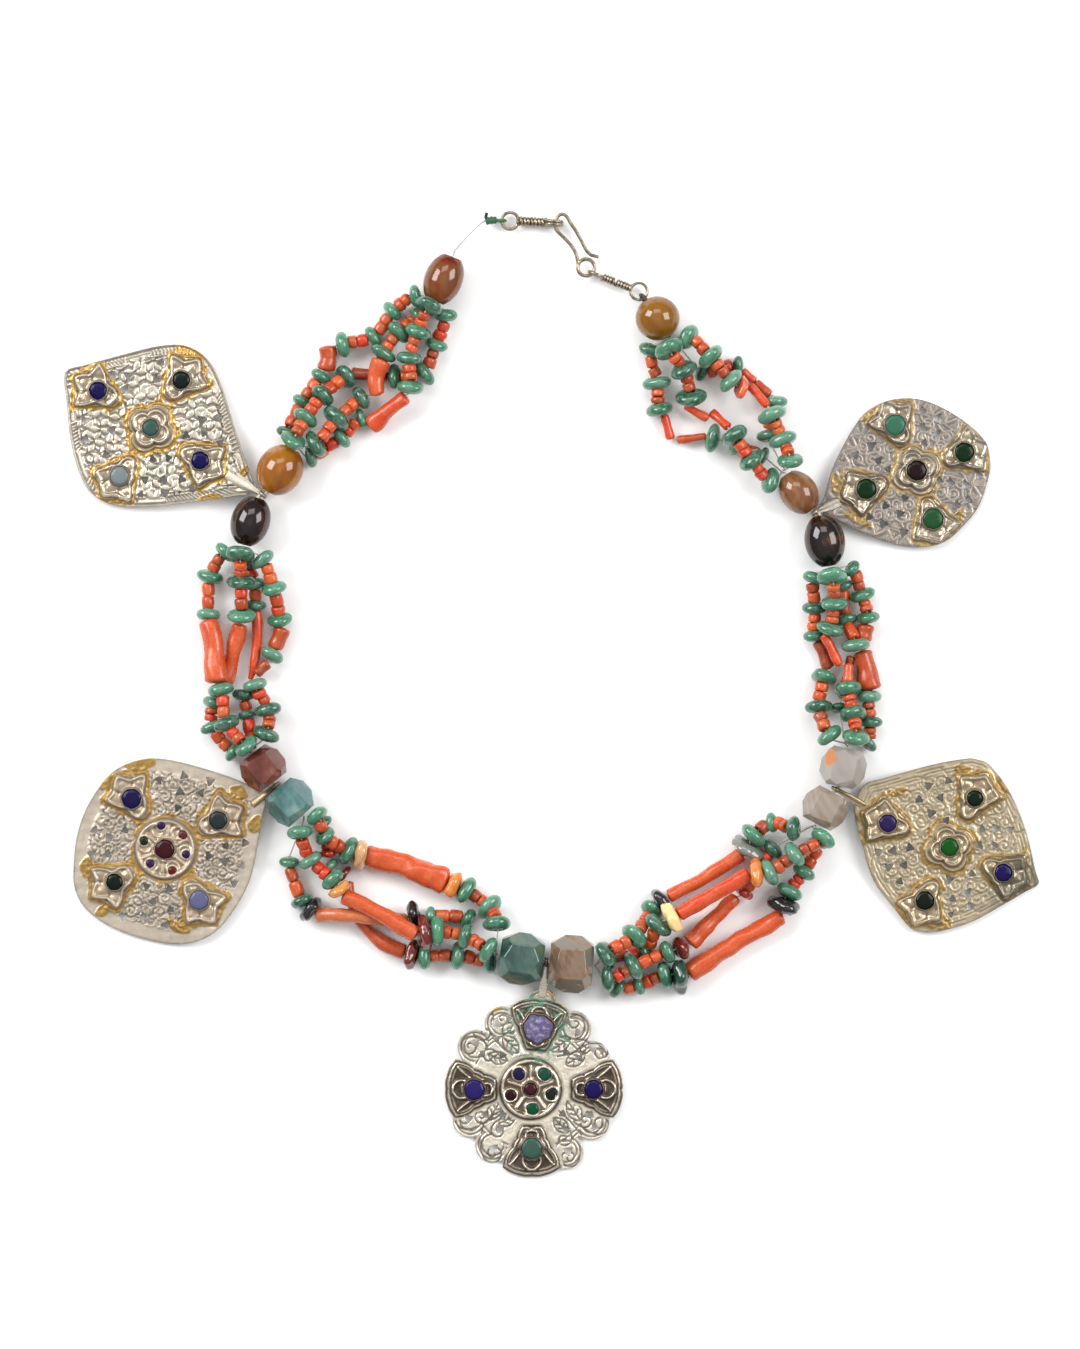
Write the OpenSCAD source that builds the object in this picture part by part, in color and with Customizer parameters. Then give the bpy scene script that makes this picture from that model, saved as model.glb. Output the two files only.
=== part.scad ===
// Silver necklace laid on a table, seen from above. Millimetres, +Z up, the table is z = 0.
// Twelve agate beads, six sections of four bead strands, five pierced silver pendants and a wire clasp.

/* [Thread] */
// Radius of the thread that carries the small beads
thread_r = 0.35; // [0.2:0.05:0.6]
// Radius of the main thread through the agates
main_r = 0.6; // [0.4:0.05:0.9]
// Height of the main thread over the table
axis_z = 7.2; // [6:0.1:9]

/* [Beads] */
// Radius of the hole through a small bead
bore_r = 0.6; // [0.5:0.05:1]
// Radius of the hole through an agate
agate_bore_r = 1.1; // [0.9:0.05:1.6]
// Thickness of a green rondelle for each millimetre of its radius
green_thick = 0.84; // [0.6:0.02:1.1]
// Thickness of a stone chip for each millimetre of its radius
chip_thick = 0.56; // [0.4:0.02:0.8]
// Largest radius of the small coral beads on the thread
coral_r = 1.75; // [1.2:0.05:2.2]
// Clear distance left between a bead and the thread's swelling
bead_gap = 0.15; // [0.1:0.05:0.4]

/* [Pendants] */
// Thickness of the pendant plates
plate_t = 0.9; // [0.6:0.1:1.5]
// Height of the raised bosses over the plate
boss_h = 2.2; // [1.2:0.1:3.5]
// Height of the collar round a stone over its boss
collar_h = 0.7; // [0.3:0.1:1.2]
// Wall of the collar round a stone
collar_t = 0.8; // [0.5:0.1:1.2]
// Clear gap between a stone and its collar
stone_gap = 0.12; // [0.1:0.01:0.2]
// Tilt of the plates, whose bail edge is held up by the thread
plate_tilt = 3; // [0:0.5:6]

/* [Clasp] */
// Radius of the clasp wire
wire_r = 0.5; // [0.35:0.05:0.8]
// Outer radius of the wrapped coils
coil_r = 1.25; // [1:0.05:1.8]
// Radius of the rings to the middle of their wire
ring_r = 2.7; // [2:0.1:3.5]

/* [Hidden] */

GREEN = 0;
CHIP = 1;
END = 2;
VIA = 3;
BRANCH = -1;
SIDES = 8;
// Distance from an agate's end to the point where the four strands gather
gather = 1.4;
// Distance of the strand threads from the middle line at a gather
spread = 1;

// Agate beads: x and y of the middle, direction of the hole, length, width, shape (0 olive, 1 barrel, 2 ball, 3 cut)
AGATES = [
    [-34.5, 132.6, 248, 15.3, 12.2, 1],
    [-86.8, 71.6, 241, 15.8, 14.6, 0],
    [-96.2, 55.2, 253, 15.6, 12.6, 0],
    [-92.2, -23.6, 308, 11.4, 14.6, 3],
    [-83.4, -34.4, 312, 11.6, 15, 3],
    [-9.6, -84.6, 352, 14, 17, 3],
    [6.3, -86.2, 356, 13.8, 18.6, 3],
    [87.3, -36.4, 62, 11.4, 14.6, 3],
    [93.2, -23.4, 78, 12.4, 14.6, 3],
    [87.3, 49, 100, 16.4, 13, 0],
    [79, 64.4, 125, 14, 12, 0],
    [33.9, 120.1, 122, 14.2, 14.2, 2]];

// Beads of each strand in order: x, y, z, bead, radius, lean or bow, coral beads up to the next row
STRAND_1_A = [
    [-43.6, 127.4, 5.8, GREEN, 3.6, 10, 2],
    [-50.8, 122.5, 4.3, GREEN, 3.7, 0, 2],
    [-57, 114.3, 4.3, GREEN, 3.6, 0, 2],
    [-66.8, 112, 4.3, GREEN, 4.1, 0, 0],
    [-71.9, 110.6, 4, END, 2.9, 0.4, BRANCH],
    [-72.2, 104.2, 3.6, END, 2.6, 0, 0],
    [-74, 101.6, 4, GREEN, 3.4, 0, 2],
    [-79.7, 93.6, 4, GREEN, 3.3, 0, 2],
    [-84.3, 83.8, 5, GREEN, 3.5, -20, 0]];
STRAND_1_B = [
    [-39.4, 123.6, 12.2, GREEN, 4.2, 15, 2],
    [-42.6, 115.8, 10.2, GREEN, 4.2, 0, 2],
    [-45.4, 107.3, 9, GREEN, 4.1, 0, 2],
    [-45.2, 98, 9.4, GREEN, 4.3, 0, 0],
    [-47.2, 94.8, 7.4, END, 2.2, 0, BRANCH],
    [-57.5, 86, 4, END, 2.8, 0, 0],
    [-60.8, 88, 3.6, GREEN, 3, 0, 2],
    [-67.4, 82.2, 4, GREEN, 3.6, 0, 2],
    [-77, 76, 3.6, GREEN, 3.4, -20, 0]];
STRAND_1_C = [
    [-42.7, 121.1, 3.6, GREEN, 3.3, 0, 2],
    [-48.8, 115.6, 6.3, GREEN, 4, 0, 2],
    [-53.8, 108.8, 7.4, GREEN, 3.9, 0, 0],
    [-54.3, 106.2, 7.6, END, 3.1, -1.2, BRANCH],
    [-55.3, 96.2, 7.2, END, 2.4, 0, 0],
    [-60.8, 94.6, 4.8, GREEN, 4, 0, 2],
    [-68.7, 88, 8.4, GREEN, 4.4, 0, 2],
    [-75.2, 79.8, 10.4, GREEN, 4.3, -10, 0]];
STRAND_1_D = [
    [-33.9, 121.1, 5.6, GREEN, 4, 10, 2],
    [-37, 111.7, 4.3, GREEN, 3.8, 0, 2],
    [-41, 102.9, 4.3, GREEN, 4.2, 0, 2],
    [-50.2, 101.4, 4.2, GREEN, 4, 0, 0],
    [-53.2, 101.9, 2.4, END, 1.9, 0, BRANCH],
    [-63.3, 102.6, 2.6, END, 1.9, 0, 0],
    [-66, 101.6, 4.2, GREEN, 3.8, 0, 2],
    [-73.2, 95.4, 8.5, GREEN, 4.1, 0, 2],
    [-78.5, 88.2, 10.2, GREEN, 4.1, 0, 2],
    [-82.4, 80.8, 13, GREEN, 3.9, -10, 0]];

STRAND_2_A = [
    [-104.5, 45.5, 6, GREEN, 3.6, 15, 2],
    [-109.2, 37.5, 4.3, GREEN, 4.1, 0, 2],
    [-110, 25.4, 4.3, GREEN, 3.8, 0, 0],
    [-109.6, 22.9, 5.4, END, 3.2, 0.8, BRANCH],
    [-107.2, 4.2, 8.4, END, 3.5, 0, 0],
    [-105.5, 1.4, 8.8, GREEN, 4, 0, 2],
    [-103.7, -9.5, 10, GREEN, 4.2, 0, 2],
    [-97.5, -16.6, 12, GREEN, 4, -5, 0]];
STRAND_2_B = [
    [-99.2, 44.4, 12.4, GREEN, 4.4, 15, 2],
    [-99.2, 35.8, 10, GREEN, 4.3, 0, 2],
    [-99, 25, 8.3, GREEN, 4.2, 0, 0],
    [-99.8, 21.8, 4.6, END, 2.6, 0, BRANCH],
    [-104.3, 4, 2.8, END, 2.4, 0, 0],
    [-108.2, -2.8, 3.8, GREEN, 3.6, 0, 2],
    [-108.6, -10.5, 3.8, GREEN, 3.5, 0, 2],
    [-102, -18.6, 4.5, GREEN, 3.5, -10, 0]];
STRAND_2_C = [
    [-97.4, 41.4, 3.6, GREEN, 3.3, 0, 1],
    [-94.8, 35.2, 3.8, GREEN, 3.6, 0, 1],
    [-95, 28.4, 3.6, GREEN, 3.4, 0, 0],
    [-94.6, 26, 3.4, END, 1.8, 1, BRANCH],
    [-96.2, 5.4, 2.6, END, 1.3, 0, 0],
    [-98.4, -0.2, 3.9, GREEN, 3.6, 0, 1],
    [-97.2, -6.8, 3.6, GREEN, 3, 0, 2]];
STRAND_2_D = [
    [-92.2, 43, 9.2, GREEN, 3.8, 0, 2],
    [-88.7, 33.8, 8, GREEN, 3.9, 0, 2],
    [-86.8, 23.8, 4.2, GREEN, 3.8, 0, 0],
    [-86.5, 20.6, 3.6, END, 3.1, 0, BRANCH],
    [-88.3, 15, 3.4, END, 2.2, 0, 0],
    [-89.5, 12.4, 4.4, GREEN, 3.8, 0, 0],
    [-91.4, 9.4, 4.6, END, 1.7, 0, BRANCH],
    [-93.9, 6.8, 5.4, END, 1.6, 0, 0],
    [-94.8, 3, 8.6, GREEN, 3.6, 0, 2],
    [-90.5, -5, 6.4, GREEN, 4.3, 0, 2],
    [-91.2, -12.8, 9, GREEN, 4.2, -10, 0]];

STRAND_3_A = [
    [-74.8, -38.8, 9.8, GREEN, 3.8, 10, 1],
    [-72.5, -45.4, 8.7, GREEN, 3.4, 0, 2],
    [-65, -50.3, 4.5, GREEN, 4.3, 0, 0],
    [-60.9, -51.3, 5, CHIP, 4.8, 0, 0],
    [-58.8, -51.4, 4.3, END, 3.4, 0.6, BRANCH],
    [-34, -60, 4.6, END, 4.1, 0, 0],
    [-31.3, -61.1, 5, CHIP, 4.8, 0, 0],
    [-27.4, -62.7, 4.8, GREEN, 4.4, 0, 2],
    [-19.9, -68.2, 5, GREEN, 4.3, 0, 2],
    [-17.4, -73.2, 10.8, GREEN, 4.4, 0, 0]];
STRAND_3_B = [
    [-80.2, -44.2, 11.2, GREEN, 4.1, 10, 2],
    [-77, -53, 7.2, GREEN, 3.8, 0, 2],
    [-69.9, -59.4, 9, GREEN, 4, 0, 0],
    [-67.7, -62.5, 9, CHIP, 4, 0, 0],
    [-66, -64.8, 8.9, END, 2.6, 0.8, BRANCH],
    [-43.8, -76.8, 10.3, END, 2.4, 0, 0],
    [-40.5, -76.4, 10, CHIP, 4.7, 0, 0],
    [-36.6, -75.6, 9.5, GREEN, 4.4, 0, 2],
    [-27.6, -77.4, 9.2, GREEN, 3.9, 0, 2],
    [-20.2, -81.4, 12, GREEN, 4.1, 0, 0]];
STRAND_3_C = [
    [-84, -53.8, 3.5, GREEN, 3.3, 0, 2],
    [-79.9, -66.2, 3.9, GREEN, 3.8, 0, 0],
    [-76.9, -68.8, 4.6, CHIP, 4.2, 0, 0],
    [-74.5, -70.6, 4.4, END, 2.3, 0, BRANCH],
    [-60.8, -71.2, 6.4, VIA, 1.85, 0, 0],
    [-47, -72.4, 2.7, END, 2.2, 0, 0],
    [-44, -71, 4.4, CHIP, 4.2, 0, 0],
    [-38.8, -71, 3.4, GREEN, 3.2, 0, 2],
    [-26.6, -72, 3.6, GREEN, 3.4, 0, 0]];
STRAND_3_D = [
    [-73.2, -41.2, 3.3, GREEN, 3, 0, 2],
    [-71.5, -50.9, 3.2, CHIP, 3, 0, 0],
    [-70.8, -55, 3, GREEN, 2.8, 0, 0],
    [-66.4, -57.6, 3, CHIP, 2.8, 0, 0],
    [-64.6, -60.6, 2.6, END, 1.8, 0, BRANCH],
    [-59.8, -74.3, 2.3, VIA, 1.5, 0, 0],
    [-47.3, -82.2, 2.6, END, 2.4, 0, 0],
    [-44.6, -83, 4.3, CHIP, 4.2, 0, 0],
    [-40.7, -83.9, 4.1, GREEN, 4, 0, 2],
    [-30, -83.6, 4.3, GREEN, 4.2, 0, 2],
    [-19.8, -85.8, 4, GREEN, 3.7, 0, 0]];

STRAND_4_A = [
    [17.4, -82.6, 12.2, GREEN, 4.4, 10, 2],
    [26.5, -77.2, 10.5, GREEN, 4.5, 0, 2],
    [32, -69, 4.1, GREEN, 3.8, 0, 0],
    [35.2, -66.2, 4.6, CHIP, 4.3, 0, 0],
    [38, -64.4, 3.2, END, 2.1, -0.6, BRANCH],
    [60.3, -51.6, 3.6, END, 2.1, 0, 0],
    [63, -49.4, 5, CHIP, 4.8, 0, 0],
    [64.6, -45.2, 6.5, GREEN, 4.4, 0, 1],
    [70.5, -41.1, 5.5, GREEN, 3.1, 0, 2],
    [77.2, -42.8, 11.2, GREEN, 4.2, 0, 0]];
STRAND_4_B = [
    [18, -84.6, 3.8, GREEN, 3.5, 0, 2],
    [30, -81.8, 3.6, GREEN, 3.4, 0, 2],
    [34.2, -73.8, 10.6, GREEN, 4.4, -20, 0],
    [38.6, -71.6, 11.3, CHIP, 5, 0, 0],
    [41.2, -70.2, 10.6, END, 2.4, 0, BRANCH],
    [62.4, -57.6, 10, END, 2.3, 0, 0],
    [65.4, -57.3, 10.3, CHIP, 4.6, 0, 0],
    [69.6, -57, 10, GREEN, 4.3, 0, 2],
    [77.7, -51.3, 10.5, GREEN, 4.5, 0, 2],
    [86.6, -46, 11, GREEN, 3.9, -10, 0]];
STRAND_4_C = [
    [18, -91, 10.3, GREEN, 3.9, 0, 2],
    [26.2, -87.1, 8.6, GREEN, 4.3, 0, 2],
    [36.9, -82.4, 8, GREEN, 3.9, 0, 0],
    [41.2, -81.2, 6.6, CHIP, 3.9, 0, 0],
    [44.6, -79.2, 5, END, 3, 0, BRANCH],
    [58.6, -65.4, 2.8, END, 2, 0, 0],
    [61.6, -63.6, 3.4, CHIP, 3.3, 0, 3],
    [70.9, -49.6, 3.9, GREEN, 3.8, 0, 0]];
STRAND_4_D = [
    [21.2, -94, 3.6, GREEN, 3.4, 0, 1],
    [28, -93.2, 3.4, GREEN, 3.2, 0, 2],
    [36.4, -89.9, 5, GREEN, 4.2, 0, 0],
    [41.1, -90.3, 5.6, CHIP, 5.2, 0, 0],
    [44.4, -89, 4, END, 3.2, 0.5, BRANCH],
    [73.4, -71.6, 4, END, 2.5, 0, 0],
    [74.2, -67.6, 5.6, CHIP, 5.4, 0, 0],
    [75.9, -63.2, 4.6, GREEN, 4.3, 0, 2],
    [80.8, -57, 4.3, GREEN, 4, 0, 2],
    [85.8, -47.6, 3.6, GREEN, 3.2, 0, 0]];

STRAND_5_A = [
    [83.8, 37.2, 6, GREEN, 3.7, 10, 2],
    [84.2, 27.6, 4.2, GREEN, 3.9, 0, 2],
    [84, 18.7, 3.7, GREEN, 3.3, 0, 0],
    [85.5, 16.2, 2.6, END, 1.9, 0, BRANCH],
    [88.6, 8.8, 2.8, END, 1.9, 0, 0],
    [87.2, 5.4, 4.5, GREEN, 4.2, 0, 2],
    [85.4, -4.1, 5.5, GREEN, 4.1, 0, 2],
    [88.7, -13.2, 8.6, GREEN, 4.2, -10, 0]];
STRAND_5_B = [
    [89.6, 37.4, 12.6, GREEN, 4.6, 15, 2],
    [90.2, 29, 9.6, GREEN, 4.4, 0, 2],
    [88.9, 20.9, 8.3, GREEN, 4.1, 0, 0],
    [87.4, 18.4, 7, END, 1.5, 0, BRANCH],
    [91.8, 9.8, 6.5, END, 1.4, 0, 0],
    [95, 8.8, 6, END, 1.5, 0, BRANCH],
    [94.8, 4.4, 7, END, 1.8, 0, 0],
    [94.6, 1.7, 8, GREEN, 4.4, 0, 2],
    [96.2, -6.3, 9.7, GREEN, 4.4, 0, 2],
    [97, -13.8, 12.9, GREEN, 4.4, -5, 0]];
STRAND_5_C = [
    [92.9, 34.8, 3.8, GREEN, 3.5, 0, 2],
    [94.2, 23.8, 3.6, GREEN, 3.4, 0, 1],
    [97.1, 15.6, 7.4, GREEN, 4.1, 0, 0],
    [95.8, 11.4, 3, END, 1.5, 0, BRANCH],
    [93.4, -0.6, 1.8, END, 1.5, 0, 0],
    [92, -4.4, 3.2, GREEN, 2.8, 0, 0]];
STRAND_5_D = [
    [96, 40.2, 7.5, GREEN, 3.1, 0, 2],
    [99.3, 31.7, 4.4, GREEN, 3.9, 0, 2],
    [101.2, 24.4, 5, GREEN, 3.7, 0, 0],
    [100.6, 21.6, 3.6, END, 2.6, 0, BRANCH],
    [100, 17.6, 3.6, END, 2.5, 0, 0],
    [100, 13.2, 3.4, END, 3, 0, BRANCH],
    [102, 2, 4, END, 3.6, 0, 0],
    [101.4, -0.8, 4.2, GREEN, 4, 0, 2],
    [101.9, -9, 4, GREEN, 3.6, 0, 2],
    [101.2, -15.8, 3.8, GREEN, 3, 0, 0]];

STRAND_6_A = [
    [31.8, 110, 5, GREEN, 3.9, 0, 2],
    [33.8, 99.5, 4.3, GREEN, 4.2, 0, 2],
    [34.4, 91, 4.4, GREEN, 4.3, 0, 0],
    [36.2, 88.6, 3, END, 1.4, 0, BRANCH],
    [38.2, 82.4, 2.6, END, 1.3, 0, 0],
    [41, 81.4, 2.5, END, 1.3, 0, BRANCH],
    [48.8, 82.4, 2.8, END, 1.2, 0, 0],
    [51.6, 81.9, 4.3, GREEN, 4.2, 0, 0],
    [58.8, 79.6, 3.6, GREEN, 3.3, 0, 2],
    [67.6, 76, 3.4, GREEN, 3, 0, 0]];
STRAND_6_B = [
    [37.4, 110, 12.8, GREEN, 4.6, 15, 2],
    [42.2, 103.6, 9.6, GREEN, 4.4, 0, 2],
    [44.5, 94.9, 7, GREEN, 4.5, 0, 0],
    [43.4, 91.8, 4, END, 1.3, 0, BRANCH],
    [49.4, 88.5, 3.6, END, 1.3, 0, 0],
    [51.9, 89.8, 3.8, END, 1.5, 0, BRANCH],
    [56, 85.6, 7.5, END, 1.5, 0, 0],
    [58.2, 82.3, 11.6, GREEN, 4.5, 0, 2],
    [63.7, 74.7, 10.8, GREEN, 4.4, 0, 2],
    [69.9, 68.2, 7.8, GREEN, 4.2, 0, 0]];
STRAND_6_C = [
    [43.9, 114.2, 7.2, GREEN, 4.2, 10, 2],
    [50.8, 107.7, 10, GREEN, 4.4, 0, 2],
    [57.2, 100.2, 9, GREEN, 4.2, 0, 0],
    [60.6, 98, 7.6, CHIP, 3.4, 0, 0],
    [64, 98, 6.4, END, 1.4, 0, BRANCH],
    [68.6, 92.6, 8, END, 1.3, 0, 0],
    [70.4, 89.2, 10.3, GREEN, 4.3, 0, 2],
    [73.8, 81.2, 9.7, GREEN, 4.3, 0, 2],
    [76, 74.4, 12.7, GREEN, 4.2, -5, 0]];
STRAND_6_D = [
    [48.2, 103.4, 3.6, GREEN, 3.3, 0, 3],
    [59.6, 105.2, 3.6, GREEN, 3.3, 0, 0],
    [61.6, 103, 2.4, END, 1.3, 0, BRANCH],
    [64.6, 100.6, 2.2, END, 1.2, 0, 0],
    [65.8, 99.2, 2.4, END, 1.6, 0, BRANCH],
    [69.4, 96.2, 2.6, END, 1.6, 0, 0],
    [72, 93.6, 3.8, GREEN, 3.5, 0, 2],
    [69.3, 82.8, 3.6, GREEN, 3.5, 0, 0]];

// Sections: the agate before, the agate after, the four strands, and +1 or -1 for the sense of the agates' holes
SECTIONS = [
    [1, 2, [STRAND_1_A, STRAND_1_B, STRAND_1_C, STRAND_1_D], 1],
    [3, 4, [STRAND_2_A, STRAND_2_B, STRAND_2_C, STRAND_2_D], 1],
    [5, 6, [STRAND_3_A, STRAND_3_B, STRAND_3_C, STRAND_3_D], 1],
    [7, 8, [STRAND_4_A, STRAND_4_B, STRAND_4_C, STRAND_4_D], 1],
    [10, 9, [STRAND_5_A, STRAND_5_B, STRAND_5_C, STRAND_5_D], -1],
    [12, 11, [STRAND_6_A, STRAND_6_B, STRAND_6_C, STRAND_6_D], -1]];

// Pendants: middle x, y, direction of the bail, reach away from the bail, bail ring x, y and hole direction,
// then the foot of the bail strip x, y and the strip's width
PENDANTS = [
    [-128, 85, -31, 33.2, -92.3, 63.7, 226, -103, 70, 3.6],
    [-123.5, -49.5, 28, 36.5, -88, -29.1, 307, -95, -34.6, 2.4],
    [-6.5, -126.5, 84.5, 29.5, -1.7, -85.6, 356, -2.9, -96, 2.6],
    [127, -49, 153, 33.6, 90.9, -30.4, 62, 99.2, -35.2, 1.6],
    [116.5, 71.5, 201.6, 29.6, 84.2, 58.1, 138, 91.5, 61.4, 3]];

// Plate outlines, x and y from the pendant's middle
OUTLINE_1 = [
    [-27.8, 18], [-21, 20.5], [-10, 23.5], [2.5, 26.5], [11, 26.5], [18, 22], [22.5, 13.5], [26, 2.5], [30, -10],
    [33.5, -20.5], [28, -21.5], [14, -23.5], [0, -25], [-12, -24.5], [-19, -21], [-23, -14.5], [-26, -3.5],
    [-27.2, 8]];
OUTLINE_2 = [
    [32, 16], [30.5, 7.5], [28.5, -4.5], [25.5, -13.5], [19, -23.5], [12, -29], [2, -30.5], [-13, -27],
    [-24, -21], [-29, -13.5], [-29.5, -4.5], [-28, 6], [-24, 15.5], [-17, 24.5], [-8, 28.5], [1, 28.5],
    [14.5, 25], [25.5, 21], [30, 18.2]];
OUTLINE_4 = [
    [-30, 13.6], [-29.6, 8], [-28, 2], [-24, -10.5], [-17, -20], [-12, -26], [-8, -27], [-3, -27], [7.5, -24],
    [18.5, -18], [24.5, -14.5], [29, -11.8], [28, -7.5], [25, 5], [20, 17], [13.5, 26], [9.5, 28], [5.5, 28.3],
    [-5.5, 26.3], [-21, 22], [-27, 20]];
OUTLINE_5 = [
    [-30.5, -12], [-29, -7.5], [-26.5, 1], [-21.5, 11], [-16, 18.5], [-8.5, 22.5], [0.5, 23], [9, 20],
    [17.5, 14.5], [22.5, 9], [24, 3], [23.5, -2], [20.5, -11], [15.5, -17.5], [9, -23], [0, -24.5],
    [-10.5, -22.5], [-21, -18], [-28, -14]];
// Lobes round the edge of the third plate: direction and distance of each circle
LOBES_3 = [[114, 23], [143, 22.5], [207, 21.9], [235.6, 21.8], [299, 22.9], [331, 22.1], [27, 21.9], [55, 23.8]];
lobe_r = 5.6;

// Settings of each plate: x, y, stone radius, outward direction, boss (0 tulip, 1 quatrefoil, 2 trapeze, 3 disc)
SETTINGS_1 = [
    [-145, 97, 2.6, 150, 0], [-118.3, 100.3, 2.6, 50, 0], [-112.2, 74.6, 2.6, -33, 0],
    [-138.1, 69.7, 2.75, 232, 0], [-128.1, 85.1, 2.45, 58, 1]];
SETTINGS_2 = [
    [-134.2, -33.4, 2.9, 123, 0], [-106.4, -40.3, 2.7, 28, 0], [-139.7, -60.1, 2.45, 213, 0],
    [-112.6, -65.8, 2.85, -56, 0], [-123.6, -49.6, 2.85, 0, 3]];
SETTINGS_3 = [
    [-4.3, -106.8, 4.6, 85, 2], [-24.7, -126.4, 3, 180, 2], [13.5, -126.3, 2.8, 0, 2],
    [-6.3, -145.3, 3.1, 270, 2], [-6.7, -126.3, 1.9, 0, 3]];
SETTINGS_4 = [
    [107.4, -41.2, 2.6, 159, 0], [135.3, -33.3, 2.4, 63, 0], [144.5, -57.1, 2.6, -25, 0],
    [119.3, -66, 2.75, 245, 0], [127.2, -48.9, 2.65, 20, 1]];
SETTINGS_5 = [
    [109.8, 86, 3.05, 115, 0], [132, 77.3, 2.85, 21, 0], [100.5, 65.5, 2.95, 200, 0],
    [121.9, 56, 3.05, -71, 0], [116.7, 71.4, 2.95, 25, 1]];

// Piercings of each plate: x, y, radius
HOLES_1 = [
    [-125, 106.1, 1], [-140.5, 102.3, 1], [-135.5, 101.8, 1], [-136.6, 97.6, 1.1], [-126.4, 100.6, 1],
    [-111.7, 87.5, 1.2], [-107, 88.4, 0.9], [-116.9, 82.7, 1], [-111.2, 83.4, 0.9], [-105.9, 80.3, 1],
    [-149.2, 81.4, 1.1], [-142.7, 76.9, 0.9], [-130.1, 68.6, 1], [-124.3, 68.4, 1.1], [-118.2, 68.6, 1],
    [-123.6, 64.3, 1], [-131.4, 63.8, 0.9], [-114.8, 65.6, 0.9], [-149.2, 87.6, 1], [-140.6, 84.4, 1.1],
    [-127.5, 75, 0.9], [-122.6, 75.5, 0.9]];
HOLES_2 = [
    [-146.2, -43.6, 1], [-141.6, -46, 1.1], [-147.2, -51.4, 1], [-142.2, -51.2, 1], [-130.4, -71.4, 1.1],
    [-137.2, -71.4, 1], [-123.4, -73.9, 1], [-117.6, -26.1, 1], [-109.1, -27.8, 1.1], [-112.2, -31.6, 1],
    [-118.8, -31.4, 1.1], [-119.6, -36.4, 0.9], [-125.6, -27.4, 0.9], [-136.6, -43.6, 0.9], [-109.6, -51.9, 1],
    [-104.6, -53.5, 1.1], [-99, -54.9, 1], [-98, -47.6, 1], [-101.5, -60.6, 1], [-104.2, -48.6, 0.9],
    [-122.4, -62.6, 1], [-129.6, -61.6, 0.9], [-127.6, -66.6, 1], [-121.9, -69, 0.9]];
HOLES_3 = [
    [-17.7, -105.5, 1.2], [-13.6, -103.8, 0.9], [-24.2, -111.6, 1.1], [-22.4, -115.4, 0.9], [-15.6, -115.6, 0.9],
    [-17.4, -110.4, 0.9], [4.8, -104.6, 1], [8.5, -108.4, 1], [13.2, -113.1, 1.1], [9, -116.6, 0.9],
    [4.6, -114.6, 0.9], [-26.6, -136, 1.1], [-21.3, -134.6, 0.9], [-15.6, -134.6, 0.9], [-16.6, -139.4, 1],
    [-18.4, -145.6, 1.1], [3.6, -134.4, 0.9], [4.6, -139.6, 1], [5.4, -146.4, 1.1], [12.4, -134.8, 1],
    [13.7, -138.8, 0.9]];
HOLES_4 = [
    [126.9, -27.8, 0.9], [120.6, -29.4, 1], [124.4, -33.2, 1], [117.6, -33.8, 1], [121.4, -38.2, 1.1],
    [126.3, -40.4, 0.9], [137.8, -43.4, 1], [142.1, -43, 1.1], [146.9, -43.6, 0.9], [136.9, -48.6, 1],
    [141.9, -48.6, 0.9], [104.6, -50.6, 1], [109.2, -50.2, 1.1], [114.6, -49.2, 1], [107.8, -55.4, 1],
    [112.8, -54.8, 1], [134.6, -57.6, 0.9], [127.4, -59.4, 1], [133.1, -63.6, 1.1], [128.4, -65.7, 0.9],
    [134.2, -68, 1], [127.8, -70.6, 0.8], [111.4, -60, 0.9]];
HOLES_5 = [
    [118.6, 90.6, 1], [123.9, 88, 1.1], [118.8, 85.4, 1], [123.6, 83.2, 1], [119.4, 80.4, 0.9],
    [100.4, 84.2, 0.9], [102.4, 79.4, 1.1], [97.2, 76.4, 1], [104.6, 74.6, 1], [107.6, 72, 0.9],
    [127.7, 67.6, 1], [132.6, 66.9, 1.1], [137, 69.8, 0.9], [124.2, 68.3, 0.9], [133.4, 62.1, 1],
    [129.8, 60.6, 0.9], [113, 62.6, 0.9], [111.4, 57.6, 1], [112.6, 51.6, 1.1], [106.1, 54.4, 1],
    [101.6, 56.6, 0.9], [106.9, 60.2, 0.9]];

// Boss outlines, one half: angle from the outward direction, distance from the stone's middle
TULIP = [
    [0, 9.3], [16, 8], [31, 7.4], [46, 7.9], [62, 9.2], [72, 7.6], [85, 6], [105, 5.2], [130, 5.2], [150, 6.2],
    [165, 7.3], [180, 7.7]];
TRAPEZE = [[0, 9.3], [28, 10], [56, 11.3], [90, 6.8], [125, 6.2], [156, 8.2], [180, 7.6]];
// Rough outline of the raw stone of the third pendant: angle and radius
RAW_STONE = [[0, 4.7], [38, 4.9], [75, 4.4], [112, 4.7], [150, 4.6], [190, 4.9], [228, 4.3], [270, 4.6], [318, 4.5]];

function unit(v) = v / norm(v);
function plan(a) = [cos(a), sin(a), 0];
function polar(a, r) = [r * cos(a), r * sin(a)];

function agate_low(n) = AGATES[n - 1][4] / 2 * (AGATES[n - 1][5] == 3 ? 0.866 : 1);
function agate_pos(n) = [AGATES[n - 1][0], AGATES[n - 1][1], max(axis_z, agate_low(n) + 0.1)];
function agate_half(n) = AGATES[n - 1][3] / 2;
function agate_end(n, side, past) = agate_pos(n) + side * (agate_half(n) + past) * plan(AGATES[n - 1][2]);

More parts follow.
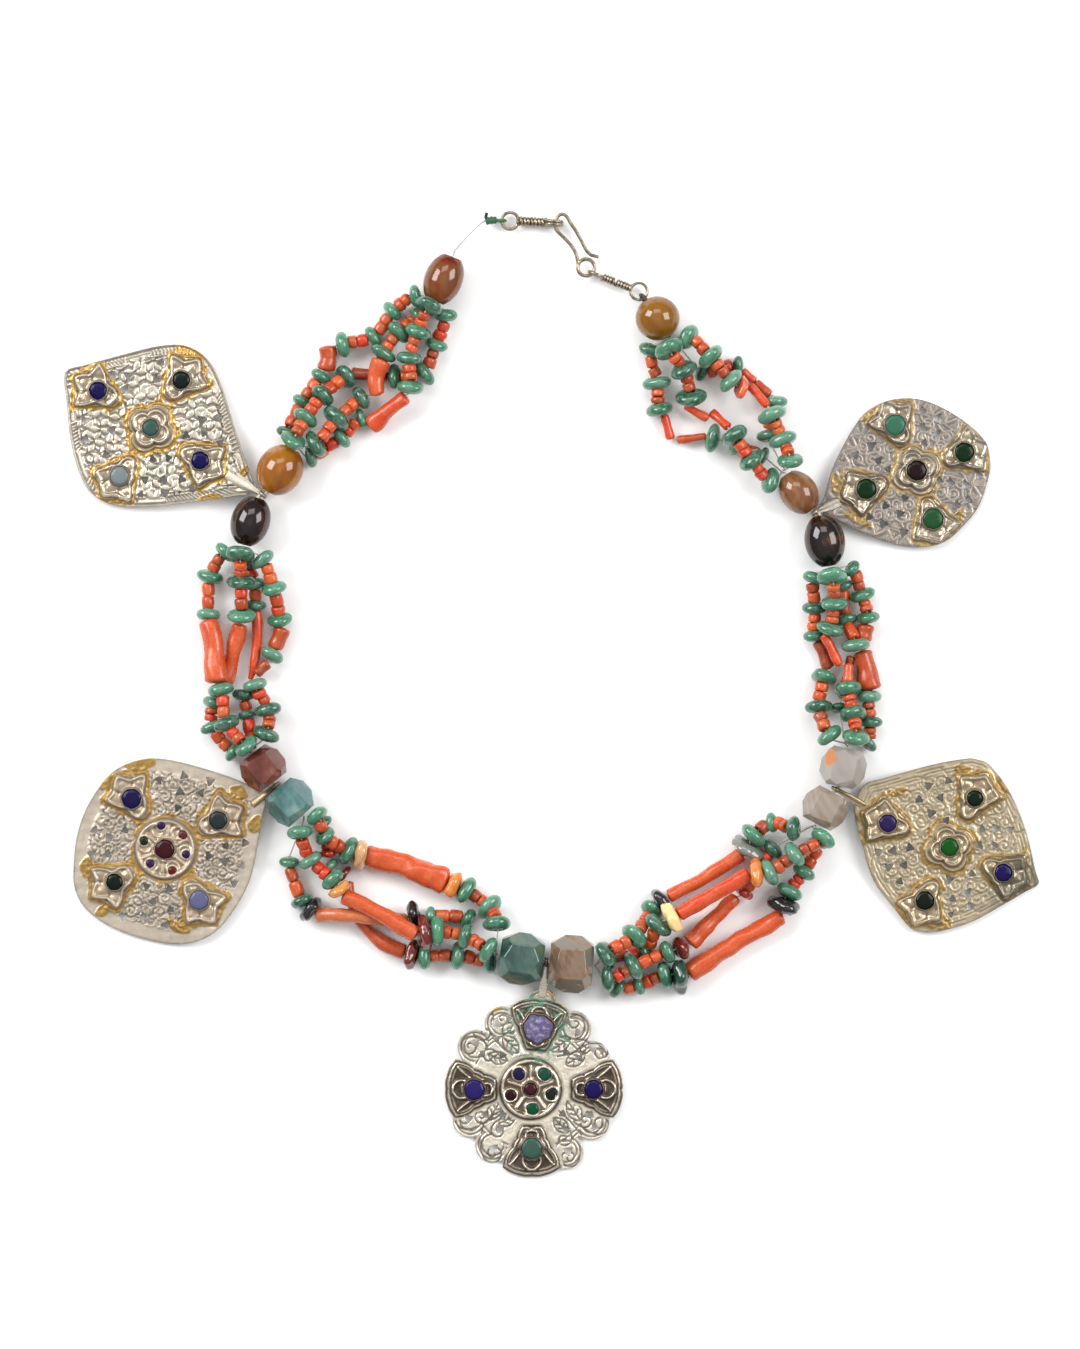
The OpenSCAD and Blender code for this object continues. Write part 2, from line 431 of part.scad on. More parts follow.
function bead_dir(q, i) = unit(q[i + 1] - q[i - 1]);
function lean_dir(d, lean) = let (h = unit([d[0], d[1], 0]), a = asin(d[2]) + lean) [h[0] * cos(a), h[1] * cos(a), sin(a)];
function bead_axis(row, d) = row[3] >= END ? d : lean_dir(d, row[5]);
function bead_half(row) = row[3] == GREEN ? row[4] * green_thick / 2 : row[3] == CHIP ? row[4] * chip_thick / 2 : 0;
function across(v, d) = v - d * (v * d);
function row_pos(row) = [row[0], row[1], row[2]];

// The ends of one strand, beside the middle line at its two gathers
function strand_start(sec, rows) =
    let (g = agate_end(sec[0], sec[3], gather), d = plan(AGATES[sec[0] - 1][2]))
    g + spread * unit(across(row_pos(rows[0]) - g, d));
function strand_end(sec, rows) =
    let (g = agate_end(sec[1], -sec[3], gather), d = plan(AGATES[sec[1] - 1][2]))
    g + spread * unit(across(row_pos(rows[len(rows) - 1]) - g, d));
function strand_points(sec, rows) =
    concat([strand_start(sec, rows)], [for (r = rows) row_pos(r)], [strand_end(sec, rows)]);

// Two rings that carry the coral beads on the thread from a to b, clear of the slanting bead faces
function slant(axis, d) = 0.1 + bead_gap + coral_r * norm(cross(axis, d)) / max(0.5, axis * d);
function span(a, b, axis_a, axis_b, n) =
    let (d = unit(b - a))
    n <= 0 ? [] : [[a + d * slant(axis_a, d), coral_r, d], [b - d * slant(axis_b, d), coral_r, d]];
// Where the thread leaves a bead's face, or runs on past a branch's end
function face(p, axis, half, side) = p + side * axis * (half == 0 ? 0.55 : half + 0.1);
function branch_axis(rows, i) =
    rows[i][6] == BRANCH ? unit(row_pos(rows[i + 1]) - row_pos(rows[i])) : unit(row_pos(rows[i]) - row_pos(rows[i - 1]));
function lane_axis(rows, q, i) = rows[i][3] == END ? branch_axis(rows, i) : bead_axis(rows[i], bead_dir(q, i + 1));
// Stations of one row: both faces of a bead, the end of a branch and the point past it, or the middle of a bent branch
function stations(row, p, f, e, ax) =
    row[3] == VIA ? [[p, thread_r, ax]]
        : row[3] == END && row[6] == BRANCH ? [[f, thread_r, undef], [p, thread_r, ax]]
        : row[3] == END ? [[p, thread_r, ax], [e, thread_r, undef]]
        : [[f, thread_r, ax], [e, thread_r, ax]];
function lane(sec, rows) =
    let (
        q = strand_points(sec, rows),
        n = len(rows),
        ax = [for (i = [0 : n - 1]) lane_axis(rows, q, i)],
        f = [for (i = [0 : n - 1]) face(q[i + 1], ax[i], bead_half(rows[i]), -1)],
        e = [for (i = [0 : n - 1]) face(q[i + 1], ax[i], bead_half(rows[i]), 1)])
    concat(
        [[q[0], thread_r, undef]],
        [for (i = [0 : n - 1]) each concat(
            stations(rows[i], q[i + 1], f[i], e[i], ax[i]),
            i < n - 1 ? span(e[i], f[i + 1], ax[i], ax[i + 1], rows[i][6])
                : span(e[i], q[n + 1], ax[i], unit(q[n + 1] - e[i]), rows[i][6]))],
        [[q[n + 1], thread_r, undef]]);
function backward(st) =
    [for (i = [len(st) - 1 : -1 : 0]) [st[i][0], st[i][1], is_undef(st[i][2]) ? undef : -st[i][2]]];
function turn(p) = [[p, thread_r, undef]];
// Fills in the directions that are left open, halfway between the stretches on both sides
function aimed(st) =
    let (m = len(st))
    [for (i = [0 : m - 1])
        let (a = i > 0 ? unit(st[i][0] - st[i - 1][0]) : [0, 0, 0], b = i < m - 1 ? unit(st[i + 1][0] - st[i][0]) : [0, 0, 0])
        is_undef(st[i][2]) ? [st[i][0], st[i][1], unit(a + b)] : st[i]];

// A frame carried along a route without twist
function reflect(v, m) = let (c = m * m) c < 1e-9 ? v : v - m * (2 * (v * m) / c);
function carry(r, x0, x1, t0, t1) = reflect(reflect(r, x1 - x0), t1 - reflect(t0, x1 - x0));
function first_side(t) = unit(cross(t, abs(t[2]) < 0.9 ? [0, 0, 1] : [1, 0, 0]));
function sides(st) =
    [for (i = 0, r = first_side(st[0][2]); i < len(st);
        r = i + 1 < len(st) ? unit(across(carry(r, st[i][0], st[i + 1][0], st[i][2], st[i + 1][2]), st[i + 1][2])) : r,
        i = i + 1) r];

// A round body swept through stations of point, radius and direction
module sweep(st, n) {
    r = sides(st);
    m = len(st);
    polyhedron(
        [for (i = [0 : m - 1], k = [0 : n - 1])
            st[i][0] + st[i][1] * (r[i] * cos(360 * k / n) + cross(st[i][2], r[i]) * sin(360 * k / n))],
        concat(
            [[for (k = [0 : n - 1]) k]],
            [for (i = [0 : m - 2], k = [0 : n - 1]) [i * n + k, (i + 1) * n + k, (i + 1) * n + (k + 1) % n]],
            [for (i = [0 : m - 2], k = [0 : n - 1]) [i * n + k, (i + 1) * n + (k + 1) % n, i * n + (k + 1) % n]],
            [[for (k = [n - 1 : -1 : 0]) (m - 1) * n + k]]));
}

// Stations along a list of points
function route(p, r) =
    let (m = len(p))
    [for (i = [0 : m - 1]) [p[i], r, unit(p[min(i + 1, m - 1)] - p[max(i - 1, 0)])]];

module along(p, axis) {
    translate(p)
    rotate([0, acos(axis[2]), atan2(axis[1], axis[0])])
    children();
}

// A round bar or bore from a to b, longer by extra at each end
module rod(a, b, r, extra) {
    along(a, unit(b - a))
    translate([0, 0, -extra])
    cylinder(r = r, h = norm(b - a) + 2 * extra, $fn = 24);
}

module green_bead(r) {
    t = r * green_thick;
    rotate_extrude($fn = 48)
    polygon([
        [bore_r, -t / 2], [0.72 * r, -t / 2], [0.93 * r, -t / 4], [r, 0],
        [0.93 * r, t / 4], [0.72 * r, t / 2], [bore_r, t / 2]]);
}

module chip_bead(r, seed) {
    t = r * chip_thick;
    translate([0, 0, -t / 2])
    linear_extrude(height = t)
    difference() {
        polygon([for (k = [0 : 7]) polar(45 * k + 10 * sin(97 * (k + seed)), r * (0.9 + 0.1 * sin(131 * k + 57 * seed)))]);
        circle(r = bore_r, $fn = 24);
    }
}

// Outer middle line of a coral branch at t from 0 to 1
function branch_at(a, v, b, bow, t) =
    let (d = unit(b - a), side = unit([-d[1], d[0], 0]))
    is_undef(v) ? a * (1 - t) + b * t + side * bow * sin(180 * t)
        : a * (1 - t) * (1 - 2 * t) + v * 4 * t * (1 - t) + b * t * (2 * t - 1);
WAIST = [0.82, 1, 0.92, 1.04, 0.8];
module branch(ra, rv, rb) {
    a = row_pos(ra);
    b = row_pos(rb);
    v = is_undef(rv) ? undef : row_pos(rv);
    p = [for (k = [0 : 4]) branch_at(a, v, b, ra[5], k / 4)];
    st = [for (k = [0 : 4]) [p[k], WAIST[k] * (ra[4] + (rb[4] - ra[4]) * k / 4), unit(p[min(k + 1, 4)] - p[max(k - 1, 0)])]];
    difference() {
        sweep(st, SIDES);
        if (is_undef(v))
            rod(a, b, bore_r, 0.6);
        if (!is_undef(v)) {
            rod(a, v, bore_r, 0.6);
            rod(v, b, bore_r, 0.6);
        }
    }
}

// All beads of strand k of a section
module strand(s, k) {
    sec = SECTIONS[s];
    rows = sec[2][k];
    q = strand_points(sec, rows);
    for (i = [0 : len(rows) - 1]) {
        axis = bead_axis(rows[i], bead_dir(q, i + 1));
        if (rows[i][3] == GREEN)
            color([0.27, 0.53, 0.4])
            along(q[i + 1], axis)
            green_bead(rows[i][4]);
        if (rows[i][3] == CHIP)
            color([0.45, 0.22, 0.12])
            along(q[i + 1], axis)
            chip_bead(rows[i][4], i + 3 * k);
        if (rows[i][3] == END && rows[i][6] == BRANCH)
            color([0.88, 0.37, 0.2])
            branch(rows[i], rows[i + 1][3] == VIA ? rows[i + 1] : undef, rows[i + 1][3] == VIA ? rows[i + 2] : rows[i + 1]);
    }
}

// The thread of a section with its small coral beads, through its four strands in turn
module string_of(s) {
    sec = SECTIONS[s];
    a = lane(sec, sec[2][0]);
    b = backward(lane(sec, sec[2][1]));
    c = lane(sec, sec[2][2]);
    d = backward(lane(sec, sec[2][3]));
    far_1 = agate_end(sec[1], -sec[3], gather - 0.8);
    far_2 = agate_end(sec[1], -sec[3], gather + 0.3);
    near = agate_end(sec[0], sec[3], gather - 0.8);
    color([0.85, 0.33, 0.18])
    sweep(aimed(concat(a, turn(far_1), b, turn(near), c, turn(far_2), d)), SIDES);
}

// Width of a turned agate at u from -1 to 1 along its hole
function girth(shape, u) = shape == 1 ? sqrt(1 - 0.75 * u * u) : sqrt(1 - 0.88 * u * u);
module turned_agate(len, wid, shape) {
    rotate_extrude($fn = 60)
    polygon(concat(
        [[agate_bore_r, -len / 2]],
        [for (u = [-1 : 0.125 : 1]) [wid / 2 * girth(shape, u), u * len / 2]],
        [[agate_bore_r, len / 2]]));
}
module ball_agate(wid) {
    difference() {
        sphere(r = wid / 2, $fn = 60);
        cylinder(r = agate_bore_r, h = wid + 2, center = true, $fn = 36);
    }
}
// A cut agate: a six-sided bar whose ends are cut off on four slopes
module cut_agate(len, wid, roll) {
    slopes = 0.99 * (0.62 * len + 0.5 * wid);
    difference() {
        intersection() {
            rotate([0, 0, 30])
            cylinder(r = wid / 2, h = len, center = true, $fn = 6);
            rotate([45, 0, roll])
            cube([3 * wid, slopes, slopes], center = true);
            rotate([0, 45, roll + 30])
            cube([slopes, 3 * wid, slopes], center = true);
        }
        cylinder(r = agate_bore_r, h = 2 * len, center = true, $fn = 36);
    }
}
module agate(n, tint) {
    row = AGATES[n - 1];
    color(tint)
    along(agate_pos(n), plan(row[2])) {
        if (row[5] <= 1)
            turned_agate(row[3], row[4], row[5]);
        if (row[5] == 2)
            ball_agate(row[4]);
        if (row[5] == 3)
            cut_agate(row[3], row[4], 20 * n);
    }
}

// Closed smooth curve through a list of points, n steps from each point to the next
function smooth(p, n) =
    let (m = len(p))
    [for (i = [0 : m - 1], k = [0 : n - 1])
        let (a = p[(i + m - 1) % m], b = p[i], c = p[(i + 1) % m], d = p[(i + 2) % m], t = k / n)
        0.5 * (2 * b + (c - a) * t + (2 * a - 5 * b + 4 * c - d) * t * t + (3 * b - a - 3 * c + d) * t * t * t)];
// Whole outline from one half of it, the other half mirrored
function both(h, k) =
    concat([for (e = h) polar(e[0], k * e[1])], [for (i = [len(h) - 2 : -1 : 1]) polar(-h[i][0], k * h[i][1])]);

function middle(n) = [PENDANTS[n - 1][0], PENDANTS[n - 1][1]];
// The bail ring sits halfway up between the ends of its two agates
PAIRS = [[2, 3], [4, 5], [6, 7], [8, 9], [10, 11]];
function ring_pos(n) =
    [PENDANTS[n - 1][4], PENDANTS[n - 1][5], (agate_pos(PAIRS[n - 1][0])[2] + agate_pos(PAIRS[n - 1][1])[2]) / 2];
function rest_z(n) = 0.1 + PENDANTS[n - 1][3] * sin(plate_tilt);
function boss_height(kind) = kind == 3 ? 0.65 * boss_h : boss_h;
function seat_z(kind) = plate_t + boss_height(kind) - 0.6;

module outline(n) {
    if (n == 1)
        polygon(smooth(OUTLINE_1, 4));
    if (n == 2)
        polygon(smooth(OUTLINE_2, 4));
    if (n == 3) {
        circle(r = 21.5, $fn = 72);
        for (l = LOBES_3)
            translate(polar(l[0], l[1]))
            circle(r = lobe_r, $fn = 40);
        for (i = [0 : 3])
            translate([SETTINGS_3[i][0], SETTINGS_3[i][1]] - middle(3))
            rotate(SETTINGS_3[i][3])
            polygon(both(TRAPEZE, 1));
        translate([3.6, 28])
        circle(r = 4.4, $fn = 40);
    }
    if (n == 4)
        polygon(smooth(OUTLINE_4, 4));
    if (n == 5)
        polygon(smooth(OUTLINE_5, 4));
}

// Boss outline of one setting about its stone, drawn at scale k
module boss_outline(kind, k) {
    if (kind == 0)
        polygon(both(TULIP, k));
    if (kind == 1)
        polygon([for (a = [0 : 15 : 345]) polar(a, k * (6.3 + 1.9 * abs(cos(2 * a))))]);
    if (kind == 2)
        polygon(both(TRAPEZE, k));
    if (kind == 3)
        circle(r = 10.3 * k, $fn = 60);
}

// A plate in its own plane: pierced sheet, stepped bosses, collars and seats
module plate(n, settings, holes) {
    difference() {
        union() {
            linear_extrude(height = plate_t)
            outline(n);
            for (b = settings, step = [[1, 0.4], [0.88, 0.75], [0.74, 1]])
                linear_extrude(height = plate_t + boss_height(b[4]) * step[1])
                intersection() {
                    outline(n);
                    translate([b[0], b[1]] - middle(n))
                    rotate(b[3])
                    boss_outline(b[4], step[0]);
                }
        }
        for (h = holes)
            translate([h[0] - middle(n)[0], h[1] - middle(n)[1], -1])
            cylinder(r = h[2], h = 10, $fn = 20);
        for (b = settings)
            translate([b[0] - middle(n)[0], b[1] - middle(n)[1], seat_z(b[4])])
            cylinder(r = b[2] + 0.3, h = 5, $fn = 40);
    }
    for (b = settings)
        translate([b[0] - middle(n)[0], b[1] - middle(n)[1], seat_z(b[4]) - 0.4])
        if (b[2] < 4)
            collar(b[2], 1 + collar_h);
        else
            raw_collar(1 + collar_h);
}

// A collar round a stone, its seat 0.4 above its foot
module collar(r, h) {
    difference() {
        cylinder(r = r + collar_t, h = h, $fn = 48);
        translate([0, 0, 0.4])
        cylinder(r = r + stone_gap, h = h, $fn = 48);
    }
}
module raw_collar(h) {
    difference() {
        linear_extrude(height = h)
        polygon([for (e = RAW_STONE) polar(e[0], e[1] + collar_t)]);
        translate([0, 0, 0.4])
        linear_extrude(height = h)
        polygon([for (e = RAW_STONE) polar(e[0], e[1] + 1.5 * stone_gap)]);
    }
}

// Lays a plate's own plane on the table with its bail edge up
module laid(n) {
    b = PENDANTS[n - 1][2];
    translate([middle(n)[0], middle(n)[1], rest_z(n)])
    rotate([0, 0, b])
    rotate([0, -plate_tilt, 0])
    rotate([0, 0, -b])
    children();
}

module pendant(n, settings, holes) {
    row = PENDANTS[n - 1];
    ring = ring_pos(n);
    foot = [row[7], row[8]];
    foot_z = rest_z(n) + plate_t / 2 + ((foot - middle(n)) * polar(row[2], 1)) * sin(plate_tilt);
    d = unit([ring[0] - foot[0], ring[1] - foot[1], 0]);
    difference() {
        union() {
            laid(n)
            plate(n, settings, holes);
            // the strip from the plate up to the bail ring
            hull() {
                translate([foot[0], foot[1], foot_z])
                rotate([0, 0, atan2(d[1], d[0])])
                cube([1, row[9], 0.8], center = true);
                translate([ring[0], ring[1], ring[2] - 1.28])
                rotate([0, 0, atan2(d[1], d[0])])
                cube([0.7, 0.9, 0.46], center = true);
            }
            along(ring, plan(row[6]))
            cylinder(r = 1.55, h = 1, center = true, $fn = 36);
        }
        along(ring, plan(row[6]))
        cylinder(r = 0.95, h = 6, center = true, $fn = 36);
    }
}

// A domed stone that stands 0.1 over its seat
module stone(r, h) {
    rotate_extrude($fn = 48)
    polygon([[0, 0.1], [r, 0.1], [r, h], [0.85 * r, h + 0.22 * r], [0.6 * r, h + 0.36 * r], [0.3 * r, h + 0.43 * r], [0, h + 0.45 * r]]);
}
module raw_stone(h) {
    translate([0, 0, 0.1])
    linear_extrude(height = h)
    polygon([for (e = RAW_STONE) polar(e[0], e[1])]);
    translate([0, 0, h])
    linear_extrude(height = 0.9)
    polygon([for (e = RAW_STONE) polar(e[0], 0.74 * e[1])]);
}
module stones(n, settings, tints) {
    laid(n)
    for (i = [0 : 4]) {
        b = settings[i];
        color(tints[i])
        translate([b[0] - middle(n)[0], b[1] - middle(n)[1], seat_z(b[4])])
        if (b[2] < 4)
            stone(b[2], 0.6 + collar_h);
        else
            raw_stone(1.6 + collar_h);
    }
}

// A closed ring of wire, flat in its plane
module wire_ring(r) {
    rotate_extrude($fn = 48)
    translate([r, 0])
    circle(r = wire_r, $fn = 24);
}
// A wrapped coil from x = a to x = b
module coil(a, b) {
    n = round((b - a) / (2 * wire_r));
    w = (b - a) / n;
    translate([a, 0, 0])
    rotate([0, 90, 0])
    rotate_extrude($fn = 36)
    polygon(concat(
        [[0, 0]],
        [for (i = [0 : n - 1]) each [[coil_r - 0.3, i * w], [coil_r, (i + 0.3) * w], [coil_r, (i + 0.7) * w]]],
        [[coil_r - 0.3, n * w], [0, n * w]]));
}

// Height of the clasp's middle over the table
clasp_z = wire_r + ring_r + 0.05;
module eye_link() {
    color([0.6, 0.6, 0.58])
    translate([0.6, 150.8, clasp_z])
    rotate([0, 0, 177])
    rotate([0, 4, 0]) {
        for (y = [-0.8 * wire_r, 0.8 * wire_r])
            translate([0, y, 0])
            rotate([90, 0, 0])
            wire_ring(ring_r);
        coil(2.6, 11.3);
        translate([11.2 + ring_r, 0, 0])
        wire_ring(ring_r);
    }
}

// Points of the hook's wire: from the springy tip round the bend, through the link's ring and back to the eye
HOOK = [
    [15.1, 139.8], [13.9, 140.2], [12.6, 140.6], [11.2, 142], [9.4, 145.4], [7.6, 148.6], [6.2, 150.6],
    [5.3, 152.2], [4.4, 153.3], [3.2, 153.6], [2.2, 153], [1.6, 151.9], [1.3, 150.6], [1.3, 149.2], [2.2, 147.8],
    [4, 146], [5.9, 144], [7.4, 141.8], [8.2, 139.6], [8.5, 137.8]];
module hook() {
    color([0.6, 0.6, 0.58]) {
        sweep(route([for (p = HOOK) [p[0], p[1], clasp_z]], wire_r), SIDES);
        translate([11.1, 136.5, clasp_z])
        wire_ring(ring_r);
    }
}

module hook_link() {
    color([0.6, 0.6, 0.58])
    translate([14.3, 134.3, clasp_z])
    rotate([0, 0, -21.7]) {
        rotate([90, 0, 0])
        wire_ring(2.4);
        coil(2.3, 12);
        translate([12 + ring_r, 0, 0])
        wire_ring(ring_r);
    }
}

// Main thread: from the first agate through the knot and round the first ring
THREAD_END = [
    [-30.6, 142, 6.8], [-26.5, 146.8, 4.8], [-21.8, 151.2, 3.1], [-19.2, 151.6, 3.1], [-17.4, 151.6, 3.5],
    [-16.2, 151.6, 3.45], [-15.2, 151.6, 3], [-14.8, 151.6, 2.1], [-15.2, 151.6, 1.1], [-16.2, 151.6, 0.75],
    [-17.1, 151.6, 0.95]];
// and from the twelfth agate round the last ring
THREAD_TAIL = [
    [29.5, 127, 6.9], [28.8, 127.6, 5.6], [28.5, 127.7, 3.8], [28.6, 127.5, 2.4], [29.2, 126.5, 1.8],
    [29.8, 125.6, 2]];
module knot() {
    color([0.2, 0.4, 0.28])
    along([-19.3, 151.6, 3.15], unit([1, 0.06, 0.06]))
    rotate_extrude($fn = 40)
    polygon([[0.9, -1.7], [1.3, -1.7], [1.75, -0.9], [1.85, 0], [1.75, 0.9], [1.3, 1.7], [0.9, 1.7]]);
}

// The thread through two agates and the bail ring between them
module pair_thread(n) {
    a = PAIRS[n - 1][0];
    b = PAIRS[n - 1][1];
    sweep(route([
        agate_end(a, -1, 0.1), agate_end(a, 1, -0.3), ring_pos(n),
        agate_end(b, -1, -0.3), agate_end(b, 1, 0.1)], main_r), SIDES);
}
module main_thread() {
    color([0.16, 0.13, 0.11]) {
        sweep(route(concat([agate_end(1, 1, 0.1), agate_end(1, -1, 0.1)], THREAD_END), main_r), SIDES);
        pair_thread(1);
        pair_thread(2);
        pair_thread(3);
        pair_thread(4);
        pair_thread(5);
        sweep(route(concat([agate_end(12, -1, 0.1), agate_end(12, 1, 0)], THREAD_TAIL), main_r), SIDES);
    }
}

module agate_1() {
    agate(1, [0.5, 0.42, 0.36]);
}
module agate_2() {
    agate(2, [0.55, 0.42, 0.15]);
}
module agate_3() {
    agate(3, [0.25, 0.15, 0.1]);
}
module agate_4() {
    agate(4, [0.5, 0.25, 0.17]);
}
module agate_5() {
    agate(5, [0.35, 0.47, 0.47]);
}
module agate_6() {
    agate(6, [0.45, 0.47, 0.42]);
}
module agate_7() {
    agate(7, [0.48, 0.4, 0.34]);
}
module agate_8() {
    agate(8, [0.85, 0.75, 0.65]);
}
module agate_9() {
    agate(9, [0.85, 0.83, 0.8]);
}
module agate_10() {
    agate(10, [0.2, 0.12, 0.08]);
}
module agate_11() {
    agate(11, [0.42, 0.34, 0.28]);
}
module agate_12() {
    agate(12, [0.72, 0.5, 0.2]);
}

module strand_1_a() {
    strand(0, 0);
}
module strand_1_b() {
    strand(0, 1);
}
module strand_1_c() {
    strand(0, 2);
}
module strand_1_d() {
    strand(0, 3);
}
module strand_2_a() {
    strand(1, 0);
}
module strand_2_b() {
    strand(1, 1);
}
module strand_2_c() {
    strand(1, 2);
}
module strand_2_d() {
    strand(1, 3);
}
module strand_3_a() {
    strand(2, 0);
}
module strand_3_b() {
    strand(2, 1);
}
module strand_3_c() {
    strand(2, 2);
}
module strand_3_d() {
    strand(2, 3);
}
module strand_4_a() {
    strand(3, 0);
}
module strand_4_b() {
    strand(3, 1);
}
module strand_4_c() {
    strand(3, 2);
}
module strand_4_d() {
    strand(3, 3);
}
module strand_5_a() {
    strand(4, 0);
}
module strand_5_b() {
    strand(4, 1);
}
module strand_5_c() {
    strand(4, 2);
}
module strand_5_d() {
    strand(4, 3);
}
module strand_6_a() {
    strand(5, 0);
}
module strand_6_b() {
    strand(5, 1);
}
module strand_6_c() {
    strand(5, 2);
}
module strand_6_d() {
    strand(5, 3);
}

module string_1() {
    string_of(0);
}
module string_2() {
    string_of(1);
}
module string_3() {
    string_of(2);
}
module string_4() {
    string_of(3);
}
module string_5() {
    string_of(4);
}
module string_6() {
    string_of(5);
}

module pendant_1() {
    color([0.7, 0.69, 0.66])
    pendant(1, SETTINGS_1, HOLES_1);
}
module pendant_2() {
    color([0.7, 0.69, 0.66])
    pendant(2, SETTINGS_2, HOLES_2);
}
module pendant_3() {
    color([0.7, 0.69, 0.66])
    pendant(3, SETTINGS_3, HOLES_3);
}
module pendant_4() {
    color([0.7, 0.69, 0.66])
    pendant(4, SETTINGS_4, HOLES_4);
}
module pendant_5() {
    color([0.7, 0.69, 0.66])
    pendant(5, SETTINGS_5, HOLES_5);
}

// Stone colours of each pendant, in the order of its settings
TINTS_1 = [[0.08, 0.12, 0.4], [0.05, 0.22, 0.15], [0.12, 0.25, 0.6], [0.6, 0.7, 0.85], [0.15, 0.5, 0.5]];
TINTS_2 = [[0.07, 0.1, 0.35], [0.15, 0.2, 0.18], [0.04, 0.2, 0.12], [0.35, 0.4, 0.75], [0.35, 0.05, 0.08]];
TINTS_3 = [[0.38, 0.25, 0.5], [0.2, 0.18, 0.55], [0.06, 0.1, 0.35], [0.1, 0.45, 0.42], [0.3, 0.04, 0.06]];
TINTS_4 = [[0.25, 0.2, 0.6], [0.05, 0.22, 0.12], [0.06, 0.1, 0.35], [0.04, 0.12, 0.08], [0.1, 0.6, 0.2]];
TINTS_5 = [[0.2, 0.55, 0.45], [0.04, 0.2, 0.12], [0.04, 0.2, 0.12], [0.08, 0.4, 0.2], [0.3, 0.1, 0.06]];

module stones_1() {
    stones(1, SETTINGS_1, TINTS_1);
}
module stones_2() {
    stones(2, SETTINGS_2, TINTS_2);
}
module stones_3() {
    stones(3, SETTINGS_3, TINTS_3);
}
module stones_4() {
    stones(4, SETTINGS_4, TINTS_4);
}
module stones_5() {
    stones(5, SETTINGS_5, TINTS_5);
}

agate_1();
agate_2();
agate_3();
agate_4();
agate_5();
agate_6();
agate_7();
agate_8();
agate_9();
agate_10();
agate_11();
agate_12();
strand_1_a();
strand_1_b();
strand_1_c();
strand_1_d();
strand_2_a();
strand_2_b();
strand_2_c();
strand_2_d();
strand_3_a();
strand_3_b();
strand_3_c();
strand_3_d();
strand_4_a();
strand_4_b();
strand_4_c();
strand_4_d();
strand_5_a();
strand_5_b();
strand_5_c();
strand_5_d();
strand_6_a();
strand_6_b();
strand_6_c();
strand_6_d();
string_1();
string_2();
string_3();
string_4();
string_5();
string_6();
main_thread();
pendant_1();
pendant_2();
pendant_3();
pendant_4();
pendant_5();
stones_1();
stones_2();
stones_3();
stones_4();
stones_5();
eye_link();
hook();
hook_link();
knot();
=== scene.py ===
import bpy
import bmesh
import math
import numpy as np
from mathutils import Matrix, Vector


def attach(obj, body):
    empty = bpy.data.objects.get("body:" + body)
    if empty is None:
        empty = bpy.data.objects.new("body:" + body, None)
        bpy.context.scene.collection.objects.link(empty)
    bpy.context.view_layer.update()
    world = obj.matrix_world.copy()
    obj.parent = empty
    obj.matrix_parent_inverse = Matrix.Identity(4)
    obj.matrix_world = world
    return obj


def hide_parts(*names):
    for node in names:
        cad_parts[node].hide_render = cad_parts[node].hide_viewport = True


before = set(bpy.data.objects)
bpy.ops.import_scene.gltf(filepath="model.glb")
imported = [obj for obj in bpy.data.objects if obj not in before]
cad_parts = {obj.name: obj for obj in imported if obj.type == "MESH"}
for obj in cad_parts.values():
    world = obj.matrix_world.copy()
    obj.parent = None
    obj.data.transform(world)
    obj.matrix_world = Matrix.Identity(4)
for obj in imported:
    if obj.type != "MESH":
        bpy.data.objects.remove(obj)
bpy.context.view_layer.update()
SCENE = bpy.context.scene

# Camera, floor and light
MM = 0.001
# The photo: its size in pixels, the pixel at the frame's origin, and millimetres for one pixel
PHOTO_W, PHOTO_H = 1080, 1349
ORIGIN_X, ORIGIN_Y = 551.5, 694
PIXEL = 0.32
# In metres: the camera's distance from the plane where the scale holds, and that plane's height
CAMERA_AWAY = 2.4
SCALE_Z = 0.004
SENSOR = 36.0
FLOOR_HALF = 3.0
# Area lights, all aimed at the origin: name, place, size, power
LIGHTS = [
    ("softbox_left", (-1.35, 0.75, 1.15), (1.0, 1.0), 33),
    ("softbox_right", (1.35, 0.35, 1.25), (1.0, 1.0), 25),
    ("softbox_back", (-0.1, 1.5, 1.9), (1.4, 0.8), 13)]
WHITE = (1, 1, 1)


def srgb(*colour):
    """Linear values of a colour given from 0 to 255."""
    out = []
    for c in colour:
        c = c / 255.0
        out.append(c / 12.92 if c <= 0.04045 else ((c + 0.055) / 1.055) ** 2.4)
    return out


def camera():
    """Looks straight down at the middle of the photo."""
    data = bpy.data.cameras.new("camera")
    obj = bpy.data.objects.new("camera", data)
    SCENE.collection.objects.link(obj)
    data.lens = SENSOR * CAMERA_AWAY / (PHOTO_H * PIXEL * MM)
    data.sensor_width = SENSOR
    data.clip_end = 20.0
    x, y = (PHOTO_W / 2 - ORIGIN_X) * PIXEL * MM, (ORIGIN_Y - PHOTO_H / 2) * PIXEL * MM
    obj.location = (x, y, CAMERA_AWAY + SCALE_Z)
    SCENE.camera = obj


def area_light(name, place, size, power):
    data = bpy.data.lights.new(name, "AREA")
    data.shape = "RECTANGLE"
    data.size, data.size_y = size
    data.energy = power
    obj = bpy.data.objects.new(name, data)
    SCENE.collection.objects.link(obj)
    obj.location = place
    obj.rotation_euler = (-Vector(place)).to_track_quat("-Z", "Y").to_euler()


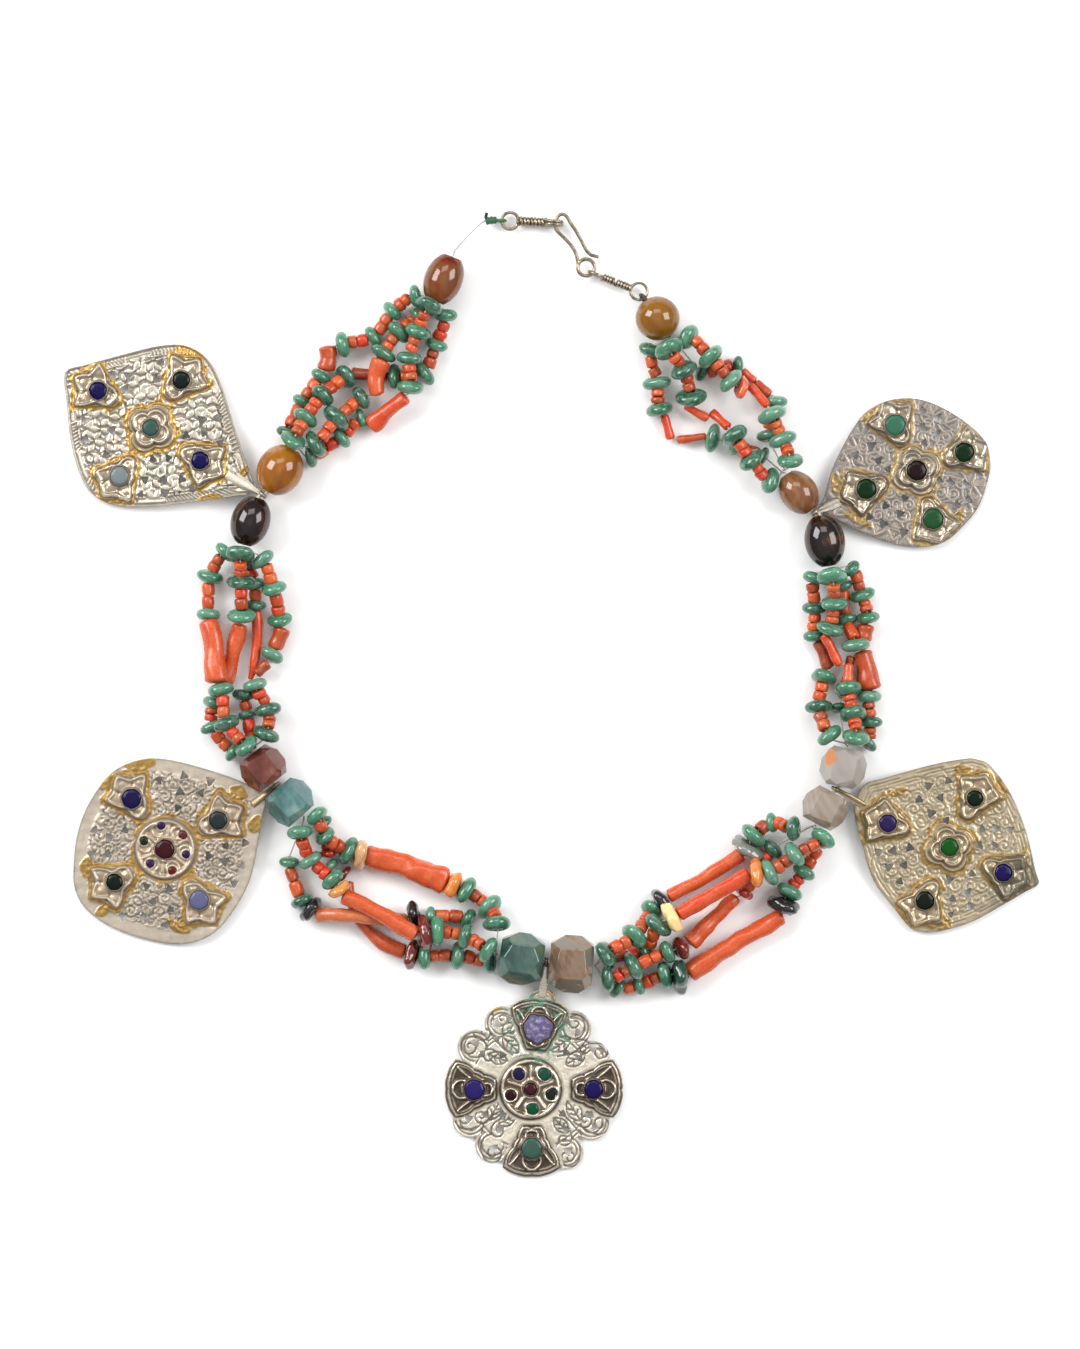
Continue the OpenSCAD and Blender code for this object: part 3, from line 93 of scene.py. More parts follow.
class Graph:
    """Short way to write a node tree."""

    def __init__(self, tree):
        self.tree = tree
        tree.nodes.clear()

    def feed(self, socket, value):
        if isinstance(value, bpy.types.NodeSocket):
            self.tree.links.new(value, socket)
        else:
            socket.default_value = value

    def put(self, kind, settings=None, **inputs):
        """New node; inputs go by name, or by number as i0, i1 and so on."""
        node = self.tree.nodes.new(kind)
        for key, value in (settings or {}).items():
            setattr(node, key, value)
        for key, value in inputs.items():
            by_number = key[0] == "i" and key[1:].isdigit()
            self.feed(node.inputs[int(key[1:]) if by_number else key.replace("_", " ")], value)
        return node

    def math(self, op, a, b=0.0, c=0.0, clamp=False):
        return self.put("ShaderNodeMath", {"operation": op, "use_clamp": clamp}, i0=a, i1=b, i2=c).outputs[0]

    def times(self, a, b):
        return self.math("MULTIPLY", a, b)

    def mix(self, fac, a, b, mode="MIX"):
        node = self.put("ShaderNodeMix", {"data_type": "RGBA", "blend_type": mode, "clamp_factor": True})
        self.feed(node.inputs[0], fac)
        for socket, value in ((node.inputs[6], a), (node.inputs[7], b)):
            plain = not isinstance(value, bpy.types.NodeSocket)
            self.feed(socket, (*value, 1.0) if plain and len(value) == 3 else value)
        return node.outputs[2]

    def step(self, value, low, high, to_low=0.0, to_high=1.0):
        settings = {"interpolation_type": "SMOOTHSTEP"}
        node = self.put("ShaderNodeMapRange", settings, i0=value, i1=low, i2=high, i3=to_low, i4=to_high)
        return node.outputs[0]

    def attribute(self, name):
        return self.put("ShaderNodeAttribute", {"attribute_name": name})

    def tint(self):
        return self.attribute("tint").outputs["Color"]

    def noise(self, scale, detail=3.0, rough=0.55, distort=0.0, vector=None):
        node = self.put("ShaderNodeTexNoise", None, Scale=scale, Detail=detail, Roughness=rough,
                        Distortion=distort)
        self.feed(node.inputs["Vector"], vector if vector is not None else self.place())
        return node.outputs["Fac"]

    def place(self):
        return self.put("ShaderNodeTexCoord").outputs["Object"]

    def distance(self, spot):
        """Distance from a spot given in millimetres, in metres."""
        spot = tuple(np.array(spot) * MM)
        node = self.put("ShaderNodeVectorMath", {"operation": "DISTANCE"}, i0=self.place(), i1=spot)
        return node.outputs["Value"]

    def bump(self, height, strength=0.4, distance=0.0002):
        node = self.put("ShaderNodeBump", None, Height=height, Strength=strength, Distance=distance)
        return node.outputs["Normal"]

    def surface(self, **inputs):
        shader = self.put("ShaderNodeBsdfPrincipled", None, **inputs)
        self.feed(self.put("ShaderNodeOutputMaterial").inputs["Surface"], shader.outputs[0])


def material(name):
    mat = bpy.data.materials.new(name)
    mat.use_nodes = True
    return mat, Graph(mat.node_tree)


def stage():
    mat, g = material("floor_paint")
    g.surface(Base_Color=(0.92, 0.92, 0.92, 1), Roughness=0.9)
    mesh = bpy.data.meshes.new("floor")
    signs = ((-1, -1), (1, -1), (1, 1), (-1, 1))
    mesh.from_pydata([(x * FLOOR_HALF, y * FLOOR_HALF, 0) for x, y in signs], [], [(0, 1, 2, 3)])
    mesh.materials.append(mat)
    floor = bpy.data.objects.new("floor", mesh)
    SCENE.collection.objects.link(floor)
    for row in LIGHTS:
        area_light(*row)
    # a grey room, lighter above, with a bright ceiling
    world = bpy.data.worlds.new("studio")
    world.use_nodes = True
    SCENE.world = world
    g = Graph(world.node_tree)
    direction = g.put("ShaderNodeTexCoord").outputs["Generated"]
    up = g.put("ShaderNodeSeparateXYZ", None, i0=direction).outputs[2]
    colour = g.mix(g.step(up, 0.2, 0.95), (0.5, 0.5, 0.51), (0.88, 0.88, 0.88))
    colour = g.mix(g.step(up, 0.93, 0.99), colour, (1.3, 1.3, 1.28))
    back = g.put("ShaderNodeBackground", None, Color=colour, Strength=0.68)
    g.feed(g.put("ShaderNodeOutputWorld").inputs["Surface"], back.outputs[0])
    SCENE.view_settings.view_transform = "Standard"


camera()
stage()


# Meshes
def unit(v):
    v = np.asarray(v, float)
    return v / np.linalg.norm(v)


def plan(degrees):
    """Unit vector along the table."""
    return np.array([math.cos(math.radians(degrees)), math.sin(math.radians(degrees)), 0.0])


def basis(axis):
    """Two unit vectors across an axis."""
    axis = unit(axis)
    side = unit(np.cross(axis, (0, 0, 1) if abs(axis[2]) < 0.9 else (1, 0, 0)))
    return side, np.cross(axis, side)


def full_turn(count):
    return np.linspace(0, 2 * math.pi, count, endpoint=False)


def curve(a, b, c, d, t):
    """Point at share t between b and c on a smooth curve through all four."""
    bend, twist = 2 * a - 5 * b + 4 * c - d, 3 * b - a - 3 * c + d
    return 0.5 * (2 * b + (c - a) * t + bend * t * t + twist * t ** 3)


def put_object(name, mesh, replaces):
    obj = bpy.data.objects.new(name, mesh)
    SCENE.collection.objects.link(obj)
    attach(obj, "root")
    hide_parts(*replaces)


class Body:
    """One piece: points in millimetres, faces, material numbers, colours and marks."""

    def __init__(self, name):
        self.name = name
        self.points, self.faces, self.slots, self.tints, self.marks = [], [], [], [], []
        self.count = 0

    def add(self, points, faces, slot=0, tint=WHITE, marks=None):
        points, faces = np.asarray(points, float), np.asarray(faces, int)
        self.points.append(points)
        self.faces.append(faces + self.count)
        self.slots.append(np.full(len(faces), slot))
        colour = np.zeros((len(points), 4))
        colour[:, :np.shape(tint)[-1]] = tint
        self.tints.append(colour)
        self.marks.append(np.zeros((len(points), 3)) if marks is None else marks)
        self.count += len(points)

    def tube(self, rings, slot=0, tint=WHITE, closed=False):
        """Skin over equal rings; closed joins the last ring to the first, else both ends get a cap."""
        rings = np.asarray(rings, float)
        count, around = rings.shape[:2]
        points = rings.reshape(-1, 3)
        i, k = np.indices((count if closed else count - 1, around)).reshape(2, -1)
        j, m = (i + 1) % count, (k + 1) % around
        faces = [np.stack([i * around + k, i * around + m, j * around + m, j * around + k], 1)]
        for ring in () if closed else (0, count - 1):
            ids = ring * around + np.arange(around)
            a, b = (np.roll(ids, -1), ids) if ring == 0 else (ids, np.roll(ids, -1))
            c = np.full(around, len(points))
            points = np.concatenate([points, points[ids].mean(0)[None]])
            faces.append(np.stack([a, b, c, c], 1))
        self.add(points, np.concatenate(faces), slot, tint)

    def build(self, materials, replaces):
        """Makes the object; a face whose last two points are one is a triangle."""
        points = np.concatenate(self.points) * MM
        faces = np.concatenate(self.faces)
        slots = np.concatenate(self.slots)
        three = faces[:, 2] == faces[:, 3]
        loops = faces.ravel()[np.stack([np.ones(len(faces), bool)] * 3 + [~three], 1).ravel()]
        starts = np.concatenate([[0], np.cumsum(np.where(three, 3, 4))[:-1]])
        mesh = bpy.data.meshes.new(self.name)
        mesh.vertices.add(len(points))
        mesh.vertices.foreach_set("co", points.astype(np.float32).ravel())
        mesh.loops.add(len(loops))
        mesh.loops.foreach_set("vertex_index", loops.astype(np.int32))
        mesh.polygons.add(len(faces))
        mesh.polygons.foreach_set("loop_start", starts.astype(np.int32))
        mesh.polygons.foreach_set("material_index", slots.astype(np.int32))
        mesh.update(calc_edges=True)
        tint = mesh.color_attributes.new("tint", "FLOAT_COLOR", "POINT")
        tint.data.foreach_set("color", np.concatenate(self.tints).astype(np.float32).ravel())
        marks = np.concatenate(self.marks)
        if marks.any():
            for k, name in enumerate(("gilt", "groove_and_shade", "height")):
                layer = mesh.attributes.new(name, "FLOAT", "POINT")
                layer.data.foreach_set("value", np.ascontiguousarray(marks[:, k], dtype=np.float32))
        for mat in materials:
            mesh.materials.append(mat)
        mesh.shade_smooth()
        put_object(self.name, mesh, replaces)


def waves(points, seed, size, count=7):
    """Smooth lumpy field with features of about the given size, from -1 to 1."""
    rng = np.random.default_rng(seed)
    total = np.zeros(len(points))
    for _ in range(count):
        k = rng.normal(size=3)
        k *= 2 * math.pi / size / np.linalg.norm(k) * rng.uniform(0.6, 1.3)
        total += np.sin(points @ k + rng.uniform(0, 6.28))
    return total / math.sqrt(count) * 0.8


def spin(body, place, axis, profile, around, slot=0, tint=WHITE, lump=0.0, size=4.0, seed=0, oval=0.0):
    """A body turned about an axis from a closed line of (along, radius) rows, with small lumps."""
    side, up = basis(axis)
    axis = unit(axis)
    rng = np.random.default_rng(seed)
    angle = full_turn(around)
    shape = 1 + oval * np.cos(2 * angle + rng.uniform(0, 6))
    shape += 0.6 * oval * np.cos(3 * angle + rng.uniform(0, 6))
    s, r = profile[:, 0][:, None], profile[:, 1][:, None]
    rows = [np.broadcast_to(s, (len(profile), around)), r * shape * np.cos(angle), r * shape * np.sin(angle)]
    local = np.stack(rows, -1).reshape(-1, 3)
    if lump:
        local = local * (1 + lump * waves(local, seed + 1, size))[:, None]
    points = place + local[:, :1] * axis + local[:, 1:2] * side + local[:, 2:] * up
    body.tube(points.reshape(len(profile), around, 3), slot, tint, closed=True)


def lens_profile(half, radius, bore, power=0.75):
    rows = []
    for t in np.linspace(-math.pi / 2, math.pi / 2, 11):
        rows.append((half * math.sin(t), bore + (radius - bore) * max(0.0, math.cos(t)) ** power))
    rows[0] = (-half * 0.96, bore)
    rows[-1] = (half * 0.96, bore)
    return np.array(rows + [(0.0, bore * 0.98)])


def barrel_profile(half, radius, bore):
    """Half of the line, shares of the half length and of the radius, mirrored."""
    shares = [(1, 0.62), (0.93, 0.84), (0.72, 0.96), (0.3, 1.0)]
    left = [(-half * 0.94, bore)] + [(-half * s, radius * r) for s, r in shares]
    return np.array(left + [(-s, r) for s, r in left[::-1]])


def sweep_rings(path, radii, around):
    """Rings along a path, carried without twist."""
    path = np.asarray(path, float)
    tangent = np.gradient(path, axis=0)
    tangent /= np.linalg.norm(tangent, axis=1)[:, None]
    side, _ = basis(tangent[0])
    angle = full_turn(around)
    rings = []
    for p, t, r in zip(path, tangent, np.broadcast_to(radii, len(path))):
        side = unit(side - t * np.dot(side, t))
        up = np.cross(t, side)
        rings.append(p + np.outer(np.cos(angle) * r, side) + np.outer(np.sin(angle) * r, up))
    return np.array(rings)


def dense(points, step):
    """Smooth curve through points, about step apart."""
    p = np.asarray(points, float)
    q = np.concatenate([[2 * p[0] - p[1]], p, [2 * p[-1] - p[-2]]])
    out = []
    for i in range(1, len(q) - 2):
        n = max(1, int(np.linalg.norm(q[i + 1] - q[i]) / step))
        out += [curve(*q[i - 1:i + 3], t) for t in np.arange(n) / n]
    return np.array(out + [p[-1]])


def wire(body, points, radius, tint=WHITE, around=10, step=0.5):
    body.tube(sweep_rings(dense(points, step), radius, around), 0, tint)


# Measured places, in millimetres, the same as in part.scad
# What a row of a strand is, and the mark of a row from which a branch runs to the next one
GREEN, CHIP, END, VIA, BRANCH = 0, 1, 2, 3, -1
# Height of the main thread, thickness of green beads and of chips over their radius, radius of the coral
# barrels, and how far past an agate its strands gather
AXIS_Z, GREEN_THICK, CHIP_THICK, CORAL_R, GATHER = 7.2, 0.84, 0.56, 1.75, 1.4
# Plate thickness, boss height, collar height and thickness, and the tilt of the plates in degrees
PLATE_T, BOSS_H, COLLAR_H, COLLAR_T, PLATE_TILT = 0.9, 2.2, 0.7, 0.8, 3.0
# Clasp: radius of its wire and of its rings
WIRE_R, RING_R = 0.5, 2.7
# Shapes of agates, and kinds of boss
OLIVE, BARREL, BALL, CUT = range(4)
TULIP, QUATREFOIL, TRAPEZE, DISC = range(4)
# Agate beads: x and y of the middle, direction of the hole, length, width, shape
AGATES = [
    [-34.5, 132.6, 248, 15.3, 12.2, BARREL],
    [-86.8, 71.6, 241, 15.8, 14.6, OLIVE],
    [-96.2, 55.2, 253, 15.6, 12.6, OLIVE],
    [-92.2, -23.6, 308, 11.4, 14.6, CUT],
    [-83.4, -34.4, 312, 11.6, 15, CUT],
    [-9.6, -84.6, 352, 14, 17, CUT],
    [6.3, -86.2, 356, 13.8, 18.6, CUT],
    [87.3, -36.4, 62, 11.4, 14.6, CUT],
    [93.2, -23.4, 78, 12.4, 14.6, CUT],
    [87.3, 49, 100, 16.4, 13, OLIVE],
    [79, 64.4, 125, 14, 12, OLIVE],
    [33.9, 120.1, 122, 14.2, 14.2, BALL]]

# Beads of each strand in order: x, y, z, bead, radius, lean or bow, coral beads up to the next row
STRAND_1_A = [
    [-43.6, 127.4, 5.8, GREEN, 3.6, 10, 2],
    [-50.8, 122.5, 4.3, GREEN, 3.7, 0, 2],
    [-57, 114.3, 4.3, GREEN, 3.6, 0, 2],
    [-66.8, 112, 4.3, GREEN, 4.1, 0, 0],
    [-71.9, 110.6, 4, END, 2.9, 0.4, BRANCH],
    [-72.2, 104.2, 3.6, END, 2.6, 0, 0],
    [-74, 101.6, 4, GREEN, 3.4, 0, 2],
    [-79.7, 93.6, 4, GREEN, 3.3, 0, 2],
    [-84.3, 83.8, 5, GREEN, 3.5, -20, 0]]
STRAND_1_B = [
    [-39.4, 123.6, 12.2, GREEN, 4.2, 15, 2],
    [-42.6, 115.8, 10.2, GREEN, 4.2, 0, 2],
    [-45.4, 107.3, 9, GREEN, 4.1, 0, 2],
    [-45.2, 98, 9.4, GREEN, 4.3, 0, 0],
    [-47.2, 94.8, 7.4, END, 2.2, 0, BRANCH],
    [-57.5, 86, 4, END, 2.8, 0, 0],
    [-60.8, 88, 3.6, GREEN, 3, 0, 2],
    [-67.4, 82.2, 4, GREEN, 3.6, 0, 2],
    [-77, 76, 3.6, GREEN, 3.4, -20, 0]]
STRAND_1_C = [
    [-42.7, 121.1, 3.6, GREEN, 3.3, 0, 2],
    [-48.8, 115.6, 6.3, GREEN, 4, 0, 2],
    [-53.8, 108.8, 7.4, GREEN, 3.9, 0, 0],
    [-54.3, 106.2, 7.6, END, 3.1, -1.2, BRANCH],
    [-55.3, 96.2, 7.2, END, 2.4, 0, 0],
    [-60.8, 94.6, 4.8, GREEN, 4, 0, 2],
    [-68.7, 88, 8.4, GREEN, 4.4, 0, 2],
    [-75.2, 79.8, 10.4, GREEN, 4.3, -10, 0]]
STRAND_1_D = [
    [-33.9, 121.1, 5.6, GREEN, 4, 10, 2],
    [-37, 111.7, 4.3, GREEN, 3.8, 0, 2],
    [-41, 102.9, 4.3, GREEN, 4.2, 0, 2],
    [-50.2, 101.4, 4.2, GREEN, 4, 0, 0],
    [-53.2, 101.9, 2.4, END, 1.9, 0, BRANCH],
    [-63.3, 102.6, 2.6, END, 1.9, 0, 0],
    [-66, 101.6, 4.2, GREEN, 3.8, 0, 2],
    [-73.2, 95.4, 8.5, GREEN, 4.1, 0, 2],
    [-78.5, 88.2, 10.2, GREEN, 4.1, 0, 2],
    [-82.4, 80.8, 13, GREEN, 3.9, -10, 0]]

STRAND_2_A = [
    [-104.5, 45.5, 6, GREEN, 3.6, 15, 2],
    [-109.2, 37.5, 4.3, GREEN, 4.1, 0, 2],
    [-110, 25.4, 4.3, GREEN, 3.8, 0, 0],
    [-109.6, 22.9, 5.4, END, 3.2, 0.8, BRANCH],
    [-107.2, 4.2, 8.4, END, 3.5, 0, 0],
    [-105.5, 1.4, 8.8, GREEN, 4, 0, 2],
    [-103.7, -9.5, 10, GREEN, 4.2, 0, 2],
    [-97.5, -16.6, 12, GREEN, 4, -5, 0]]
STRAND_2_B = [
    [-99.2, 44.4, 12.4, GREEN, 4.4, 15, 2],
    [-99.2, 35.8, 10, GREEN, 4.3, 0, 2],
    [-99, 25, 8.3, GREEN, 4.2, 0, 0],
    [-99.8, 21.8, 4.6, END, 2.6, 0, BRANCH],
    [-104.3, 4, 2.8, END, 2.4, 0, 0],
    [-108.2, -2.8, 3.8, GREEN, 3.6, 0, 2],
    [-108.6, -10.5, 3.8, GREEN, 3.5, 0, 2],
    [-102, -18.6, 4.5, GREEN, 3.5, -10, 0]]
STRAND_2_C = [
    [-97.4, 41.4, 3.6, GREEN, 3.3, 0, 1],
    [-94.8, 35.2, 3.8, GREEN, 3.6, 0, 1],
    [-95, 28.4, 3.6, GREEN, 3.4, 0, 0],
    [-94.6, 26, 3.4, END, 1.8, 1, BRANCH],
    [-96.2, 5.4, 2.6, END, 1.3, 0, 0],
    [-98.4, -0.2, 3.9, GREEN, 3.6, 0, 1],
    [-97.2, -6.8, 3.6, GREEN, 3, 0, 2]]
STRAND_2_D = [
    [-92.2, 43, 9.2, GREEN, 3.8, 0, 2],
    [-88.7, 33.8, 8, GREEN, 3.9, 0, 2],
    [-86.8, 23.8, 4.2, GREEN, 3.8, 0, 0],
    [-86.5, 20.6, 3.6, END, 3.1, 0, BRANCH],
    [-88.3, 15, 3.4, END, 2.2, 0, 0],
    [-89.5, 12.4, 4.4, GREEN, 3.8, 0, 0],
    [-91.4, 9.4, 4.6, END, 1.7, 0, BRANCH],
    [-93.9, 6.8, 5.4, END, 1.6, 0, 0],
    [-94.8, 3, 8.6, GREEN, 3.6, 0, 2],
    [-90.5, -5, 6.4, GREEN, 4.3, 0, 2],
    [-91.2, -12.8, 9, GREEN, 4.2, -10, 0]]

STRAND_3_A = [
    [-74.8, -38.8, 9.8, GREEN, 3.8, 10, 1],
    [-72.5, -45.4, 8.7, GREEN, 3.4, 0, 2],
    [-65, -50.3, 4.5, GREEN, 4.3, 0, 0],
    [-60.9, -51.3, 5, CHIP, 4.8, 0, 0],
    [-58.8, -51.4, 4.3, END, 3.4, 0.6, BRANCH],
    [-34, -60, 4.6, END, 4.1, 0, 0],
    [-31.3, -61.1, 5, CHIP, 4.8, 0, 0],
    [-27.4, -62.7, 4.8, GREEN, 4.4, 0, 2],
    [-19.9, -68.2, 5, GREEN, 4.3, 0, 2],
    [-17.4, -73.2, 10.8, GREEN, 4.4, 0, 0]]
STRAND_3_B = [
    [-80.2, -44.2, 11.2, GREEN, 4.1, 10, 2],
    [-77, -53, 7.2, GREEN, 3.8, 0, 2],
    [-69.9, -59.4, 9, GREEN, 4, 0, 0],
    [-67.7, -62.5, 9, CHIP, 4, 0, 0],
    [-66, -64.8, 8.9, END, 2.6, 0.8, BRANCH],
    [-43.8, -76.8, 10.3, END, 2.4, 0, 0],
    [-40.5, -76.4, 10, CHIP, 4.7, 0, 0],
    [-36.6, -75.6, 9.5, GREEN, 4.4, 0, 2],
    [-27.6, -77.4, 9.2, GREEN, 3.9, 0, 2],
    [-20.2, -81.4, 12, GREEN, 4.1, 0, 0]]
STRAND_3_C = [
    [-84, -53.8, 3.5, GREEN, 3.3, 0, 2],
    [-79.9, -66.2, 3.9, GREEN, 3.8, 0, 0],
    [-76.9, -68.8, 4.6, CHIP, 4.2, 0, 0],
    [-74.5, -70.6, 4.4, END, 2.3, 0, BRANCH],
    [-60.8, -71.2, 6.4, VIA, 1.85, 0, 0],
    [-47, -72.4, 2.7, END, 2.2, 0, 0],
    [-44, -71, 4.4, CHIP, 4.2, 0, 0],
    [-38.8, -71, 3.4, GREEN, 3.2, 0, 2],
    [-26.6, -72, 3.6, GREEN, 3.4, 0, 0]]
STRAND_3_D = [
    [-73.2, -41.2, 3.3, GREEN, 3, 0, 2],
    [-71.5, -50.9, 3.2, CHIP, 3, 0, 0],
    [-70.8, -55, 3, GREEN, 2.8, 0, 0],
    [-66.4, -57.6, 3, CHIP, 2.8, 0, 0],
    [-64.6, -60.6, 2.6, END, 1.8, 0, BRANCH],
    [-59.8, -74.3, 2.3, VIA, 1.5, 0, 0],
    [-47.3, -82.2, 2.6, END, 2.4, 0, 0],
    [-44.6, -83, 4.3, CHIP, 4.2, 0, 0],
    [-40.7, -83.9, 4.1, GREEN, 4, 0, 2],
    [-30, -83.6, 4.3, GREEN, 4.2, 0, 2],
    [-19.8, -85.8, 4, GREEN, 3.7, 0, 0]]

STRAND_4_A = [
    [17.4, -82.6, 12.2, GREEN, 4.4, 10, 2],
    [26.5, -77.2, 10.5, GREEN, 4.5, 0, 2],
    [32, -69, 4.1, GREEN, 3.8, 0, 0],
    [35.2, -66.2, 4.6, CHIP, 4.3, 0, 0],
    [38, -64.4, 3.2, END, 2.1, -0.6, BRANCH],
    [60.3, -51.6, 3.6, END, 2.1, 0, 0],
    [63, -49.4, 5, CHIP, 4.8, 0, 0],
    [64.6, -45.2, 6.5, GREEN, 4.4, 0, 1],
    [70.5, -41.1, 5.5, GREEN, 3.1, 0, 2],
    [77.2, -42.8, 11.2, GREEN, 4.2, 0, 0]]
STRAND_4_B = [
    [18, -84.6, 3.8, GREEN, 3.5, 0, 2],
    [30, -81.8, 3.6, GREEN, 3.4, 0, 2],
    [34.2, -73.8, 10.6, GREEN, 4.4, -20, 0],
    [38.6, -71.6, 11.3, CHIP, 5, 0, 0],
    [41.2, -70.2, 10.6, END, 2.4, 0, BRANCH],
    [62.4, -57.6, 10, END, 2.3, 0, 0],
    [65.4, -57.3, 10.3, CHIP, 4.6, 0, 0],
    [69.6, -57, 10, GREEN, 4.3, 0, 2],
    [77.7, -51.3, 10.5, GREEN, 4.5, 0, 2],
    [86.6, -46, 11, GREEN, 3.9, -10, 0]]
STRAND_4_C = [
    [18, -91, 10.3, GREEN, 3.9, 0, 2],
    [26.2, -87.1, 8.6, GREEN, 4.3, 0, 2],
    [36.9, -82.4, 8, GREEN, 3.9, 0, 0],
    [41.2, -81.2, 6.6, CHIP, 3.9, 0, 0],
    [44.6, -79.2, 5, END, 3, 0, BRANCH],
    [58.6, -65.4, 2.8, END, 2, 0, 0],
    [61.6, -63.6, 3.4, CHIP, 3.3, 0, 3],
    [70.9, -49.6, 3.9, GREEN, 3.8, 0, 0]]
STRAND_4_D = [
    [21.2, -94, 3.6, GREEN, 3.4, 0, 1],
    [28, -93.2, 3.4, GREEN, 3.2, 0, 2],
    [36.4, -89.9, 5, GREEN, 4.2, 0, 0],
    [41.1, -90.3, 5.6, CHIP, 5.2, 0, 0],
    [44.4, -89, 4, END, 3.2, 0.5, BRANCH],
    [73.4, -71.6, 4, END, 2.5, 0, 0],
    [74.2, -67.6, 5.6, CHIP, 5.4, 0, 0],
    [75.9, -63.2, 4.6, GREEN, 4.3, 0, 2],
    [80.8, -57, 4.3, GREEN, 4, 0, 2],
    [85.8, -47.6, 3.6, GREEN, 3.2, 0, 0]]

STRAND_5_A = [
    [83.8, 37.2, 6, GREEN, 3.7, 10, 2],
    [84.2, 27.6, 4.2, GREEN, 3.9, 0, 2],
    [84, 18.7, 3.7, GREEN, 3.3, 0, 0],
    [85.5, 16.2, 2.6, END, 1.9, 0, BRANCH],
    [88.6, 8.8, 2.8, END, 1.9, 0, 0],
    [87.2, 5.4, 4.5, GREEN, 4.2, 0, 2],
    [85.4, -4.1, 5.5, GREEN, 4.1, 0, 2],
    [88.7, -13.2, 8.6, GREEN, 4.2, -10, 0]]
STRAND_5_B = [
    [89.6, 37.4, 12.6, GREEN, 4.6, 15, 2],
    [90.2, 29, 9.6, GREEN, 4.4, 0, 2],
    [88.9, 20.9, 8.3, GREEN, 4.1, 0, 0],
    [87.4, 18.4, 7, END, 1.5, 0, BRANCH],
    [91.8, 9.8, 6.5, END, 1.4, 0, 0],
    [95, 8.8, 6, END, 1.5, 0, BRANCH],
    [94.8, 4.4, 7, END, 1.8, 0, 0],
    [94.6, 1.7, 8, GREEN, 4.4, 0, 2],
    [96.2, -6.3, 9.7, GREEN, 4.4, 0, 2],
    [97, -13.8, 12.9, GREEN, 4.4, -5, 0]]
STRAND_5_C = [
    [92.9, 34.8, 3.8, GREEN, 3.5, 0, 2],
    [94.2, 23.8, 3.6, GREEN, 3.4, 0, 1],
    [97.1, 15.6, 7.4, GREEN, 4.1, 0, 0],
    [95.8, 11.4, 3, END, 1.5, 0, BRANCH],
    [93.4, -0.6, 1.8, END, 1.5, 0, 0],
    [92, -4.4, 3.2, GREEN, 2.8, 0, 0]]
STRAND_5_D = [
    [96, 40.2, 7.5, GREEN, 3.1, 0, 2],
    [99.3, 31.7, 4.4, GREEN, 3.9, 0, 2],
    [101.2, 24.4, 5, GREEN, 3.7, 0, 0],
    [100.6, 21.6, 3.6, END, 2.6, 0, BRANCH],
    [100, 17.6, 3.6, END, 2.5, 0, 0],
    [100, 13.2, 3.4, END, 3, 0, BRANCH],
    [102, 2, 4, END, 3.6, 0, 0],
    [101.4, -0.8, 4.2, GREEN, 4, 0, 2],
    [101.9, -9, 4, GREEN, 3.6, 0, 2],
    [101.2, -15.8, 3.8, GREEN, 3, 0, 0]]

STRAND_6_A = [
    [31.8, 110, 5, GREEN, 3.9, 0, 2],
    [33.8, 99.5, 4.3, GREEN, 4.2, 0, 2],
    [34.4, 91, 4.4, GREEN, 4.3, 0, 0],
    [36.2, 88.6, 3, END, 1.4, 0, BRANCH],
    [38.2, 82.4, 2.6, END, 1.3, 0, 0],
    [41, 81.4, 2.5, END, 1.3, 0, BRANCH],
    [48.8, 82.4, 2.8, END, 1.2, 0, 0],
    [51.6, 81.9, 4.3, GREEN, 4.2, 0, 0],
    [58.8, 79.6, 3.6, GREEN, 3.3, 0, 2],
    [67.6, 76, 3.4, GREEN, 3, 0, 0]]
STRAND_6_B = [
    [37.4, 110, 12.8, GREEN, 4.6, 15, 2],
    [42.2, 103.6, 9.6, GREEN, 4.4, 0, 2],
    [44.5, 94.9, 7, GREEN, 4.5, 0, 0],
    [43.4, 91.8, 4, END, 1.3, 0, BRANCH],
    [49.4, 88.5, 3.6, END, 1.3, 0, 0],
    [51.9, 89.8, 3.8, END, 1.5, 0, BRANCH],
    [56, 85.6, 7.5, END, 1.5, 0, 0],
    [58.2, 82.3, 11.6, GREEN, 4.5, 0, 2],
    [63.7, 74.7, 10.8, GREEN, 4.4, 0, 2],
    [69.9, 68.2, 7.8, GREEN, 4.2, 0, 0]]
STRAND_6_C = [
    [43.9, 114.2, 7.2, GREEN, 4.2, 10, 2],
    [50.8, 107.7, 10, GREEN, 4.4, 0, 2],
    [57.2, 100.2, 9, GREEN, 4.2, 0, 0],
    [60.6, 98, 7.6, CHIP, 3.4, 0, 0],
    [64, 98, 6.4, END, 1.4, 0, BRANCH],
    [68.6, 92.6, 8, END, 1.3, 0, 0],
    [70.4, 89.2, 10.3, GREEN, 4.3, 0, 2],
    [73.8, 81.2, 9.7, GREEN, 4.3, 0, 2],
    [76, 74.4, 12.7, GREEN, 4.2, -5, 0]]
STRAND_6_D = [
    [48.2, 103.4, 3.6, GREEN, 3.3, 0, 3],
    [59.6, 105.2, 3.6, GREEN, 3.3, 0, 0],
    [61.6, 103, 2.4, END, 1.3, 0, BRANCH],
    [64.6, 100.6, 2.2, END, 1.2, 0, 0],
    [65.8, 99.2, 2.4, END, 1.6, 0, BRANCH],
    [69.4, 96.2, 2.6, END, 1.6, 0, 0],
    [72, 93.6, 3.8, GREEN, 3.5, 0, 2],
    [69.3, 82.8, 3.6, GREEN, 3.5, 0, 0]]

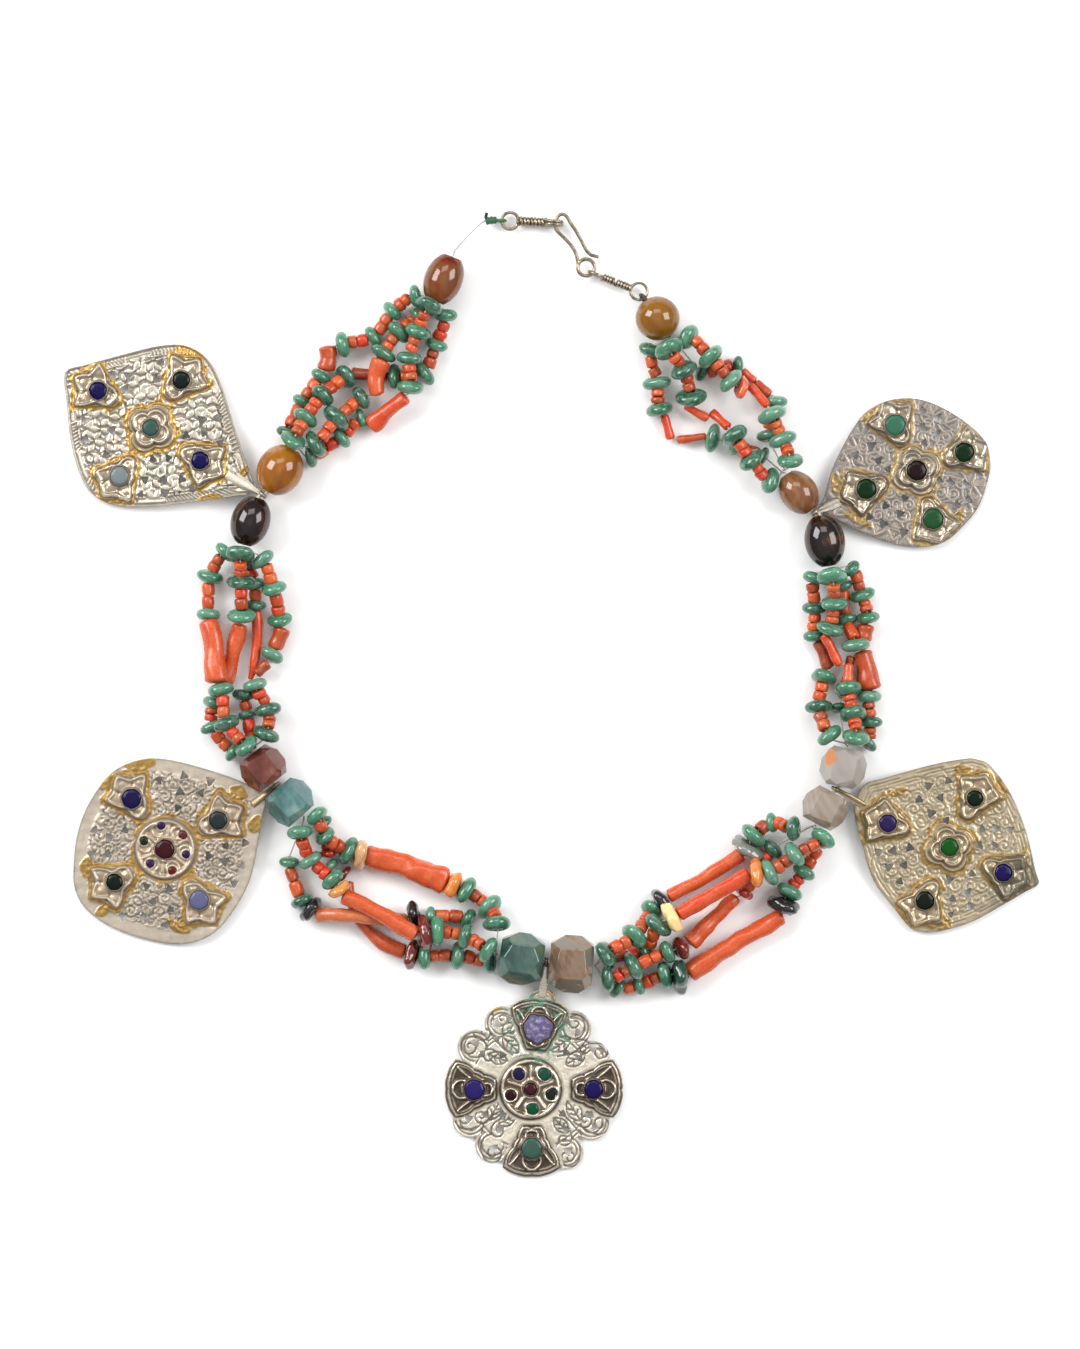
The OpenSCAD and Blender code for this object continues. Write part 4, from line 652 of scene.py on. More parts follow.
# Sections: the agate before, the agate after, the four strands, and +1 or -1 for the sense of the
# agates' holes
SECTIONS = [
    [1, 2, [STRAND_1_A, STRAND_1_B, STRAND_1_C, STRAND_1_D], 1],
    [3, 4, [STRAND_2_A, STRAND_2_B, STRAND_2_C, STRAND_2_D], 1],
    [5, 6, [STRAND_3_A, STRAND_3_B, STRAND_3_C, STRAND_3_D], 1],
    [7, 8, [STRAND_4_A, STRAND_4_B, STRAND_4_C, STRAND_4_D], 1],
    [10, 9, [STRAND_5_A, STRAND_5_B, STRAND_5_C, STRAND_5_D], -1],
    [12, 11, [STRAND_6_A, STRAND_6_B, STRAND_6_C, STRAND_6_D], -1]]

# Pendants: middle x, y, direction of the bail, reach away from the bail, bail ring x, y and hole direction,
# then the foot of the bail strip x, y
PENDANTS = [
    [-128, 85, -31, 33.2, -92.3, 63.7, 226, -103, 70],
    [-123.5, -49.5, 28, 36.5, -88, -29.1, 307, -95, -34.6],
    [-6.5, -126.5, 84.5, 29.5, -1.7, -85.6, 356, -2.9, -96],
    [127, -49, 153, 33.6, 90.9, -30.4, 62, 99.2, -35.2],
    [116.5, 71.5, 201.6, 29.6, 84.2, 58.1, 138, 91.5, 61.4]]

# Plate outlines, x and y from the pendant's middle
OUTLINE_1 = [
    [-27.8, 18], [-21, 20.5], [-10, 23.5], [2.5, 26.5], [11, 26.5], [18, 22], [22.5, 13.5], [26, 2.5],
    [30, -10],
    [33.5, -20.5], [28, -21.5], [14, -23.5], [0, -25], [-12, -24.5], [-19, -21], [-23, -14.5], [-26, -3.5],
    [-27.2, 8]]
OUTLINE_2 = [
    [32, 16], [30.5, 7.5], [28.5, -4.5], [25.5, -13.5], [19, -23.5], [12, -29], [2, -30.5], [-13, -27],
    [-24, -21], [-29, -13.5], [-29.5, -4.5], [-28, 6], [-24, 15.5], [-17, 24.5], [-8, 28.5], [1, 28.5],
    [14.5, 25], [25.5, 21], [30, 18.2]]
OUTLINE_4 = [
    [-30, 13.6], [-29.6, 8], [-28, 2], [-24, -10.5], [-17, -20], [-12, -26], [-8, -27], [-3, -27], [7.5, -24],
    [18.5, -18], [24.5, -14.5], [29, -11.8], [28, -7.5], [25, 5], [20, 17], [13.5, 26], [9.5, 28],
    [5.5, 28.3],
    [-5.5, 26.3], [-21, 22], [-27, 20]]
OUTLINE_5 = [
    [-30.5, -12], [-29, -7.5], [-26.5, 1], [-21.5, 11], [-16, 18.5], [-8.5, 22.5], [0.5, 23], [9, 20],
    [17.5, 14.5], [22.5, 9], [24, 3], [23.5, -2], [20.5, -11], [15.5, -17.5], [9, -23], [0, -24.5],
    [-10.5, -22.5], [-21, -18], [-28, -14]]
# Lobes round the edge of the third plate: direction and distance of each circle
LOBES_3 = [[114, 23], [143, 22.5], [207, 21.9], [235.6, 21.8], [299, 22.9], [331, 22.1], [27, 21.9],
           [55, 23.8]]
LOBE_R = 5.6

# Settings of each plate: x, y, stone radius, outward direction, kind of boss
SETTINGS_1 = [
    [-145, 97, 2.6, 150, TULIP], [-118.3, 100.3, 2.6, 50, TULIP], [-112.2, 74.6, 2.6, -33, TULIP],
    [-138.1, 69.7, 2.75, 232, TULIP], [-128.1, 85.1, 2.45, 58, QUATREFOIL]]
SETTINGS_2 = [
    [-134.2, -33.4, 2.9, 123, TULIP], [-106.4, -40.3, 2.7, 28, TULIP], [-139.7, -60.1, 2.45, 213, TULIP],
    [-112.6, -65.8, 2.85, -56, TULIP], [-123.6, -49.6, 2.85, 0, DISC]]
SETTINGS_3 = [
    [-4.3, -106.8, 4.6, 85, TRAPEZE], [-24.7, -126.4, 3, 180, TRAPEZE], [13.5, -126.3, 2.8, 0, TRAPEZE],
    [-6.3, -145.3, 3.1, 270, TRAPEZE], [-6.7, -126.3, 1.9, 0, DISC]]
SETTINGS_4 = [
    [107.4, -41.2, 2.6, 159, TULIP], [135.3, -33.3, 2.4, 63, TULIP], [144.5, -57.1, 2.6, -25, TULIP],
    [119.3, -66, 2.75, 245, TULIP], [127.2, -48.9, 2.65, 20, QUATREFOIL]]
SETTINGS_5 = [
    [109.8, 86, 3.05, 115, TULIP], [132, 77.3, 2.85, 21, TULIP], [100.5, 65.5, 2.95, 200, TULIP],
    [121.9, 56, 3.05, -71, TULIP], [116.7, 71.4, 2.95, 25, QUATREFOIL]]

# Piercings of each plate: x, y, radius
HOLES_1 = [
    [-125, 106.1, 1], [-140.5, 102.3, 1], [-135.5, 101.8, 1], [-136.6, 97.6, 1.1], [-126.4, 100.6, 1],
    [-111.7, 87.5, 1.2], [-107, 88.4, 0.9], [-116.9, 82.7, 1], [-111.2, 83.4, 0.9], [-105.9, 80.3, 1],
    [-149.2, 81.4, 1.1], [-142.7, 76.9, 0.9], [-130.1, 68.6, 1], [-124.3, 68.4, 1.1], [-118.2, 68.6, 1],
    [-123.6, 64.3, 1], [-131.4, 63.8, 0.9], [-114.8, 65.6, 0.9], [-149.2, 87.6, 1], [-140.6, 84.4, 1.1],
    [-127.5, 75, 0.9], [-122.6, 75.5, 0.9]]
HOLES_2 = [
    [-146.2, -43.6, 1], [-141.6, -46, 1.1], [-147.2, -51.4, 1], [-142.2, -51.2, 1], [-130.4, -71.4, 1.1],
    [-137.2, -71.4, 1], [-123.4, -73.9, 1], [-117.6, -26.1, 1], [-109.1, -27.8, 1.1], [-112.2, -31.6, 1],
    [-118.8, -31.4, 1.1], [-119.6, -36.4, 0.9], [-125.6, -27.4, 0.9], [-136.6, -43.6, 0.9],
    [-109.6, -51.9, 1],
    [-104.6, -53.5, 1.1], [-99, -54.9, 1], [-98, -47.6, 1], [-101.5, -60.6, 1], [-104.2, -48.6, 0.9],
    [-122.4, -62.6, 1], [-129.6, -61.6, 0.9], [-127.6, -66.6, 1], [-121.9, -69, 0.9]]
HOLES_3 = [
    [-17.7, -105.5, 1.2], [-13.6, -103.8, 0.9], [-24.2, -111.6, 1.1], [-22.4, -115.4, 0.9],
    [-15.6, -115.6, 0.9],
    [-17.4, -110.4, 0.9], [4.8, -104.6, 1], [8.5, -108.4, 1], [13.2, -113.1, 1.1], [9, -116.6, 0.9],
    [4.6, -114.6, 0.9], [-26.6, -136, 1.1], [-21.3, -134.6, 0.9], [-15.6, -134.6, 0.9], [-16.6, -139.4, 1],
    [-18.4, -145.6, 1.1], [3.6, -134.4, 0.9], [4.6, -139.6, 1], [5.4, -146.4, 1.1], [12.4, -134.8, 1],
    [13.7, -138.8, 0.9]]
HOLES_4 = [
    [126.9, -27.8, 0.9], [120.6, -29.4, 1], [124.4, -33.2, 1], [117.6, -33.8, 1], [121.4, -38.2, 1.1],
    [126.3, -40.4, 0.9], [137.8, -43.4, 1], [142.1, -43, 1.1], [146.9, -43.6, 0.9], [136.9, -48.6, 1],
    [141.9, -48.6, 0.9], [104.6, -50.6, 1], [109.2, -50.2, 1.1], [114.6, -49.2, 1], [107.8, -55.4, 1],
    [112.8, -54.8, 1], [134.6, -57.6, 0.9], [127.4, -59.4, 1], [133.1, -63.6, 1.1], [128.4, -65.7, 0.9],
    [134.2, -68, 1], [127.8, -70.6, 0.8], [111.4, -60, 0.9]]
HOLES_5 = [
    [118.6, 90.6, 1], [123.9, 88, 1.1], [118.8, 85.4, 1], [123.6, 83.2, 1], [119.4, 80.4, 0.9],
    [100.4, 84.2, 0.9], [102.4, 79.4, 1.1], [97.2, 76.4, 1], [104.6, 74.6, 1], [107.6, 72, 0.9],
    [127.7, 67.6, 1], [132.6, 66.9, 1.1], [137, 69.8, 0.9], [124.2, 68.3, 0.9], [133.4, 62.1, 1],
    [129.8, 60.6, 0.9], [113, 62.6, 0.9], [111.4, 57.6, 1], [112.6, 51.6, 1.1], [106.1, 54.4, 1],
    [101.6, 56.6, 0.9], [106.9, 60.2, 0.9]]

# Boss outlines, one half: angle from the outward direction, distance from the stone's middle
TULIP_EDGE = [
    [0, 9.3], [16, 8], [31, 7.4], [46, 7.9], [62, 9.2], [72, 7.6], [85, 6], [105, 5.2], [130, 5.2],
    [150, 6.2],
    [165, 7.3], [180, 7.7]]
TRAPEZE_EDGE = [[0, 9.3], [28, 10], [56, 11.3], [90, 6.8], [125, 6.2], [156, 8.2], [180, 7.6]]
# Rough outline of the raw stone of the third pendant: angle and radius
RAW_STONE = [[0, 4.7], [38, 4.9], [75, 4.4], [112, 4.7], [150, 4.6], [190, 4.9], [228, 4.3], [270, 4.6],
             [318, 4.5]]


# Strands of beads
def agate_pos(n):
    row = AGATES[n - 1]
    low = row[4] / 2 * (0.866 if row[5] == CUT else 1)
    return np.array([row[0], row[1], max(AXIS_Z, low + 0.1)])


def agate_end(n, side, past):
    row = AGATES[n - 1]
    return agate_pos(n) + side * (row[3] / 2 + past) * plan(row[2])


def place_of(row):
    return np.array(row[:3], float)


def strand_route(section, rows):
    """Where the thread leaves the first gather, each bead, and where it enters the last gather."""
    ends = []
    for agate, side, row in ((section[0], section[3], rows[0]), (section[1], -section[3], rows[-1])):
        g, d = agate_end(agate, side, GATHER), plan(AGATES[agate - 1][2])
        w = place_of(row) - g
        ends.append(g + unit(w - d * np.dot(w, d)))
    return [ends[0]] + [place_of(r) for r in rows] + [ends[1]]


def lean_axis(d, lean):
    """Axis of a bead: the run of the thread, tipped up or down by lean degrees."""
    h = unit([d[0], d[1], 0])
    a = math.asin(d[2]) + math.radians(lean)
    return h * math.cos(a) + np.array([0, 0, math.sin(a)])


def lane(section, rows):
    """Points of the thread along one strand and the stretches that carry coral seeds."""
    q = strand_route(section, rows)
    n = len(rows)
    stops = []
    for i, row in enumerate(rows):
        p = q[i + 1]
        if row[3] in (GREEN, CHIP):
            axis = lean_axis(unit(q[i + 2] - q[i]), row[5])
            half = row[4] * (GREEN_THICK if row[3] == GREEN else CHIP_THICK) / 2 + 0.1
        elif row[3] == VIA:
            axis, half = unit(q[i + 2] - q[i]), 0.0
        elif row[6] == BRANCH:
            axis, half = unit(q[i + 2] - p), END_HALF
        else:
            axis, half = unit(p - q[i]), END_HALF
        stops.append((p, axis, half))
    route, seeds = [q[0]], []
    for i, (p, axis, half) in enumerate(stops):
        route += [p - axis * half, p, p + axis * half]
        a, b, after = p + axis * half, q[n + 1], None
        if i < n - 1:
            p, after, half = stops[i + 1]
            b = p - after * half
        if rows[i][6] > 0:
            d = unit(b - a)
            turns = (axis, d if after is None else after)
            room = [0.35 * CORAL_R * np.linalg.norm(np.cross(v, d)) for v in turns]
            seeds.append((a + d * room[0], b - d * room[1], rows[i][6]))
    return route + [q[n + 1]], seeds


# Half length of the straight piece of thread at each end of a branch
END_HALF = 0.55
# Radius to which the ends of a branch are rounded off
HOLE_R = 0.55
LETTERS = "abcd"
GREEN_TINTS = [srgb(48, 104, 76), srgb(62, 118, 90), srgb(36, 88, 64), srgb(80, 128, 104), srgb(26, 74, 54),
               srgb(56, 110, 84)]
CORAL_TINTS = [srgb(186, 71, 26), srgb(198, 84, 33), srgb(168, 60, 22), srgb(178, 82, 38), srgb(152, 64, 28),
               srgb(188, 50, 22)]
TAN, ORANGE, AMBER, DARK_RED = srgb(190, 150, 110), srgb(206, 120, 52), srgb(196, 132, 66), srgb(92, 24, 16)
RED, BLACK, SMOKE, CREAM = srgb(150, 34, 20), srgb(24, 24, 26), srgb(110, 116, 112), srgb(226, 198, 142)
DARK_GREEN, ROSE = srgb(22, 62, 50), srgb(214, 92, 58)
CHIP_TINTS = {
    "3a": [TAN, ORANGE], "3b": [AMBER, DARK_RED], "3c": [BLACK, BLACK], "3d": [RED, DARK_RED, DARK_RED],
    "4a": [BLACK, SMOKE], "4b": [CREAM, ORANGE], "4c": [DARK_RED, RED], "4d": [DARK_GREEN, BLACK],
    "6c": [ROSE]}
BRIGHT, SALMON, PALE = srgb(194, 64, 24), srgb(192, 78, 34), srgb(186, 104, 62)
RUST, BROWN = srgb(164, 65, 26), srgb(132, 52, 24)
# Tint and share of dark specks of each branch along its strand
BRANCH_TINTS = {
    "1a": [(RUST, 0.3)], "1b": [(BRIGHT, 0.6)], "1c": [(SALMON, 0.2)], "1d": [(BROWN, 0.9)],
    "2a": [(SALMON, 0.3)], "2b": [(SALMON, 0.2)], "2c": [(BRIGHT, 0.2)], "2d": [(RUST, 0.9), (BROWN, 0.5)],
    "3a": [(SALMON, 0.25)], "3b": [(SALMON, 0.3)], "3c": [(PALE, 0.3)], "3d": [(RUST, 0.6)],
    "4a": [(SALMON, 0.6)], "4b": [(BRIGHT, 0.6)], "4c": [(SALMON, 0.3)], "4d": [(SALMON, 0.4)],
    "5a": [(BROWN, 0.6)], "5b": [(BRIGHT, 0.1), (SALMON, 0.1)], "5c": [(BROWN, 0.5)],
    "5d": [(RUST, 0.8), (RUST, 0.7)], "6a": [(BRIGHT, 0.2), (RUST, 0.4)],
    "6b": [(BRIGHT, 0.1), (BRIGHT, 0.2)],
    "6c": [(BRIGHT, 0.2)], "6d": [(BRIGHT, 0.2), (RUST, 0.3)]}
# Waist of a branch at shares of its length
WAIST_AT = [0, 0.12, 0.25, 0.5, 0.75, 0.88, 1]
WAIST = [0.96, 1, 1, 0.92, 1.03, 1.02, 0.98]


def branch_path(a, v, b, bow, n):
    """From a to b, bowed sideways, or by way of v."""
    d = unit(b - a)
    side = unit([-d[1], d[0], 0])
    t = np.linspace(0, 1, n)[:, None]
    if v is None:
        return a * (1 - t) + b * t + side * bow * np.sin(math.pi * t)
    return a * (1 - t) * (1 - 2 * t) + v * 4 * t * (1 - t) + b * t * (2 * t - 1)


def coral_branch(body, rows, tint, specks, seed):
    """A knobbly piece of coral along its route, its ends rounded off round the hole."""
    a, b = place_of(rows[0]), place_of(rows[-1])
    v = place_of(rows[1]) if len(rows) == 3 else None
    past = unit(b - a) * 0.9
    a, b = a - past, b + past
    length = np.linalg.norm(b - a)
    n = max(16, int(length * (2.6)))
    t = np.linspace(0, 1, n)
    path = branch_path(a, v, b, rows[0][5], n)
    radius = 1.03 * np.interp(t, WAIST_AT, WAIST) * (rows[0][4] + (rows[-1][4] - rows[0][4]) * t)
    round_off = 0.4 * min(radius[0], radius[-1])
    edge = np.clip(np.minimum(t, 1 - t) * length / round_off, 0, 1)
    radius = HOLE_R + (radius - HOLE_R) * np.sqrt(1 - (1 - edge) ** 2)
    rings = sweep_rings(path, radius, 24)
    grow = 1 + 0.12 * waves(rings.reshape(-1, 3), seed, 7.0)
    centre = path[:, None]
    body.tube(centre + (rings - centre) * grow.reshape(n, -1, 1), 1, [*tint, specks])


def strand(s, k, materials):
    section = SECTIONS[s]
    rows = section[2][k]
    key = "%d%s" % (s + 1, LETTERS[k])
    name = "strand_%d_%s" % (s + 1, LETTERS[k])
    q = strand_route(section, rows)
    body = Body(name + "_look")
    chips = iter(CHIP_TINTS.get(key, []))
    branches = iter(BRANCH_TINTS[key])
    around = 26
    for i, row in enumerate(rows):
        seed = 1000 * s + 100 * k + 7 * i
        rng = np.random.default_rng(seed)
        axis = lean_axis(unit(q[i + 2] - q[i]), row[5])
        if row[3] == GREEN:
            profile = lens_profile(row[4] * GREEN_THICK * 0.6, row[4] * 1.05, 0.4)
            tint = np.array(GREEN_TINTS[rng.integers(6)]) * rng.uniform(0.85, 1.15)
            spin(body, q[i + 1], axis, profile, around, 0, tint, 0.06, 6.0, seed, 0.05)
        elif row[3] == CHIP:
            profile = lens_profile(row[4] * CHIP_THICK * 0.775, row[4] * 1.06, 0.4, 0.6)
            spin(body, q[i + 1], axis, profile, around, 2, next(chips), 0.12, 3.6, seed, 0.12)
        elif row[3] == END and row[6] == BRANCH:
            piece = rows[i:i + 3] if rows[i + 1][3] == VIA else rows[i:i + 2]
            coral_branch(body, piece, *next(branches), seed)
    body.build(materials, [name])


def coral_seeds(body, a, b, count, rng):
    """Small barrels of unlike length in a row from a to b."""
    share = rng.uniform(0.85, 1.15, count)
    cuts = np.concatenate([[0], np.cumsum(share / share.sum())])
    d = unit(b - a)
    full = np.linalg.norm(b - a)
    for m in range(count):
        lo, hi = a + d * full * cuts[m], a + d * full * cuts[m + 1]
        half = np.linalg.norm(hi - lo) / 2 - 0.02
        axis = unit(d + rng.normal(size=3) * 0.07)
        tint = [*(np.array(CORAL_TINTS[rng.integers(6)]) * rng.uniform(0.88, 1.1)), rng.uniform(0, 0.5)]
        profile = barrel_profile(half, CORAL_R * rng.uniform(1.1, 1.26), 0.35)
        lumps = int(rng.integers(1e6))
        spin(body, (lo + hi) / 2, axis, profile, 20, 0, tint, 0.05, 3.0, lumps, 0.03)


def string_of(s, materials):
    """The thread of a section, four runs there and back, with its small coral barrels."""
    section = SECTIONS[s]
    name = "string_%d" % (s + 1)
    body = Body(name + "_look")
    far_1 = agate_end(section[1], -section[3], GATHER - 0.8)
    far_2 = agate_end(section[1], -section[3], GATHER + 0.3)
    near = agate_end(section[0], section[3], GATHER - 0.8)
    route = []
    for k, turn in enumerate(([far_1], [near], [far_2], [])):
        points, seeds = lane(section, section[2][k])
        route += (points if k % 2 == 0 else points[::-1]) + turn
        for j, (a, b, count) in enumerate(seeds):
            coral_seeds(body, a, b, count, np.random.default_rng(9000 + 100 * s + 20 * k + j))
    body.tube(sweep_rings(np.array(route), 0.24, 8), 1, srgb(196, 186, 172))
    body.build(materials, [name])


def bead_materials():
    glass, g = material("green_glass_look")
    cloud = g.step(g.noise(420, 4, 0.6, 0.8), 0.38, 0.68)
    vein = g.step(g.noise(900, 3, 0.6, 1.5), 0.58, 0.7)
    colour = g.mix(g.times(cloud, 0.4), g.tint(), srgb(116, 156, 134))
    colour = g.mix(g.times(vein, 0.5), colour, srgb(30, 84, 58))
    g.surface(Base_Color=colour, Roughness=g.step(g.noise(2600, 2), 0.3, 0.7, 0.12, 0.26),
              Subsurface_Weight=0.12, Subsurface_Radius=(0.6, 1.0, 0.7), Subsurface_Scale=0.0012,
              Coat_Weight=0.4, Coat_Roughness=0.08, Normal=g.bump(g.noise(700, 3), 0.25, 0.0002))

    coral, g = material("coral_look")
    node = g.attribute("tint")
    tint, share = node.outputs["Color"], node.outputs["Alpha"]
    pale = g.step(g.noise(260, 4, 0.6, 0.5), 0.42, 0.75)
    colour = g.mix(g.times(pale, 0.28), tint, srgb(222, 138, 96))
    grain = g.step(g.noise(800, 5, 0.7, 1.0), 0.35, 0.62)
    colour = g.mix(g.times(grain, 0.25), colour, srgb(166, 50, 22))
    low = g.math("SUBTRACT", 0.74, g.times(share, 0.16))
    speck = g.times(g.step(g.math("SUBTRACT", g.noise(560, 6, 0.75, 1.2), low), 0.0, 0.035), 0.9)
    colour = g.mix(speck, colour, srgb(58, 26, 20))
    height = g.math("SUBTRACT", g.noise(1500, 4), speck)
    g.surface(Base_Color=colour, Roughness=g.step(g.noise(900, 3), 0.3, 0.7, 0.2, 0.36),
              Subsurface_Weight=0.05, Subsurface_Radius=(1.0, 0.4, 0.2), Subsurface_Scale=0.0008,
              Normal=g.bump(height, 0.1, 0.00012))

    chip, g = material("chip_look")
    band = g.step(g.noise(480, 5, 0.6, 2.5), 0.35, 0.65)
    colour = g.mix(g.times(band, 0.45), g.tint(), srgb(240, 200, 160), "SOFT_LIGHT")
    colour = g.mix(g.step(g.noise(1100, 3), 0.6, 0.75, 0, 0.4), colour, srgb(20, 14, 12))
    g.surface(Base_Color=colour, Roughness=0.12, Subsurface_Weight=0.1, Subsurface_Scale=0.001,
              Coat_Weight=0.5, Coat_Roughness=0.06, Normal=g.bump(g.noise(800, 3), 0.2, 0.0002))

    thread = thread_material("thread_look", (5000, 3), 0.35, (140, 120, 96), "MULTIPLY", 0.8, (0.5, 0.0001))
    return glass, coral, chip, thread


def thread_material(name, twist, strength, dark, mode, roughness, bump):
    """Twisted thread: its tint, darker between the plies."""
    mat, g = material(name)
    ply = g.noise(*twist)
    colour = g.mix(g.step(ply, 0.3, 0.7, 0, strength), g.tint(), srgb(*dark), mode)
    g.surface(Base_Color=colour, Roughness=roughness, Normal=g.bump(ply, *bump))
    return mat


GLASS, CORAL, CHIP_STONE, THREAD = bead_materials()
for s in range(len(SECTIONS)):
    for k in range(len(LETTERS)):
        strand(s, k, [GLASS, CORAL, CHIP_STONE])
    string_of(s, [CORAL, THREAD])


# Agate beads
# Each stone: tint stops from low to high, size of its cloud in 1/m, bands, and how far it shines through
AGATE_LOOKS = {
    1: ([(0.3, (88, 48, 20)), (0.47, (110, 64, 28)), (0.56, (114, 46, 10)), (0.66, (88, 20, 4))], 95, 0.0,
        0.25),
    2: ([(0.25, (108, 54, 4)), (0.45, (134, 76, 8)), (0.6, (152, 96, 18)), (0.75, (168, 122, 44))], 70, 0.3,
        0.35),
    3: ([(0.3, (12, 6, 4)), (0.5, (28, 13, 9)), (0.62, (58, 26, 14)), (0.75, (32, 15, 11))], 110, 0.4, 0.05),
    4: ([(0.3, (74, 29, 20)), (0.5, (98, 44, 34)), (0.62, (112, 60, 46)), (0.75, (128, 82, 71))], 100, 0.2,
        0.1),
    5: ([(0.3, (50, 88, 86)), (0.5, (74, 110, 108)), (0.62, (100, 130, 126)), (0.75, (126, 140, 132))],
        90, 0.3, 0.1),
    6: ([(0.3, (36, 64, 58)), (0.48, (62, 90, 82)), (0.6, (96, 98, 74)), (0.75, (50, 78, 70))], 110, 0.2,
        0.1),
    7: ([(0.3, (84, 62, 46)), (0.44, (122, 98, 78)), (0.54, (102, 104, 96)), (0.66, (136, 90, 54))],
        100, 0.3, 0.15),
    8: ([(0.3, (150, 140, 130)), (0.5, (136, 124, 112)), (0.62, (140, 106, 70)), (0.68, (156, 148, 140))],
        80, 0.7, 0.3),
    9: ([(0.3, (156, 152, 146)), (0.54, (144, 138, 130)), (0.66, (140, 104, 72)), (0.74, (152, 148, 142))],
        70, 0.2, 0.3),
    10: ([(0.35, (14, 7, 5)), (0.52, (28, 14, 8)), (0.62, (84, 46, 14)), (0.75, (38, 10, 6))], 120, 0.5,
         0.05),
    11: ([(0.3, (90, 50, 28)), (0.5, (112, 70, 40)), (0.62, (132, 92, 58)), (0.75, (94, 52, 30))], 90, 0.3,
         0.15),
    12: ([(0.3, (112, 66, 8)), (0.48, (128, 84, 18)), (0.6, (120, 76, 14)), (0.75, (144, 106, 44))],
         60, 0.4, 0.3)}
# The agate with an orange eye, and the eye's place
EYE_AGATE, EYE = 9, (88.9, -20.2, 11.4)
BORE = 1.1


def agate_material(n):
    stops, size, bands, glow = AGATE_LOOKS[n]
    mat, g = material("agate_%d_look" % n)
    shift = tuple(-agate_pos(n) * MM + np.array([0.37, 0.21, 0.11]) * n * 0.01)
    local = g.put("ShaderNodeMapping", None, Vector=g.place(), Location=shift).outputs[0]
    cloud = g.noise(size, 4, 0.55, 0.6, local)
    rings = {"wave_type": "RINGS", "rings_direction": "SPHERICAL"}
    wave = g.put("ShaderNodeTexWave", rings, Vector=local, Scale=size * 1.6, Distortion=3.5, Detail=2.0)
    wave = g.math("SUBTRACT", wave.outputs["Fac"], 0.5)
    value = g.math("ADD", cloud, g.times(wave, 0.16 * bands))
    ramp = g.put("ShaderNodeValToRGB")
    band = ramp.color_ramp
    while len(band.elements) < len(stops):
        band.elements.new(0.5)
    for element, (at, colour) in zip(band.elements, stops):
        element.position = at
        element.color = (*srgb(*colour), 1)
    g.feed(ramp.inputs[0], value)
    flaw = g.step(g.noise(size * 9, 5, 0.7, 1.0, local), 0.66, 0.72, 0, 0.35)
    colour = g.mix(flaw, ramp.outputs[0], srgb(70, 52, 40), "MULTIPLY")
    if n == EYE_AGATE:
        away = g.math("ADD", g.distance(EYE), g.times(g.noise(300, 3), 0.0014))
        colour = g.mix(g.step(away, 0.0028, 0.0042, 1, 0), colour, srgb(186, 112, 34))
    g.surface(Base_Color=colour, Roughness=g.step(g.noise(1800, 3), 0.3, 0.8, 0.06, 0.16),
              Subsurface_Weight=glow, Subsurface_Radius=(1.0, 0.7, 0.5), Subsurface_Scale=0.0025,
              Coat_Weight=0.15, Coat_Roughness=0.04, Normal=g.bump(g.noise(420, 3), 0.12, 0.0003))
    return mat


def trim(work, n):
    """Cuts six slopes at both ends of a faceted bead, no two alike."""
    row = AGATES[n - 1]
    length, width = row[3:5]
    rng = np.random.default_rng(70 + n)
    centre, axis = agate_pos(n) * MM, plan(row[2])
    across = np.array([-axis[1], axis[0], 0])
    for end in (-1, 1):
        for k in range(6):
            a = math.radians(60 * k + rng.uniform(-7, 7))
            out = across * math.cos(a) + np.array([0, 0, 1]) * math.sin(a)
            large = k % 3 == 0
            back = length * (0.34 if large else 0.17) * rng.uniform(0.85, 1.15)
            down = width * (0.16 if large else 0.15) * rng.uniform(0.85, 1.15)
            normal = unit(axis * end * down + out * back)
            spot = axis * end * length / 2 + out * (width / 2 - down)
            geom = [*work.verts, *work.edges, *work.faces]
            res = bmesh.ops.bisect_plane(work, geom=geom, dist=1e-6, plane_co=Vector(centre + spot * MM),
                                         plane_no=Vector(normal), clear_outer=True)
            rim = [e for e in res["geom_cut"] if isinstance(e, bmesh.types.BMEdge)]
            if rim:
                bmesh.ops.holes_fill(work, edges=rim, sides=0)


def simplify(work, near):
    bmesh.ops.remove_doubles(work, verts=work.verts, dist=near)
    bmesh.ops.dissolve_limit(work, angle_limit=math.radians(1.5), verts=work.verts, edges=work.edges)


def cut_stone(n, mat):
    """The faceted bead: the frame's own solid with its edges worn round."""
    name = "agate_%d" % n
    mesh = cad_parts[name].data.copy()
    mesh.name = name + "_look"
    work = bmesh.new()
    work.from_mesh(mesh)
    simplify(work, 2e-6)
    trim(work, n)
    simplify(work, 4e-5)
    bmesh.ops.recalc_face_normals(work, faces=work.faces)
    sharp = [e for e in work.edges if len(e.link_faces) == 2 and e.calc_face_angle(0) > math.radians(12)
             and e.calc_length() > 0.0008]
    bmesh.ops.bevel(work, geom=sharp, offset=0.0004, segments=3, profile=0.6, affect="EDGES",
                    clamp_overlap=True)
    work.to_mesh(mesh)
    work.free()
    mesh.materials.clear()
    mesh.materials.append(mat)
    mesh.shade_smooth()
    mesh.set_sharp_from_angle(angle=math.radians(14))
    put_object(mesh.name, mesh, [name])


